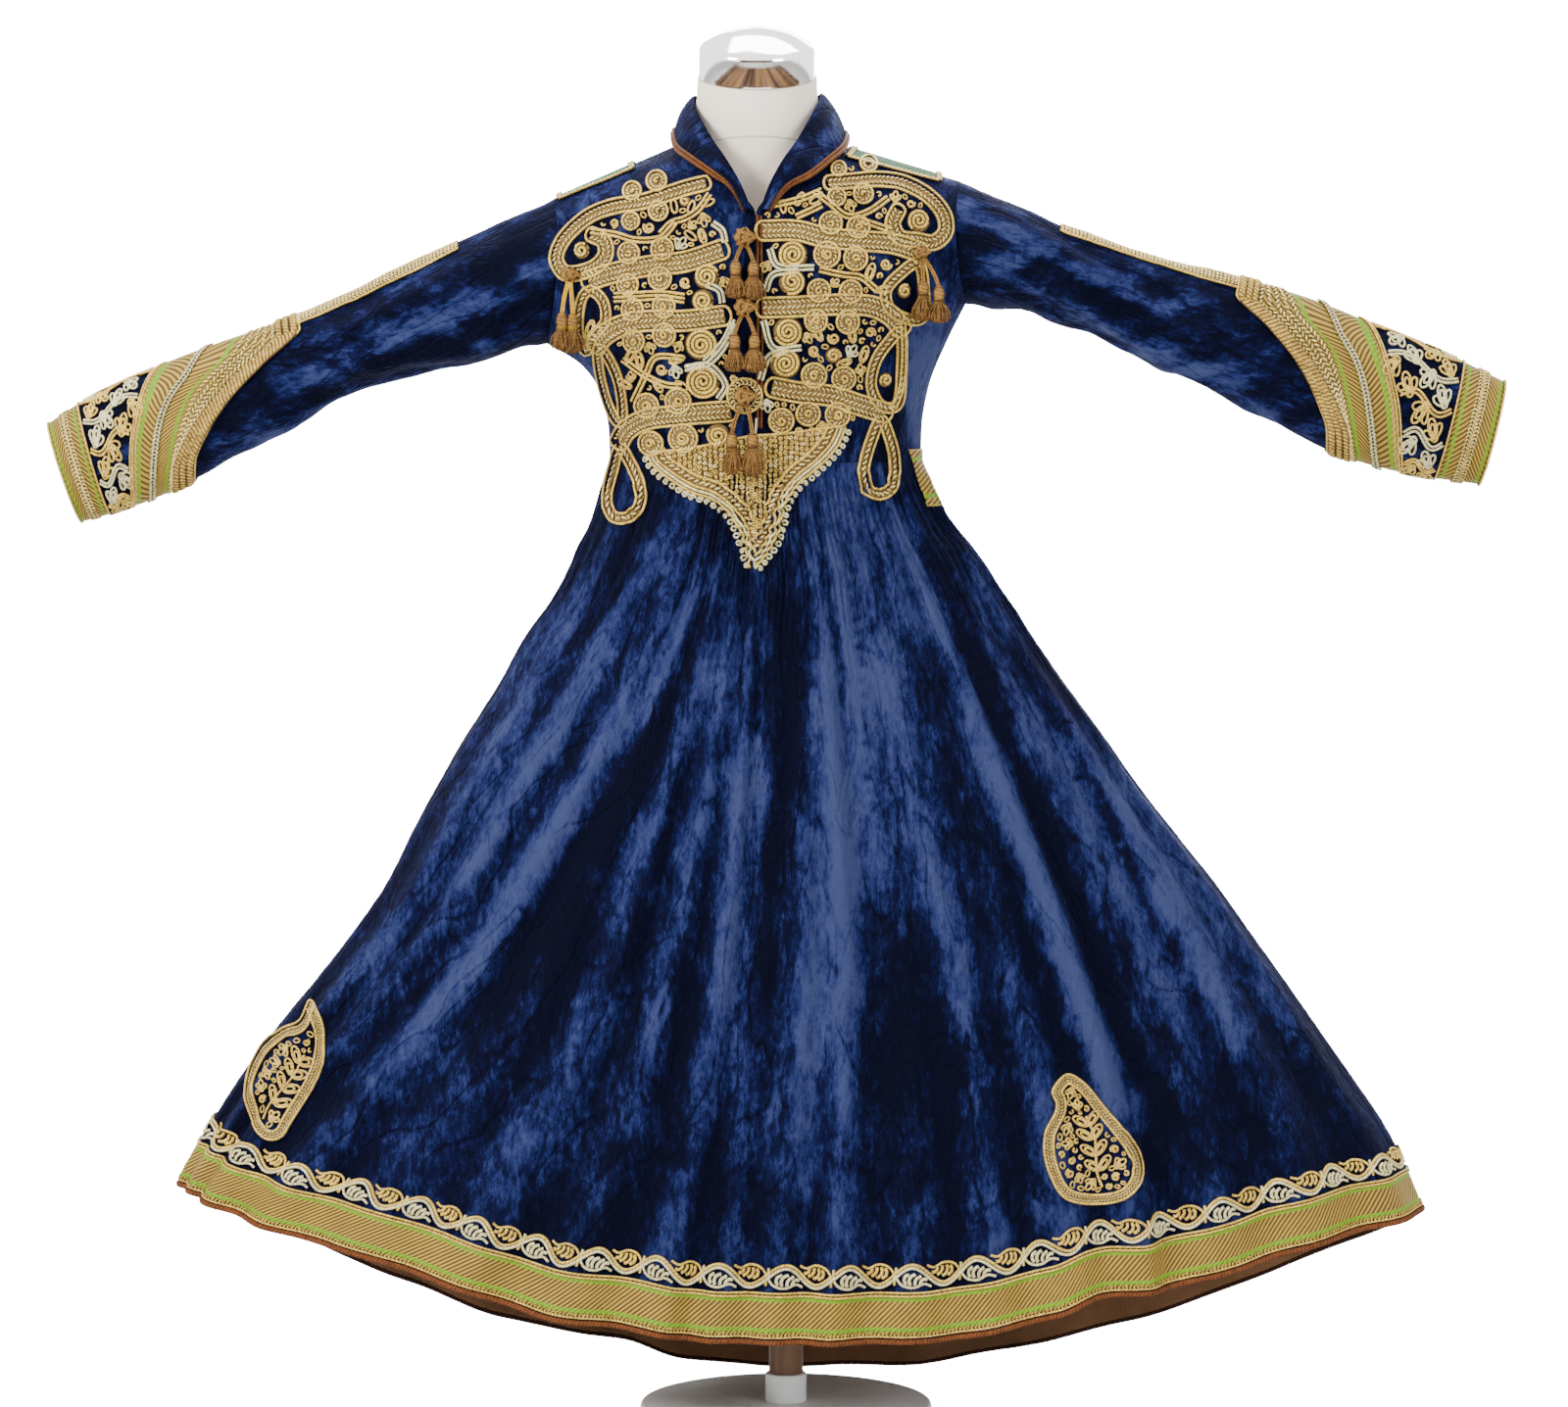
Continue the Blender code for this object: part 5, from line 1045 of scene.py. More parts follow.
class Strands:
    # Cords and plaits drawn in two measures, which place() turns into a point and a way out.
    def __init__(self, place=None):
        self.parts = {}
        self.place = place
        self.drawn = []

    def store(self, finish, points, faces, uvs):
        part = self.parts.setdefault(finish, {"points": [], "faces": [], "uvs": [], "count": 0})
        part["faces"].extend((faces + part["count"]).tolist())
        part["points"].append(points)
        part["uvs"].append(uvs)
        part["count"] += len(points)

    def tube(self, finish, path, outs, radius, ribs=6, flat=1.0, taper=None):
        # A tube along points in millimetres, flat times as thick as it is wide.
        path, outs = np.asarray(path, float), unit(np.asarray(outs, float))
        way = unit(np.gradient(path, axis=0))
        across = unit(np.cross(outs, way))
        up = np.cross(way, across)
        sizes = np.full(len(path), radius) if taper is None else radius * np.asarray(taper)
        angles = np.arange(ribs + 1) * 2 * math.pi / ribs
        ring = across[:, None] * np.cos(angles)[None, :, None]
        ring = ring + up[:, None] * (np.sin(angles) * flat)[None, :, None]
        points = (path[:, None] + ring * sizes[:, None, None]).reshape(-1, 3)
        uvs = np.broadcast_arrays(runAlong(path)[:, None] * mm, angles[None] / (2 * math.pi))
        width = ribs + 1
        starts = (np.arange(len(path) - 1)[:, None] * width + np.arange(ribs)[None]).ravel()
        faces = np.stack([starts, starts + 1, starts + width + 1, starts + width], -1)
        self.store(finish, points, faces, np.stack(uvs, -1).reshape(-1, 2))

    def grains(self, finish, path, outs, width, pitch=4.0, slant=32.0, plump=0.38, hands=(-1, 1)):
        # Rows of slanted stitches: two for a plait, one for a twisted strand.
        path, outs = np.asarray(path, float), unit(np.asarray(outs, float))
        run = runAlong(path)
        count = int(run[-1] / pitch)
        if count < 1:
            return
        places = (np.arange(count) + 0.5) * run[-1] / count
        centres = readAlong(path, run, places)
        ups = unit(readAlong(outs, run, places))
        ways = unit(readAlong(path, run, places + 0.6) - readAlong(path, run, places - 0.6))
        acrosses = unit(np.cross(ups, ways))
        shift, half = (0.24, max(width * 0.38, pitch * 0.62)) if len(hands) > 1 else (0.0, width * 0.62)
        for hand in hands:
            angle = math.radians(slant) * hand
            long = ways * math.cos(angle) + acrosses * math.sin(angle)
            side = np.cross(ups, long)
            middles = centres + acrosses * hand * width * shift
            self.seeds(finish, middles, long, side, ups, half, width * plump * 0.6)

    def seeds(self, finish, centres, long, side, ups, half, plump):
        # Small pointed shapes: two tips and two rings of four.
        rings = [(station, 0.92 * math.cos(a), 0.92 * math.sin(a))
                 for station in (-0.45, 0.45) for a in np.arange(4) * math.pi / 2]
        shape = np.array([(-1.0, 0.0, 0.0), *rings, (1.0, 0.0, 0.0)])
        points = (centres[:, None] + long[:, None] * (shape[None, :, :1] * half)
                  + side[:, None] * (shape[None, :, 1:2] * plump)
                  + ups[:, None] * (shape[None, :, 2:] * plump * 0.8))
        triangles = []
        for n in range(4):
            m = (n + 1) % 4
            triangles += [(0, 1 + m, 1 + n), (1 + n, 1 + m, 5 + m), (1 + n, 5 + m, 5 + n), (9, 5 + n, 5 + m)]
        starts = np.arange(len(centres))[:, None, None] * len(shape)
        faces = (np.array(triangles)[None] + starts).reshape(-1, 3)
        uvs = np.zeros((len(centres), len(shape), 2))
        uvs[..., 0] = (np.arange(len(centres)) * 0.00173)[:, None] + shape[None, :, 0] * half * mm
        # v round each stitch: the cord finish paints its tips and sides in shade and its top lit
        uvs[..., 1] = [0, 0, 0.25, 0.5, 0.75, 0, 0.25, 0.5, 0.75, 0]
        self.store(finish, points.reshape(-1, 3), faces, uvs.reshape(-1, 2))

    def build(self, name, nodes=()):
        # One piece for each finish; the first stands for the solids.
        for finish, part in self.parts.items():
            points = np.concatenate(part["points"])
            points[:, 0] -= standX
            piece = addMesh(name + finish.capitalize(), (points * mm).tolist(), part["faces"], [finish],
                            np.concatenate(part["uvs"]))
            fit(piece, cordFinish[finish][4], *nodes)
            nodes = ()

    def onCloth(self, line, lift, wide):
        found = [self.place(x, z) for x, z in line]
        known = [pair for pair in found if pair is not None]
        if not known:
            return None, None
        for n, pair in enumerate(found):
            if pair is None:
                near = known[0] if n == 0 or found[n - 1] is None else found[n - 1]
                found[n] = ((line[n][0], near[0][1], line[n][1]), near[1])
        points = np.array([pair[0] for pair in found])
        outs = np.array([pair[1] for pair in found])
        for _ in range(2):
            outs[1:-1] = outs[:-2] * 0.25 + outs[1:-1] * 0.5 + outs[2:] * 0.25
        outs = unit(outs)
        self.drawn.extend((x, z, wide) for x, z in line)
        return points + outs * lift, outs

    def cord(self, line, radius=1.4, finish="gold", lift=0.0, ribs=6):
        points, outs = self.onCloth(line, radius * 0.75 + lift, radius)
        if points is not None:
            self.tube(finish, points, outs, radius, ribs)

    def plait(self, line, width=5.0, finish="plait", lift=0.0):
        points, outs = self.onCloth(line, width * 0.2 + lift, width / 2)
        if points is not None:
            self.grains(finish, points, outs, width)

    def rope(self, line, width, hand=1, finish="plait", lift=0.0):
        points, outs = self.onCloth(line, width * 0.15 + lift, width / 2)
        if points is not None:
            self.grains(finish, points, outs, width, width * 0.88, 36.0, 0.46, (hand,))

    def backing(self, line, half, finish="bed", lift=0.0):
        # A dark flat strip under braid: painted shade that shows between the stitches.
        points, outs = self.onCloth(line, 0.5 + lift, half)
        if points is not None:
            self.tube(finish, points, outs, half, 8, 0.07)

    def band(self, points, half, rows):
        # A strip of plaits between two smooth cords; one with a single plait closes on itself.
        closed = rows == 1
        line = resample(points, 2.0, closed)
        self.backing(line, half)
        if closed:
            for hand in (-1, 1):
                self.cord(sideways(line, hand * half), 1.6, lift=0.4)
        else:
            self.cord(rounded(line, half), 1.7, lift=0.4)
        pitch = 2 * (half - 1.5) / rows
        for n in range(rows):
            middle = sideways(line, (n - (rows - 1) / 2) * pitch)
            self.rope(middle, pitch, 1 if n % 2 else -1, lift=0.8)

    def ring(self, x, z, radius, start=0.0, sweep=360.0, step=1.8):
        count = max(6, int(math.radians(abs(sweep)) * radius / step))
        angles = np.radians(start + sweep * np.arange(count + 1) / count)
        return np.stack([x + radius * np.cos(angles), z + radius * np.sin(angles)], -1)

    def spiral(self, x, z, radius, pitch=3.2, hand=1, start=0.0, cordRadius=1.3, finish="gold", lift=0.0,
               inner=1.2):
        turns = (radius - inner) / pitch
        count = max(8, int(turns * math.pi * radius / 1.9))
        share = np.linspace(0, 1, count)
        reach = inner + (radius - cordRadius - inner) * share
        angles = math.radians(start) + hand * (1 - share) * turns * 2 * math.pi
        line = np.stack([x + reach * np.cos(angles), z + reach * np.sin(angles)], -1)
        self.cord(line, cordRadius, finish, lift)

    def rosette(self, x, z, radius, lift=1.2):
        self.cord(self.ring(x, z, radius - 1.6), 1.6, "gold", lift)
        self.backing(self.ring(x, z, radius * 0.5), radius * 0.45, "bed", lift)
        self.rope(self.ring(x, z, radius - 5.2), 4.8, 1, "plait", lift + 0.5)
        self.spiral(x, z, radius - 7.2, 4.0, 1, x * 7.0, 1.7, "gold", lift + 0.4)

    def leaf(self, x, z, length, angle, width=0.42, finish="gold", lift=0.0, radius=1.45):
        # A pointed loop of cord with a smaller one inside it.
        along = heading(angle)
        across = np.array([-along[1], along[0]])
        outline = [(0.5 - 0.5 * math.cos(2 * math.pi * t), math.sin(math.pi * t) * math.cos(math.pi * t))
                   for t in np.linspace(0, 1, 15)]
        for size in ((1.0, 0.58) if length > 14 else (1.0,)):
            shift = length * (1 - size) * 0.35
            line = [np.array([x, z]) + along * (shift + length * size * a)
                    + across * (length * size * width * b) for a, b in outline]
            self.cord(resample(line, 1.8), radius, finish, lift)

    def sprig(self, x, z, length, angle, finish="gold", lift=0.2, radius=1.3):
        # A lobed leaf: three loops of cord out of one curl.
        for turn, size in ((-46, 0.78), (46, 0.78), (0, 1.0)):
            self.leaf(x, z, length * size, angle + turn, 0.5, finish, lift, radius)
        self.cord(self.ring(x, z, length * 0.16 + 0.5, step=1.2), radius, finish, lift + 0.5)

    def fill(self, outline, largest=8.5, least=2.4, gap=0.4, seed=1, pitch=3.9):
        # Small scrolls in what velvet is still bare inside the outline, the roomiest spots first.
        chance = random.Random(seed)
        outline = np.array(outline, float)
        low, high = outline.min(0), outline.max(0)
        xs, zs = np.meshgrid(np.arange(low[0], high[0], 1.4), np.arange(low[1], high[1], 1.4))
        spots = np.stack([xs.ravel(), zs.ravel()], -1)
        inside = np.zeros(len(spots), bool)
        for a, b in zip(outline, np.roll(outline, -1, 0)):
            crossing = (a[1] > spots[:, 1]) != (b[1] > spots[:, 1])
            slope = (b[0] - a[0]) / (b[1] - a[1] if b[1] != a[1] else 1e-9)
            inside ^= crossing & (spots[:, 0] < a[0] + (spots[:, 1] - a[1]) * slope)
        spots = spots[inside]
        room = np.full(len(spots), 99.0)
        for x, z, wide in self.drawn:
            room = np.minimum(room, np.hypot(spots[:, 0] - x, spots[:, 1] - z) - wide)
        while len(room):
            best = int(np.argmax(room))
            radius = min(room[best] - gap, largest * chance.uniform(0.75, 1.0))
            if radius < least:
                break
            x, z = spots[best]
            if radius > 4.6 and chance.random() < 0.45:
                turn = chance.uniform(0, 360)
                foot = spots[best] - radius * 0.7 * heading(turn)
                self.sprig(*foot, radius * 1.7, turn, "gold" if chance.random() < 0.8 else "silver")
            elif radius > 3.6:
                hand = chance.choice((-1, 1))
                self.spiral(x, z, radius, pitch, hand, chance.uniform(0, 360), min(1.7, radius * 0.34))
            else:
                turn = chance.uniform(0, 360)
                foot = spots[best] - heading(turn) * radius
                self.leaf(*foot, radius * 2, turn, 0.62, radius=1.05)
            room = np.minimum(room, np.hypot(spots[:, 0] - x, spots[:, 1] - z) - radius)


# frogging on the chest; the places are where the braid shows on the photo

frogging = {
    "left": {
        "bands": [  # line, half width, rows of plait
            ([(721, 192), (701, 197), (679, 204), (655, 211), (628, 215), (605, 223), (587, 236), (573, 252),
              (568, 268), (576, 281), (590, 282), (608, 276), (619, 264), (617, 250), (604, 243)], 7.0, 2),
            ([(738, 259), (701, 271), (665, 275), (628, 282), (601, 290)], 9.6, 3),
            ([(604, 300), (594, 310), (591, 340), (598, 360), (606, 346), (619, 331), (617, 311)], 4.6, 1),
            ([(740, 325), (701, 330), (669, 330), (642, 333), (621, 342), (609, 354)], 9.6, 3),
            ([(611, 358), (612, 382), (620, 414), (631, 434), (636, 424), (632, 392), (621, 366)], 4.6, 1),
            ([(746, 421), (701, 425), (662, 430), (641, 441), (632, 455)], 9.8, 3),
            ([(633, 461), (625, 484), (619, 511), (624, 529), (637, 532), (650, 523), (654, 503),
              (645, 478)], 5.2, 1),
        ],
        "rosettes": [(671, 190, 11.5), (646, 200, 10.5), (673, 220, 11), (645, 230, 10), (677, 258, 12.5),
                     (643, 262, 12), (675, 288, 12.5), (642, 294, 12), (679, 316, 12.5), (647, 319, 12),
                     (679, 344, 12.5), (648, 350, 12), (693, 411, 14), (661, 416, 13.5), (698, 449, 15.5),
                     (665, 455, 13.5)],
        "spirals": [(722, 286, 13.5, 1), (718, 310, 12, -1), (716, 354, 17, 1), (718, 391, 18.5, -1),
                    (733, 446, 12.5, 1), (594, 259, 9, 1), (700, 210, 6, 1)],
        "cords": [
            ([(675, 243), (686, 232), (701, 227), (714, 218), (725, 203)], "gold"),
            ([(604, 240), (628, 243), (652, 249), (674, 247), (685, 238), (690, 231)], "gold"),
            ([(628, 305), (652, 304), (676, 303), (700, 306)], "gold"),
            ([(628, 309), (652, 308), (676, 307), (700, 310)], "gold"),
            ([(636, 368), (658, 384), (679, 394), (697, 396)], "gold"),
            ([(647, 412), (660, 385), (671, 366), (698, 367)], "gold"),
            ([(752, 330), (741, 354), (722, 374), (700, 378)], "silver"),
            ([(749, 332), (738, 352), (720, 371)], "silver"),
            ([(701, 377), (725, 375), (741, 394), (734, 409)], "silver"),
            ([(722, 294), (735, 300), (738, 312)], "silver"),
            ([(728, 232), (738, 240), (741, 252)], "silver"),
        ],
        "leaves": [(690, 222, 14, 100), (704, 222, 13, 70), (716, 214, 14, 20), (700, 240, 14, -40),
                   (715, 238, 15, -70), (640, 372, 18, 60), (655, 378, 17, 100), (668, 388, 16, -60),
                   (684, 372, 16, 20), (645, 398, 16, 150), (690, 392, 14, -30), (606, 330, 18, 250)],
        "fill": [(726, 192), (690, 196), (640, 210), (596, 232), (612, 262), (600, 285), (625, 300),
                 (622, 340), (640, 362), (642, 425), (664, 440), (744, 446), (752, 425), (745, 330),
                 (738, 262), (744, 246), (722, 222)],
    },
    "right": {
        "bands": [
            ([(845, 192), (870, 190), (894, 188), (920, 191), (946, 204), (962, 222), (964, 240), (952, 251),
              (935, 249), (917, 246), (910, 232), (916, 218)], 7.0, 2),
            ([(778, 240), (813, 240), (842, 247), (880, 250), (912, 253), (938, 261)], 9.6, 3),
            ([(936, 272), (916, 284), (903, 300), (907, 318), (925, 328), (940, 326), (942, 300)], 4.8, 1),
            ([(778, 317), (813, 316), (848, 314), (886, 315), (908, 325), (919, 338)], 9.6, 3),
            ([(918, 342), (905, 352), (892, 372), (888, 396), (898, 416), (915, 415), (919, 380)], 4.8, 1),
            ([(788, 397), (813, 402), (848, 406), (875, 415), (903, 424)], 9.8, 3),
            ([(898, 431), (888, 452), (881, 480), (884, 501), (899, 507), (911, 498), (912, 472),
              (907, 449)], 5.0, 1),
        ],
        "rosettes": [(855, 178, 9), (880, 203, 11), (886, 172, 10), (853, 206, 10), (847, 232, 12.5),
                     (875, 236, 12.5), (843, 264, 14), (872, 268, 13), (835, 300, 12.5), (867, 301, 12.5),
                     (832, 330, 12.5), (864, 331, 12.5), (830, 385, 13.5), (860, 388, 13), (797, 431, 13.5),
                     (824, 424, 13), (854, 425, 13.5)],
        "spirals": [(809, 264, 15.5, -1), (808, 291, 14, 1), (804, 341, 15.5, 1), (801, 373, 16.5, -1),
                    (850, 365, 8.5, 1), (937, 229, 12.5, -1), (922, 300, 8, 1), (903, 390, 8, -1)],
        "cords": [
            ([(781, 215), (800, 212), (820, 207), (838, 200)], "gold"),
            ([(812, 226), (823, 221), (838, 214)], "gold"),
            ([(785, 258), (795, 276), (830, 277)], "silver"),
            ([(781, 300), (789, 284), (814, 280)], "silver"),
            ([(779, 330), (789, 357), (817, 357)], "silver"),
            ([(776, 389), (784, 367), (800, 359)], "silver"),
            ([(835, 279), (859, 284), (878, 287), (894, 300)], "gold"),
            ([(920, 330), (921, 367), (918, 400), (911, 419)], "gold"),
            ([(831, 201), (846, 212), (864, 225), (886, 220), (905, 207)], "gold"),
            ([(875, 228), (899, 236), (907, 239)], "gold"),
        ],
        "leaves": [(884, 290, 18, 70), (893, 300, 16, 10), (826, 340, 16, 60), (838, 350, 15, 120),
                   (870, 352, 17, 100), (878, 372, 17, 70), (812, 214, 14, 60), (800, 222, 13, 100),
                   (826, 212, 13, 30), (868, 370, 15, 200)],
        "fill": [(842, 200), (856, 172), (900, 186), (950, 208), (908, 256), (934, 268), (902, 290),
                 (918, 330), (905, 342), (890, 372), (884, 408), (866, 436), (790, 446), (780, 430),
                 (784, 400), (782, 330), (780, 250), (782, 214)],
    },
}

chestTree = treeOf(bodiceSheets["left", front], bodiceSheets["right", front], skirtSheets[front],
                   sleeveSheets["left"], sleeveSheets["right"])
chestPlace = shotAt(chestTree)


def addFrogging(side):
    table = frogging[side]
    lace = Strands(chestPlace)
    for line, half, rows in table["bands"]:
        lace.band(seenAll(line), half, rows)
    for x, y, radius in table["rosettes"]:
        lace.rosette(*seen(x, y), radius)
    for x, y, radius, hand in table["spirals"]:
        lace.backing(lace.ring(*seen(x, y), radius * 0.5), radius * 0.48)
        lace.spiral(*seen(x, y), radius, 4.8, hand, x * 11.0, 2.0, lift=0.3)
    for line, finish in table["cords"]:
        path = resample(seenAll(line))
        for shift in (-2.0, 2.0):
            lace.cord(sideways(path, shift), 1.75, finish, 0.6)
    for x, y, length, angle in table["leaves"]:
        lace.leaf(*seen(x, y), length, angle)
    lace.fill(seenAll(table["fill"]), seed=3)
    nodes = [f"frog_{kind}_{side}_{n}" for kind in ("bar", "loop") for n in range(1, 5)]
    lace.build("frogging" + side.capitalize(), nodes)


for side in sides:
    addFrogging(side)
print("frogging made")


# pointed ornament at the waist

waistPoint = {
    "left": [(662, 466), (668, 478), (684, 491), (706, 504), (727, 511), (746, 527), (758, 549), (767, 580)],
    "right": [(862, 438), (853, 458), (836, 477), (814, 496), (801, 516), (793, 546), (781, 566), (769, 580)],
    "tops": {
        "left": [(662, 464), (700, 460), (740, 452), (768, 446)],
        "right": [(862, 436), (830, 440), (800, 444), (772, 446)],
    },
    "opening": (770, 500), "tie": [(772, 428), (771, 445), (770, 461)],
    "cords": {0.0: "gold", 3.4: "silver", 6.8: "gold"}, "rope": 12.0, "inside": 17.0, "scallop": 7.4,
    "column": 5.2, "stitch": 5.0,
}


def addWaistPoint():
    lace = Strands(chestPlace)
    chance = random.Random(5)
    centre = seen(*waistPoint["opening"], "waist")[0]
    for side in sides:
        sign = -sides[side]  # the way in
        edge = resample(seenAll(waistPoint[side], "waist"))

        def inside(distance):
            # The edge moved in, as far as it lies on this side of the opening.
            line = sideways(edge, sign * distance)
            return line[(line[:, 0] - centre) * sign < 0.5]

        top = seenAll(waistPoint["tops"][side], "waist")
        for inset, finish in waistPoint["cords"].items():
            lace.cord(inside(inset), 1.75, finish, 0.3)
        rope = inside(waistPoint["rope"])
        lace.backing(rope, 5.0)
        lace.rope(rope, 7.0, sign, "plait", 0.4)
        lace.cord(inside(waistPoint["inside"]), 1.7, "gold", 0.4)
        lace.cord(resample(top), 1.7, "gold", 0.3)
        # scallops of silver cord outside the edge
        out = sideways(edge, -sign * 4.8)
        run = runAlong(out)
        count = int(run[-1] / waistPoint["scallop"])
        for x, z in readAlong(out, run, (np.arange(count) + 0.5) * run[-1] / count):
            lace.spiral(x, z, 4.6, 2.9, sign, 0 if side == "left" else 180, 1.35, "silver", 0.2, 0.9)
        # knotted filling, in columns between the inner cord and the top
        lows = sorted(tuple(p) for p in sideways(edge, sign * waistPoint["inside"]))
        highs = sorted(top)
        reach = (lows[0][0], centre) if sign > 0 else (centre, lows[-1][0])
        for x in np.arange(*reach, waistPoint["column"]):
            low, high = [np.interp(x, *zip(*line)) for line in (lows, highs)]
            if high - low < 3:
                continue
            lace.backing(np.array([(x, low), (x, (low + high) / 2), (x, high)]), 3.2)
            for z in np.arange(low, high, waistPoint["stitch"]):
                knot = lace.ring(x + chance.uniform(-0.8, 0.8), z, 1.5, chance.uniform(0, 360), 330, 1.3)
                lace.cord(knot, 1.15, chance.choice(("gold", "gold", "plait")), 0.6, 5)
    lace.cord(resample(seenAll(waistPoint["tie"])), 1.3, "white", 0.8)
    lace.build("waistPoint", ["waist_point_left", "waist_point_right"])


addWaistPoint()
print("waist ornament made")


# cuffs, with a tail of braid up each arm

cuff = {
    "endBand": 50.0, "endStart": 0.3, "lift": 0.9, "turns": 120, "panelStart": 54.0, "sprays": 11,
    "tailStart": 282.0, "tailEnd": {"left": 448, "right": 482}, "tailTurn": 20.0, "tailHalf": 15.0,
    "perTurn": 0.80, "shear": -0.7,  # millimetres round the cuff for each degree, and its ribbon's slant
    "herringbone": 5,  # rows of plait past the second green line
    "edging": [(20, 7.0), (13, 7.6), (5.5, 8.4)],  # the corded edge: place inside the outer line, width
}
finishes["cuffEnd"] = ribbonMaterial("cuffEnd", 0.050, [(0.006, 0.0017), (0.043, 0.0017)], -50, spine=0.0245)
finishes["cuffRibbon"] = ribbonMaterial("cuffRibbon", 0.400, [(0.004, 0.0018), (0.034, 0.0018)], 50,
                                        spine=0.019)


def onSleeve(side):
    # A way to lay braid on a sleeve, by the turn from its top and the distance from the cuff's end.
    def place(turn, length):
        point, out = sleeveSheets[side].at(turn % 360, length)
        return tuple(point), tuple(out)
    return place


def addCuffRibbon(side, kind, low, high, measure, rows):
    # A ring of ribbon between two lines; measure gives how far along and across it a place lies.
    made = sleeveSheets[side]
    turns = spaced(0, 360, cuff["turns"])
    points, uvs = [], []
    for r in range(rows + 1):
        lengths = [mix(low(turn), high(turn), r / rows) for turn in turns]
        row = [made.at(turn % 360, length, cuff["lift"])[0] for turn, length in zip(turns, lengths)]
        for run, turn, length, point in zip(runAlong(row), turns, lengths, row):
            points.append(toScene(point))
            more, across = measure(turn, length)
            uvs.append(((run + more) * mm, across * mm))
    piece = addRibbon(kind + side.capitalize(), points, uvs, len(turns), True, kind, ["sleeve_" + side])
    return fit(piece, "gold_ribbon", *(["cuff_" + side] if kind == "cuffRibbon" else []))


def firstGreen(turn):
    return cuffLine("firstGreen", turn)


def secondGreen(turn):
    return cuffLine("secondGreen", turn)


def outerLine(turn):
    return cuffLine("outer", turn)


def herringboneLine(turn, share):
    return mix(secondGreen(turn) + 5, max(outerLine(turn) - 22, secondGreen(turn) + 6), share)


def ribbonMeasure(turn, length):
    # The twill stays square to a ribbon that slants over the arm; its green lines lie 30 mm apart.
    one, two = firstGreen(turn), secondGreen(turn)
    across = 4 + 30 * (length - one) / (two - one) if length <= two else 34 + (length - two)
    return cuff["shear"] * math.sin(math.radians(turn)) * (length - (one + two) / 2), across


def addCuffRibbons(side):
    addCuffRibbon(side, "cuffEnd", lambda turn: cuff["endStart"], lambda turn: cuff["endBand"],
                  lambda turn, length: (0.0, length), 10)
    addCuffRibbon(side, "cuffRibbon", lambda turn: cuffLine("inner", turn),
                  lambda turn: max(outerLine(turn) - 3, secondGreen(turn) + 4), ribbonMeasure, 24)


def addCuffBraid(side):
    # Drawn in turns from the top and millimetres from the cuff's end.
    lace = Strands(onSleeve(side))

    def ringLine(length):
        return np.array([(turn, length(turn)) for turn in spaced(0, 360, 150)])

    for place in (1.0, cuff["endBand"]):
        lace.cord(ringLine(lambda turn: place), 1.3, "gold", 1.0)
    for place in (22.0, 29.0):
        lace.plait(ringLine(lambda turn: place), 6.0, "plait", 1.0)
    lace.cord(ringLine(lambda turn: 25.5), 1.0, "gold", 1.2)
    lace.plait(ringLine(lambda turn: mix(firstGreen(turn), secondGreen(turn), 0.5)), 8.0, "silver", 1.0)
    for offset in (0.0, 3.0):
        lace.cord(ringLine(lambda turn: cuffLine("inner", turn) + offset - 2), 1.2, "gold", 0.9)
    for n in range(cuff["herringbone"]):
        share = (n + 0.5) / cuff["herringbone"]
        lace.rope(ringLine(lambda turn: herringboneLine(turn, share)), 6.2, 1 if n % 2 else -1, "plait", 0.8)
    for offset, width in cuff["edging"]:
        points, outs = lace.onCloth(ringLine(lambda turn: outerLine(turn) - offset), 2.6, 3.0)
        # a dark strip of painted shade under the edging's stitches
        lace.tube("bed", points, outs, width / 2, 8, 0.45)
        lace.grains("gold", points + outs * 1.2, outs, width * 0.92, 4.4, 62, 0.40, (1,))
    lace.cord(ringLine(lambda turn: outerLine(turn) - 0.5), 1.4, "gold", 0.8)
    addCuffTail(lace, cuff["tailStart"], cuff["tailEnd"][side])
    lace.build("cuff" + side.capitalize(), ["sleeve_braid_" + side])


def addCuffTail(lace, low, high):
    # The tail of braid along the arm's top: three plaits between two cords.
    for share in (-1.0, -0.5, 0.0, 0.5, 1.0):
        aside = cuff["tailHalf"] * share
        line = np.array([(cuff["tailTurn"] + aside * (1 - 0.35 * (s - low) / (high - low)), s)
                         for s in spaced(low, high, 90)])
        if abs(share) == 1.0:
            lace.cord(line, 1.5, "gold", 0.8)
        else:
            points, outs = lace.onCloth(line, 0.8, 3.0)
            # a dark strip of painted shade under the plaits
            lace.tube("bed", points, outs, 3.4, 8, 0.2)
            lace.plait(line, 7.0, "plait", 0.8)


def addCuffLeaves(side):
    # Scrolls and lobed leaves on the velvet panel, drawn in millimetres round the cuff.
    place = onSleeve(side)
    leaves = Strands(lambda around, length: place(around / cuff["perTurn"], length))
    step = 360 * cuff["perTurn"] / cuff["sprays"]
    for n in range(cuff["sprays"]):
        x = (n + 0.5) * step
        low, high = cuff["panelStart"], cuffLine("inner", x / cuff["perTurn"]) - 5
        finish, other = ("silver", "gold") if n % 2 else ("gold", "silver")
        stem = [(x + math.sin(t * 2 * math.pi) * step * 0.22, mix(low, high, t))
                for t in np.linspace(0, 1, 30)]
        for shift in (-1.5, 1.5):
            leaves.cord(sideways(np.array(stem), shift), 1.6, finish, 0.5)
        steps = max(2, int((high - low) / 17))
        for k in range(steps):
            hand = 1 if k % 2 else -1
            foot = (x + hand * 3.0, mix(low, high, (k + 0.5) / steps))
            leaves.sprig(*foot, 16.0, 90 - hand * 56, finish if k % 3 else other, 0.3, 1.45)
    leaves.build("cuffLeaves" + side.capitalize())


for side in sides:
    addCuffRibbons(side)
    addCuffBraid(side)
    addCuffLeaves(side)
print("cuffs made")


# the hem's ribbon, cords, vine and piping

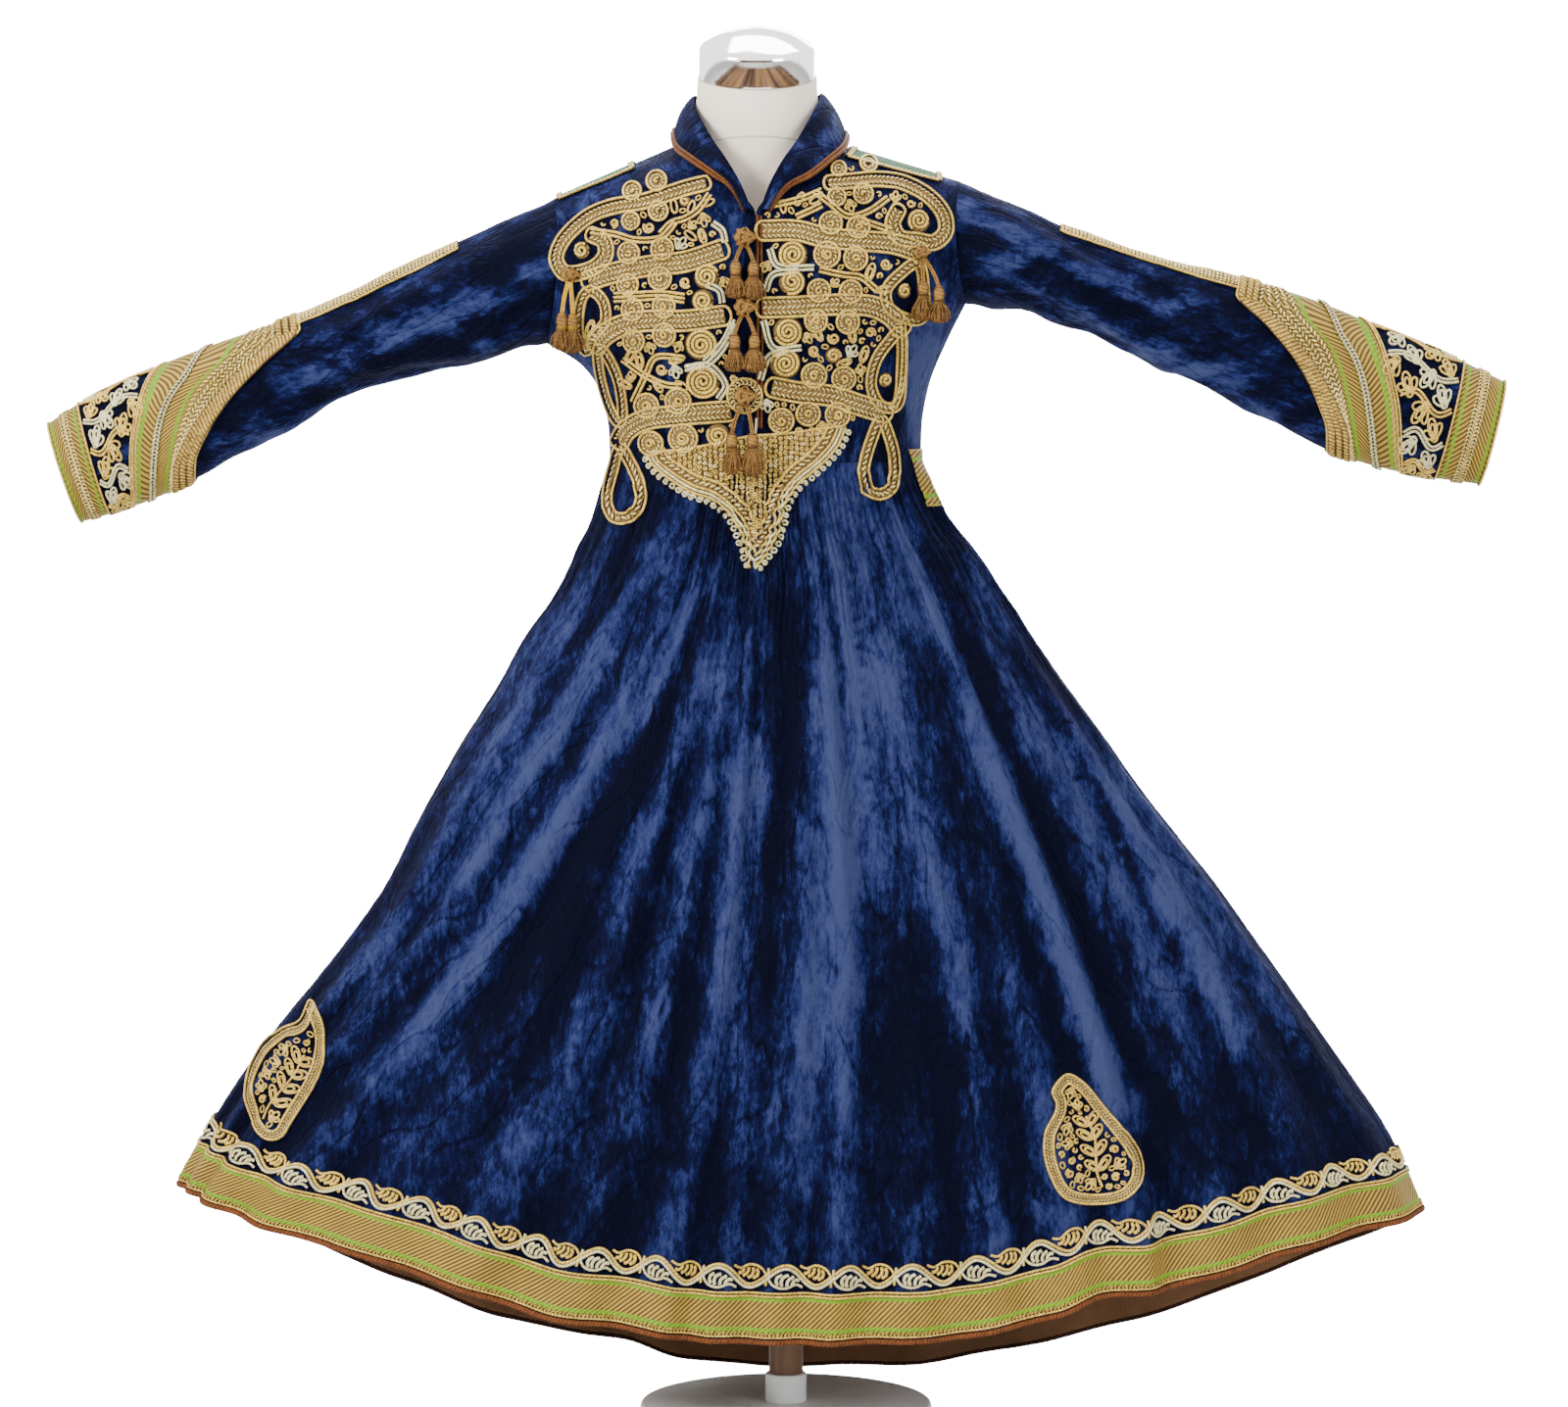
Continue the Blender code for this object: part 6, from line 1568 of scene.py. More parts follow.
hem = {
    "ribbonLow": 6.0, "ribbonTop": 52.0, "ribbonRows": 12, "ribbonLift": 0.8,
    "vineMiddle": 67.8, "vineSwing": 10.0, "period": 70.0, "hollow": 4.0,
    # a leaf, from the middle of its hollow: the arc over it and the lobes that hang from the arc
    "arc": [(17, -3), (16, 8), (9, 15.5), (-2, 17.5), (-12, 14), (-20, 17)],
    "lobes": [[(6, 14), (8, 10), (7, 6), (3, 4)], [(2, 15), (3, 10), (1, 6), (-3, 4)],
              [(-3, 15), (-3, 11), (-5, 8), (-9, 6)], [(-8, 14), (-9, 11), (-12, 9), (-15, 10)]],
}


def hemLengths(face):
    # The skirt's sheet, each column's length from waist to hem, and the run along the hem.
    made = skirtSheets[face]
    lengths = np.linalg.norm(np.diff(made.points, axis=0), axis=-1).sum(0)
    return made, lengths, runAlong(made.points[-1])


def onHem(face):
    # A way to lay braid near the hem, by the run along it and the height over its edge.
    made, lengths, run = hemLengths(face)

    def place(along, height):
        u = np.interp(along, run, made.us)
        length = np.interp(u, made.us, lengths)
        point, out = made.at(u, 1 - height / length)
        return tuple(point), tuple(out)
    return place


def addHemRibbon(face):
    made, lengths, run = hemLengths(face)
    points, uvs = [], []
    for r in range(hem["ribbonRows"] + 1):
        height = mix(hem["ribbonLow"], hem["ribbonTop"], r / hem["ribbonRows"])
        for along, u, length in zip(run, made.us, lengths):
            points.append(toScene(made.at(u, 1 - height / length, hem["ribbonLift"])[0]))
            uvs.append((along * mm, height * mm))
    name = faceNames[face]
    ribbon = addRibbon("hemRibbon" + name.capitalize(), points, uvs, len(run), not made.turned, "hemRibbon",
                       ["skirt_" + name])
    fit(ribbon, "gold_ribbon", "hem_ribbon_" + name)


def addVine(lace, total):
    # A waving double stem, with gold leaves upwards and silver ones downwards.
    middle, swing, period = hem["vineMiddle"], hem["vineSwing"], hem["period"]
    wave = np.array([(a, middle + swing * math.sin(2 * math.pi * a / period))
                     for a in np.arange(0, total, 2.2)])
    for offset, finish in ((-1.7, "silver"), (1.7, "gold")):
        lace.cord(sideways(wave, offset), 1.8, finish, 0.3)
    for n in range(int(2 * total / period)):
        centre = (n + 0.5) * period / 2
        hand, finish = (1, "gold") if n % 2 else (-1, "silver")
        base = middle - hand * (swing - hem["hollow"])
        arc, *lobes = [[(centre + hand * a, base + hand * b) for a, b in line]
                       for line in (hem["arc"], *hem["lobes"])]
        lace.cord(resample(arc), 1.6, finish, 0.3)
        for lobe in lobes:
            lace.cord(resample(lobe, 1.6), 2.0, finish, 0.2)


def addHem(face):
    addHemRibbon(face)
    name = faceNames[face]
    total = hemLengths(face)[2][-1]
    lace = Strands(onHem(face))

    def whole(height):
        return np.array([(along, height) for along in np.arange(0, total, 2.6)])

    lace.plait(whole(8.6), 4.6, "gold", 0.9)
    lace.cord(whole(6.2), 1.0, "gold", 0.8)
    for height in (47.5, 51.0):
        lace.cord(whole(height), 1.3, "gold", 0.7)
    addVine(lace, total)
    lace.build("hemVine" + name.capitalize(), ["hem_vine_" + name])
    # rust piping rolled over the edge
    piping = Strands(onHem(face))
    edge = np.array([(along, 1.2) for along in np.linspace(0, total, int(total / 3))])
    points, outs = piping.onCloth(edge, 0.2, 3)
    piping.tube("rust", points, outs, 3.1, 10, 0.95)
    piping.build("hemPiping" + name.capitalize(), ["hem_piping_" + name])


for face in (front, back):
    addHem(face)
print("hem made")


# paisleys

paisleys = {  # outline, clockwise from the curled tip; the middle of the stem and its slant
    "left": ([(-454, 432), (-440, 418), (-434, 384), (-444, 354), (-466, 318), (-479, 298), (-497, 296),
              (-513, 314), (-521, 346), (-508, 380), (-484, 402), (-464, 412)], (-478, 345), 60),
    "right": ([(310, 371), (330, 362), (348, 341), (370, 314), (384, 290), (386, 268), (374, 249), (352, 240),
               (325, 241), (303, 252), (289, 282), (287, 312), (298, 338), (294, 356)], (340, 290), 105),
}


def addPaisley(side):
    lace = Strands(chestPlace)
    outline, middle, slant = paisleys[side]
    outline = resample(outline, 2.0, True)
    lace.backing(sideways(outline, -5.4), 5.0)
    for inset in (1.4, 10.0):
        lace.cord(sideways(outline, -inset), 1.7, "gold", 0.3)
    for inset, hand in ((4.2, 1), (7.4, -1)):
        lace.rope(sideways(outline, -inset), 4.0, hand, "plait", 0.5)
    for step in (-16, 0, 16, 30):
        for hand in (-1, 1):
            lace.leaf(*(middle + heading(slant) * step), 18, slant + hand * 48, 0.42, "gold", 0.1, 1.4)
    stem = [middle + heading(slant) * d + np.array([4 * math.sin(d / 14), 0]) for d in (-34, -18, 0, 18, 40)]
    lace.cord(resample(stem), 1.7, "gold", 0.3)
    lace.fill(sideways(outline, -11), 6.5, 2.0, 0.5, 8, 3.4)
    lace.build("paisley" + side.capitalize(), ["paisley_" + side])


for side in sides:
    addPaisley(side)
print("paisleys made")


# collar

collarTable = {  # fold line, then outer edge; an edge of two numbers lies on the front there
    "left": [((-5, -117, 1232), (-10, 1229)), ((-15, -113, 1257), (-24, 1253)),
              ((-29, -102, 1281), (-43, 1265)), ((-44, -80, 1303), (-64, 1277)),
              ((-58, -46, 1328), (-80, -46, 1294)), ((-64, 0, 1346), (-84, 0, 1311))],
    "right": [((5, -117, 1232), (12, 1229)), ((14, -113, 1257), (30, 1252)), ((27, -101, 1281), (54, 1263)),
               ((41, -79, 1301), (74, 1277)), ((58, -46, 1331), (88, -46, 1294)),
               ((66, 0, 1350), (92, 0, 1308))],
    # round the back: turn from the shoulder, fold height, edge height, neckline row
    "back": [(22.5, 1349, 1306, 11), (45, 1350, 1303, 10), (67.5, 1350, 1301, 9), (90, 1350, 1300, 8)],
    "backFold": 79.0, "backEdge": 98.0, "columns": 150, "rows": 36,
    "piping": [(0.4, 2.3), (-3.4, 1.7)],  # each cord's place past the edge, and its radius
}


def collarColumns():
    columns = []
    for side in sides:
        half = []
        for row, (fold, edge) in enumerate(collarTable[side], 7):
            seam = bodicePoint(side, front, 0.0, row)
            if len(edge) == 2:
                point, way = chestPlace(*edge)
                lift = 3.6 + 3.0 * smooth((edge[1] - 1250) / 25)
                outer = Vector(point) + Vector(way) * lift
            else:
                outer = Vector(edge)
            half.append([seam, Vector(fold), outer])
        for turn, foldZ, edgeZ, row in collarTable["back"]:
            angle = math.radians(turn)
            seam = bodicePoint(side, back, 0.0, row)
            sideFold, sideEdge = collarTable[side][-1]
            fold = Vector((sideFold[0] * math.cos(angle), collarTable["backFold"] * math.sin(angle), foldZ))
            edge = Vector((sideEdge[0] * math.cos(angle), collarTable["backEdge"] * math.sin(angle), edgeZ))
            half.append([seam, fold, edge])
        columns.append(half)
    full = columns[0] + list(reversed(columns[1]))[1:]
    made = []
    for seam, fold, edge in full:
        stand = mix(seam, fold, 0.55) + Vector((-seam.x, -seam.y, 0)).normalized()
        bulge = Vector((edge.x - seam.x, edge.y - seam.y, 0)).normalized()
        made.append([seam, stand, mix(stand, fold, 0.72), fold, mix(fold, edge, 0.16) + bulge * 3.4,
                     mix(fold, edge, 0.5) + bulge * 4.2, edge])
    return np.array(made)


def throughPoints(points, place):
    # A smooth curve through rows of points, at a place counted in rows.
    last = len(points) - 1
    low = min(int(place), last - 1)
    before, after = points[max(0, low - 1)], points[min(last, low + 2)]
    return curved(before, points[low], points[low + 1], after, place - low)


collarPoints = collarColumns()


def collarPoint(u, v):
    return throughPoints(throughPoints(collarPoints, u), v)


def collarInside(u, v):
    x, y, z = collarPoint(u, v)
    return (0, 0, z) if v > 3 else (2 * x, 2 * y, z)


def collarNap(u, v, x, y, z):
    return 0.34 + 0.5 * rough(u * 9, v * 6, 0, 7, 3.0)


def addCollar():
    sheet = Sheet(collarPoint, spaced(0, len(collarPoints) - 1, collarTable["columns"]),
                  spaced(0, 6, collarTable["rows"]), collarInside)
    piece = sheet.build("collarVelvet", "velvet", collarNap)
    thicken(piece, thick["collar"])
    sheet.declare(piece, "folded", bodicePanels)
    fit(piece, "velvet", "collar")
    lace = Strands()
    edge, outs = sheet.points[-1], sheet.outs[-1]
    away = unit(edge - sheet.points[-4])
    for shift, radius in collarTable["piping"]:
        lace.tube("copper", edge + away * shift + outs * 0.6, outs, radius, 9)
    lace.build("collarPiping", ["collar_piping"])


addCollar()


# the front's edging, the waist ribbon and the shoulder panels

frontEdging = {"rows": (1.0, 7.0), "cords": [(0.006, 1.5), (0.020, 1.3)]}  # of each: place across, radius
belt = {
    "deep": 0.0655, "ribbon": 0.056, "lift": 1.0, "back": (0.02, len(backFolds) + 0.98),
    "end": (len(frontFolds) + 0.2, len(frontFolds) + 0.99),
    "front": [(925, 460), (944, 518)], "frontSteps": 14, "frontLift": 2.2,  # where its end shows on the photo
}
shoulder = {
    "shares": {"left": (0.38, 0.96), "right": (0.18, 0.82)}, "backRow": 9.0, "topRow": 11.99, "lift": 1.6,
    "frontRow": {"left": 11.1, "right": 10.75},
}


def addEdging():
    made = bodiceSheets["right", front]
    lace = Strands()
    for share, radius in frontEdging["cords"]:
        points, outs = zip(*[made.at(share, row, radius * 0.8) for row in spaced(*frontEdging["rows"], 90)])
        lace.tube("copper", points, outs, radius, 8)
    lace.build("frontEdging", ["front_edging"])


def addPatch(name, made, us, vs, finish, lift, rests):
    # A thin sheet that follows a stretch of another one.
    grid = np.array([[made.at(u, v, lift)[0] for u in us] for v in vs])
    downs = np.concatenate([[0], np.cumsum(np.linalg.norm(np.diff(grid, axis=0), axis=-1).mean(1))])
    uvs = [(run * mm, down * mm) for row, down in zip(grid, downs) for run in runAlong(row)]
    points = [toScene(point) for point in grid.reshape(-1, 3)]
    return addRibbon(name, points, uvs, len(us), made.turned, finish, rests)


def addBelt():
    downs = spaced(0.0, belt["deep"], 10)
    piece = addPatch("waistBelt", skirtSheets[back], spaced(*belt["back"], 200), downs, "beltRibbon",
                     belt["lift"], ["skirt_back"])
    fit(piece, "gold_ribbon", "waist_belt")
    piece = addPatch("waistBeltEnd", skirtSheets[front], spaced(*belt["end"], 16), downs, "beltRibbon",
                     belt["lift"], ["skirt_front"])
    fit(piece, "gold_ribbon")


def addBeltFront():
    # From the belt's end to the edge the viewer sees, over the seam and the gathers.
    (x1, z1), (x2, z2) = seenAll(belt["front"], "belt")
    count = belt["frontSteps"]
    points, uvs, faces = [], [], []
    for r in range(count + 1):
        t = r / count
        z = mix(z1, z2, t)
        low = mix(x1, x2, t)
        high = max(x for x in np.arange(low, low + 60, 0.5) if chestPlace(x, z))
        for c in range(count + 1):
            x = mix(low, high - 0.3, c / count)
            point, out = chestPlace(x, z)
            points.append(toScene(Vector(point) + Vector(out) * belt["frontLift"]))
            uvs.append((x * mm, t * belt["ribbon"]))
    for r in range(count):
        for c in range(count):
            a = r * (count + 1) + c
            faces.append((a, a + count + 1, a + count + 2, a + 1))
    piece = addMesh("waistBeltFront", points, faces, ["beltRibbon"], uvs)
    thicken(piece, thick["ribbon"])
    grid = np.array(points).reshape(count + 1, count + 1, 3) / mm
    declareCloth(grid)
    fit(piece, "gold_ribbon")


def addShoulder(side):
    # A panel on the back and one on the front, each with braid along three edges.
    low, high = shoulder["shares"][side]
    top = shoulder["topRow"]
    lace = Strands()
    for face, row, number in ((back, shoulder["backRow"], "1"), (front, shoulder["frontRow"][side], "2")):
        sheet = bodiceSheets[side, face]
        piece = addPatch("shoulderPanel" + side.capitalize() + number, sheet, spaced(low, high, 24),
                         spaced(row, top, 20), "greenSilk", shoulder["lift"],
                         ["bodice_back", "bodice_front_" + side])
        fit(piece, "green_silk", *(["shoulder_panel_" + side] if face == back else []))
        lines = [[(u, row) for u in spaced(low, high, 40)]]
        lines += [[(u, v) for v in spaced(row, top, 30)] for u in (low, high)]
        for line in lines:
            points, outs = [np.array(found) for found in zip(*[sheet.at(u, v, 2.4) for u, v in line])]
            lace.grains("plait", points + outs * 0.9, outs, 6.0)
            lace.tube("gold", points, outs, 3.0, 8, 0.35)
    lace.build("shoulderBraid" + side.capitalize())


addEdging()
addBelt()
addBeltFront()
for side in sides:
    addShoulder(side)
print("collar, edging and belt made")


# knots and tassels

tassels = {
    # knot x, y and radius; then each tassel: head x, head y, foot y; then the cord's finish
    "centre_1": ((760, 246, 12), [(751, 272, 309), (769, 273, 311)], "knot"),
    "centre_2": ((760, 316, 12), [(750, 346, 383), (770, 346, 384)], "knot"),
    "centre_3": ((760, 406, 12), [(747, 446, 487), (768, 446, 488)], "knot"),
    "side_left": ((581, 283, 10), [(573, 325, 362), (584, 326, 365)], "yellow"),
    "side_right": ((940, 261, 9), [(942, 292, 332), (958, 298, 334)], "knot"),
}
tassel = {
    "headShape": [(3, 0.30), (1.5, 0.62), (-1, 0.86), (-5, 1.0), (-9, 0.92), (-11, 0.72), (-12.5, 0.80),
                  (-14, 0.9)],
    "headRadius": 6.0, "windings": [(-11.2, 4.9), (-12.4, 4.9), (1.0, 3.6)],  # height and radius
    "threads": 110, "reach": 5.4, "sway": 3.4, "threadRadius": 0.7, "proud": 10.0,
    "sideDepth": -130.0, "sideFace": -125,  # a side knot hangs no further forward
}
# the way out of tassel cords, the side the cord finish paints lit, with painted shade on the others
towardsViewer = (0, -1, 0)


def hoop(x, y, z, radius, count, lying=False):
    turns = np.linspace(0, 2 * math.pi, count)
    if lying:
        return [(x + radius * math.cos(a), y + radius * math.sin(a), z) for a in turns]
    return [(x + radius * math.cos(a), y, z + radius * math.sin(a)) for a in turns]


def addKnot(lace, centre, radius):
    # A cord wound in loops over a ball.
    loops = []
    for t in np.linspace(0, 1, 150):
        turn = t * 2 * math.pi * 5
        tilt = 0.9 * math.sin(t * 2 * math.pi * 3)
        way = Vector((math.cos(turn), math.sin(turn) * 0.8, math.sin(tilt) * 0.5))
        way = (Matrix.Rotation(t * 2 * math.pi, 3, "Y") @ way).normalized() * (radius * 0.80)
        loops.append(centre + Vector((way.x * 1.2, way.y * 0.8, way.z * 0.85)))
    outs = [tuple((p - centre).normalized()) for p in loops]
    lace.tube("knot", [tuple(p) for p in loops], outs, radius * 0.15, 7)
    shares = np.linspace(-1, 1, 9)
    core = [(centre.x + radius * 0.9 * s, centre.y, centre.z) for s in shares]
    lace.tube("knot", core, [towardsViewer] * 9, radius * 0.66, 12,
              taper=[math.sqrt(max(0.02, 1 - s * s)) for s in shares])


def hangDepth(name, heads, depth):
    # The nearest cloth behind the tassels, which hang clear of it.
    nearest = depth
    for x, y, foot in heads:
        for px in (x - 8, x, x + 8):
            for py in range(y, foot, 6):
                spot = chestPlace(*seen(px, py, "knot"))
                if spot is not None and (not name.startswith("side") or spot[0][1] > tassel["sideFace"]):
                    nearest = min(nearest, spot[0][1])
    return nearest - tassel["proud"]


def addHead(lace, head, tie):
    # A wound head over the fringe.
    shape = tassel["headShape"]
    body = [(head.x, head.y, head.z + z) for z, _ in shape]
    lace.tube("knot", body, [towardsViewer] * len(body), tassel["headRadius"], 14,
              taper=[r for _, r in shape])
    for height, reach in tassel["windings"]:
        lace.tube(tie, hoop(head.x, head.y, head.z + height, reach, 20, True), [(0, 0, 1)] * 20, 0.8, 5)


def addFringe(lace, head, length, chance):
    for n in range(tassel["threads"]):
        turn = chance.uniform(0, 2 * math.pi)
        share = math.sqrt(chance.uniform(0, 1))
        reach = share * tassel["reach"]
        spread = 1.5 + chance.uniform(0.0, 0.8)
        sway = chance.uniform(-tassel["sway"], tassel["sway"])
        thread = []
        for t in np.linspace(0, 1, 7):
            widen = mix(0.8, spread, smooth(t * 1.4)) + chance.uniform(-0.08, 0.08)
            thread.append((head.x + reach * widen * math.cos(turn) + sway * t * t,
                           head.y + reach * widen * math.sin(turn) * 0.8,
                           head.z - 11 - length * t * (1 - 0.22 * share * share)))
        lace.tube("knot" if n % 4 == 0 else "thread", thread, [towardsViewer] * 7, tassel["threadRadius"], 4)


def addTassels(name, knot, heads, tie):
    x, y, radius = knot
    lace = Strands(chestPlace)
    chance = random.Random(len(name) + x)
    kx, kz = seen(x, y, "knot")
    depth = chestPlace(kx, kz)[0][1]
    if name.startswith("side"):
        depth = max(depth, tassel["sideDepth"])
    centre = Vector((kx, depth - 8.0, kz))
    addKnot(lace, centre, radius)
    if name == "centre_3":
        lace.tube("gold", hoop(centre.x, centre.y + 5, centre.z, 17, 40), [towardsViewer] * 40, 1.6, 7)
        inner = hoop(centre.x, centre.y + 4.4, centre.z, 13, 36)
        lace.grains("plait", inner, [towardsViewer] * 36, 5.5)
    hangY = hangDepth(name, heads, depth)
    for headX, headY, footY in heads:
        hx, hz = seen(headX, headY, "tassel")
        footZ = seen(hx, footY, "tassel")[1]
        head = Vector((hx, hangY, hz))
        start = centre + Vector(((hx - centre.x) * 0.15, 0, -radius * 0.5))
        bend = mix(start, head, 0.5) + Vector(((hx - centre.x) * 0.12, -1.5, 0))
        path = resample([tuple(start), tuple(bend), tuple(head + Vector((0, 0, 2)))])
        for shift in (-1.1, 1.1):
            lace.tube(tie, path + np.array([shift, 0, 0]), [towardsViewer] * len(path), 1.15, 6)
        addHead(lace, head, tie)
        addFringe(lace, head, head.z - 12 - footZ, chance)
    lace.build("tassel_" + name, ["knot_" + name, "tassels_" + name])


for name, (knot, heads, tie) in tassels.items():
    addTassels(name, knot, heads, tie)
print("tassels made")


# the dress form and its stand

form = {
    "rings": [  # height, half width, front depth, back depth, middle y
        (655, 104, 60, 66, 0), (700, 146, 86, 92, 0), (760, 158, 94, 98, 0), (850, 148, 88, 90, 0),
        (930, 118, 74, 72, 0), (980, 112, 72, 68, 0), (1060, 126, 88, 76, 0), (1130, 138, 102, 84, 0),
        (1190, 140, 92, 80, 0), (1230, 118, 74, 70, 0), (1258, 92, 62, 60, 0), (1280, 72, 56, 56, -2),
        (1300, 66, 56, 58, -4), (1322, 64.5, 58, 60, -6), (1345, 61, 56, 57, -10), (1366, 60, 56, 56, -13),
    ],
    "around": 96, "x": 1.0, "tilt": math.radians(15.0), "tiltFrom": 1300, "tiltTo": 1366,
    # the neck's cap: height and radius, then where it sits
    "capProfile": [(0, 58.2), (2, 58.6), (27, 58.3), (29.5, 57.7), (32, 56.2), (34.5, 52.5), (39.5, 44),
                   (45, 32), (48.5, 18), (50, 0.5)],
    "capZ": 1366.6, "capY": -13.0,
}
stand = {
    # radius, low, high and rounded edge in metres, then finish, slot and node
    "standPole": ((0.0175, 0.0423, 0.6497, 0.0015), "standWood", "stand_wood", ["form_pole"]),
    "standBase": ((0.150, 0.0, 0.012, 0.004), "standPaint", "stand_base", ["form_base"]),
    "standSocket": ((0.021, 0.012, 0.042, 0.002), "standPaint", "stand_base", []),
}


def deselectAll():
    if bpy.context.active_object and bpy.context.active_object.mode != "OBJECT":
        bpy.ops.object.mode_set(mode="OBJECT")
    bpy.ops.object.select_all(action="DESELECT")


def addTorso():
    deselectAll()
    for number, (z, wide, frontDepth, backDepth, y) in enumerate(form["rings"]):
        if number:
            bpy.ops.mesh.select_all(action="DESELECT")
        bpy.ops.mesh.primitive_circle_add(vertices=form["around"], radius=1.0, location=(0, 0, 0))
        if number == 0:
            torso = bpy.context.active_object
            bpy.ops.object.mode_set(mode="EDIT")
        centre = toScene((form["x"], y + (backDepth - frontDepth) / 2, z))
        size = (wide * mm, (frontDepth + backDepth) / 2 * mm, 1.0)
        bpy.ops.transform.resize(value=size, center_override=(0, 0, 0))
        share = smooth((z - form["tiltFrom"]) / (form["tiltTo"] - form["tiltFrom"]))
        if share > 0:
            bpy.ops.transform.rotate(value=-form["tilt"] * share, orient_axis="X", center_override=(0, 0, 0))
        bpy.ops.transform.translate(value=centre)
    bpy.ops.mesh.select_all(action="SELECT")
    bpy.ops.mesh.bridge_edge_loops()
    bpy.ops.mesh.select_all(action="DESELECT")
    bpy.ops.mesh.select_non_manifold()
    bpy.ops.mesh.edge_face_add()
    bpy.ops.mesh.select_all(action="SELECT")
    bpy.ops.mesh.normals_make_consistent(inside=False)
    torso.name = "formTorso"
    return finished(torso, 50, "formJersey", "form_cover", "form_torso")


def finished(piece, sharpest, finish, slot, *nodes):
    # Out of edit mode, with soft shading up to that angle.
    bpy.ops.object.mode_set(mode="OBJECT")
    bpy.ops.object.shade_smooth_by_angle(angle=math.radians(sharpest))
    piece.data.materials.append(finishes[finish])
    return fit(piece, slot, *nodes)


def formMaterial():
    # Fine jersey, with the seam round the foot of the neck.
    shade = Shade("formJersey")
    place = shade.place()
    x, y, z = shade.parts(place)
    knit = (x + y).wave(0.0012) * z.wave(0.0009)
    patch = shade.noise(place, 9.0, 3.0, 0.6)
    seam = abs(z + y * 0.27 - 1.2885).below(0.0009)
    colour = shade.blend(patch, (0.93, 0.80, 0.66), (0.98, 0.88, 0.76))
    colour = shade.blend(seam * 0.7, colour, (0.50, 0.45, 0.39))
    normal = shade.relief(knit * 0.2 + patch * 0.3 - seam * 1.2, 0.0007, 0.5)
    return shade.finish(colour, 0.75, normal, specular=0.25)


def chromeMaterial():
    shade = Shade("neckChrome")
    place = shade.place()
    scratch = shade.noise(shade.scaled(place, (1.0, 1.0, 6.0)), 40.0, 4.0, 0.6)
    return shade.finish((0.90, 0.88, 0.86), 0.05 + scratch * 0.09, shade.relief(scratch, 0.0002, 0.3), 1.0)


def addCap():
    # The profile is spun round the upright axis, then tipped and set on the neck.
    deselectAll()
    mesh = bpy.data.meshes.new("neckCap")
    cap = bpy.data.objects.new("neckCap", mesh)
    bpy.context.scene.collection.objects.link(cap)
    mesh.from_pydata([(radius * mm, 0, z * mm) for z, radius in form["capProfile"]],
                     [(n, n + 1) for n in range(len(form["capProfile"]) - 1)], [])
    bpy.context.view_layer.objects.active = cap
    cap.select_set(True)
    bpy.ops.object.mode_set(mode="EDIT")
    bpy.ops.mesh.select_all(action="SELECT")
    bpy.ops.mesh.spin(steps=form["around"], angle=2 * math.pi, center=(0, 0, 0), axis=(0, 0, 1))
    bpy.ops.mesh.select_all(action="SELECT")
    bpy.ops.mesh.remove_doubles(threshold=0.00001)
    bpy.ops.mesh.normals_make_consistent(inside=False)
    bpy.ops.transform.rotate(value=-form["tilt"], orient_axis="X", center_override=(0, 0, 0))
    bpy.ops.transform.translate(value=toScene((form["x"], form["capY"], form["capZ"])))
    return finished(cap, 35, "neckChrome", "neck_chrome", "neck_cap")


def addRound(name, size, finish, slot, nodes):
    radius, low, high, bevel = size
    deselectAll()
    bpy.ops.mesh.primitive_cylinder_add(vertices=form["around"], radius=radius, depth=high - low,
                                        location=(0, 0, 0))
    made = bpy.context.active_object
    made.name = name
    bpy.ops.object.mode_set(mode="EDIT")
    bpy.ops.mesh.select_all(action="SELECT")
    bpy.ops.transform.translate(value=(0, 0, (low + high) / 2))
    bpy.ops.object.mode_set(mode="OBJECT")
    edge = made.modifiers.new("softEdge", "BEVEL")
    edge.width = bevel
    edge.segments = 3
    edge.limit_method = "ANGLE"
    bpy.ops.object.modifier_apply(modifier=edge.name)
    return finished(made, 35, finish, slot, *nodes)


def woodMaterial():
    shade = Shade("standWood")
    grain = shade.noise(shade.scaled(shade.place(), (60.0, 60.0, 3.0)), 1.0, 5.0, 0.6, 0.6)
    colour = shade.blend(grain.step(0.3, 0.7), (0.075, 0.034, 0.016), (0.16, 0.08, 0.038))
    return shade.finish(colour, 0.42 + grain * 0.12, shade.relief(grain, 0.0006, 0.4), specular=0.4)


def paintMaterial():
    shade = Shade("standPaint")
    fine = shade.noise(shade.place(), 400.0, 3.0)
    worn = shade.noise(shade.place(), 14.0, 4.0, 0.6)
    colour = shade.blend(worn, (0.72, 0.715, 0.70), (0.82, 0.815, 0.80))
    return shade.finish(colour, 0.38 + worn * 0.1, shade.relief(fine, 0.0002, 0.4), specular=0.4)


finishes.update(formJersey=formMaterial(), neckChrome=chromeMaterial(), standWood=woodMaterial(),
                standPaint=paintMaterial())
addTorso()
addCap()
for name, row in stand.items():
    addRound(name, *row)
print("form and stand made")


# floor, backdrop and the boards that the chrome mirrors


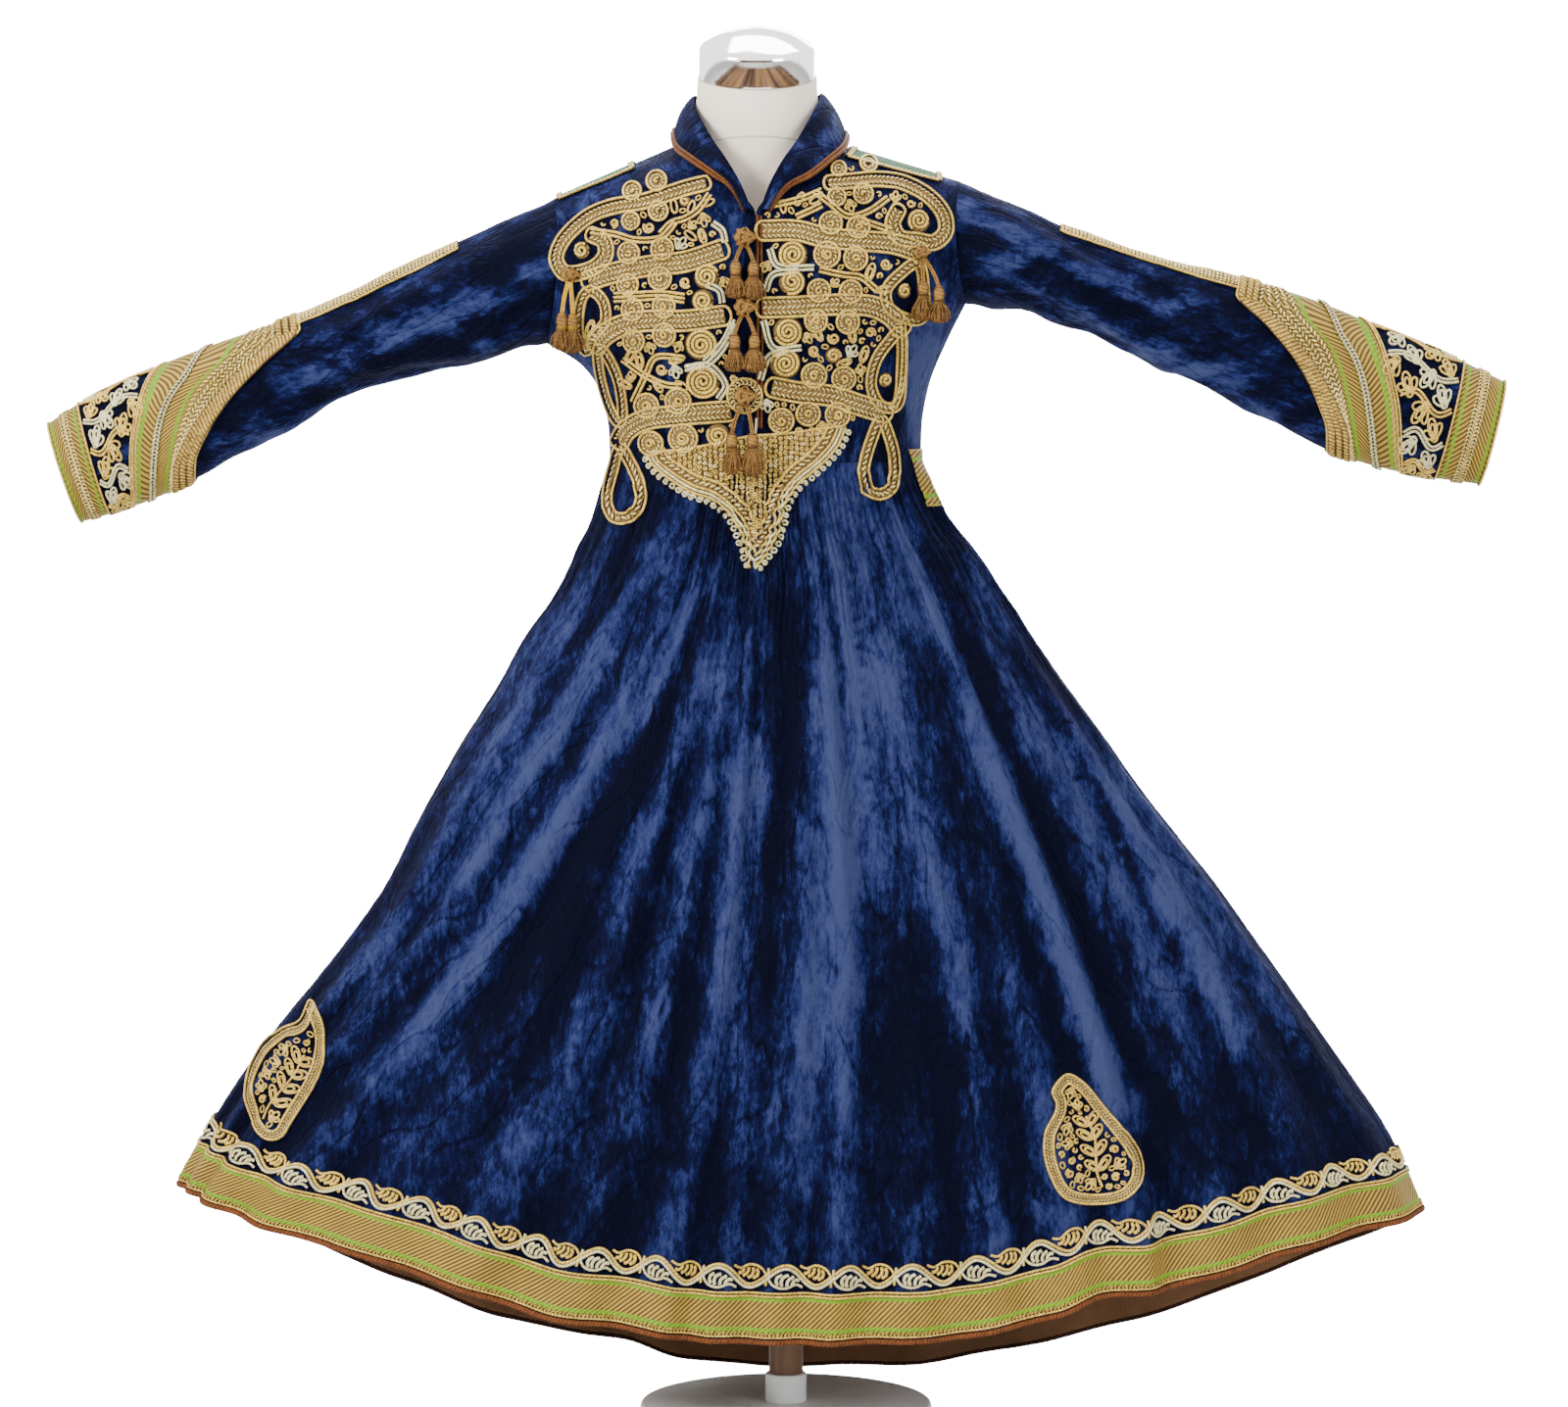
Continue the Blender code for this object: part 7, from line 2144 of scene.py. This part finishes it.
def addFloor():
    deselectAll()
    bpy.ops.mesh.primitive_circle_add(vertices=form["around"], radius=studio["floorRadius"], fill_type="NGON")
    floor = bpy.context.active_object
    floor.name = "studioFloor"
    shade = Shade("paper")
    floor.data.materials.append(shade.finish(studio["floorColour"], 0.9, specular=0.1))
    bright = shade.node("ShaderNodeEmission", None, {"Strength": studio["backdropStrength"]})
    backdrop(shade.tree, shade.surface, bright, "Material Output")
    floor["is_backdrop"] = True
    world = bpy.data.worlds.new("studioWorld")
    bpy.context.scene.world = world
    world.use_nodes = True
    plain = world.node_tree.nodes["Background"]
    mirror, bright = [world.node_tree.nodes.new("ShaderNodeBackground") for _ in range(2)]
    strengths = {plain: "worldStrength", mirror: "mirrorStrength", bright: "backdropStrength"}
    for made, strength in strengths.items():
        made.inputs["Color"].default_value = (*studio["worldColour"], 1.0)
        made.inputs["Strength"].default_value = studio[strength]
    plain = backdrop(world.node_tree, plain, mirror, "World Output", "Is Glossy Ray")
    backdrop(world.node_tree, plain, bright, "World Output")


def backdrop(tree, plain, bright, output, ray="Is Camera Ray"):
    # Paper white where the picture looks straight at it, and soft light everywhere else.
    rays = tree.nodes.new("ShaderNodeLightPath")
    mixed = tree.nodes.new("ShaderNodeMixShader")
    tree.links.new(rays.outputs[ray], mixed.inputs[0])
    tree.links.new(plain.outputs[0], mixed.inputs[1])
    tree.links.new(bright.outputs[0], mixed.inputs[2])
    tree.links.new(mixed.outputs[0], tree.nodes[output].inputs["Surface"])
    return mixed


def addCard(name, low, high, left=-4.5, right=4.5):
    # A dark board that only the chrome and the metal thread mirror.
    deselectAll()
    bpy.ops.mesh.primitive_grid_add(x_subdivisions=4, y_subdivisions=2, size=1.0)
    card = bpy.context.active_object
    card.name = name
    for vertex in card.data.vertices:
        x, y, _ = vertex.co
        vertex.co = (mix(left, right, x + 0.5), mix(low[0], high[0], y + 0.5), mix(low[1], high[1], y + 0.5))
    shade = Shade(name + "Paint")
    stripes = shade.noise(shade.scaled(shade.place(), (1.6, 0.05, 0.05)), 1.0, 2.0, 0.5).step(0.38, 0.62)
    colour = shade.blend(stripes, (0.022, 0.012, 0.012), (0.23, 0.125, 0.055))
    card.data.materials.append(shade.finish(colour, 0.9, specular=0.1))
    paper = shade.node("ShaderNodeBsdfDiffuse", None, {"Color": (*studio["floorColour"], 1.0)})
    bright = shade.node("ShaderNodeEmission", None, {"Strength": studio["backdropStrength"]})
    mirrored = backdrop(shade.tree, paper, shade.surface, "Material Output", "Is Glossy Ray")
    backdrop(shade.tree, mirrored, bright, "Material Output")
    card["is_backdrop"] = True


addCamera()
addLamps()
addFloor()
addCard("floorCard", (-4.3, 0.01), (-1.6, 0.01))
addCard("wallCard", (-6.8, 0.02), (-6.8, 2.6))
addCard("leftCard", (-1.6, 0.01), (0.7, 0.01), -4.5, -0.9)
addCard("rightCard", (-1.6, 0.01), (0.7, 0.01), 0.9, 4.5)

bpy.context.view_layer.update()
meshes = [item.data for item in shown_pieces() if item.type == "MESH"]
print("triangles", sum(len(face.vertices) - 2 for mesh in meshes for face in mesh.polygons))
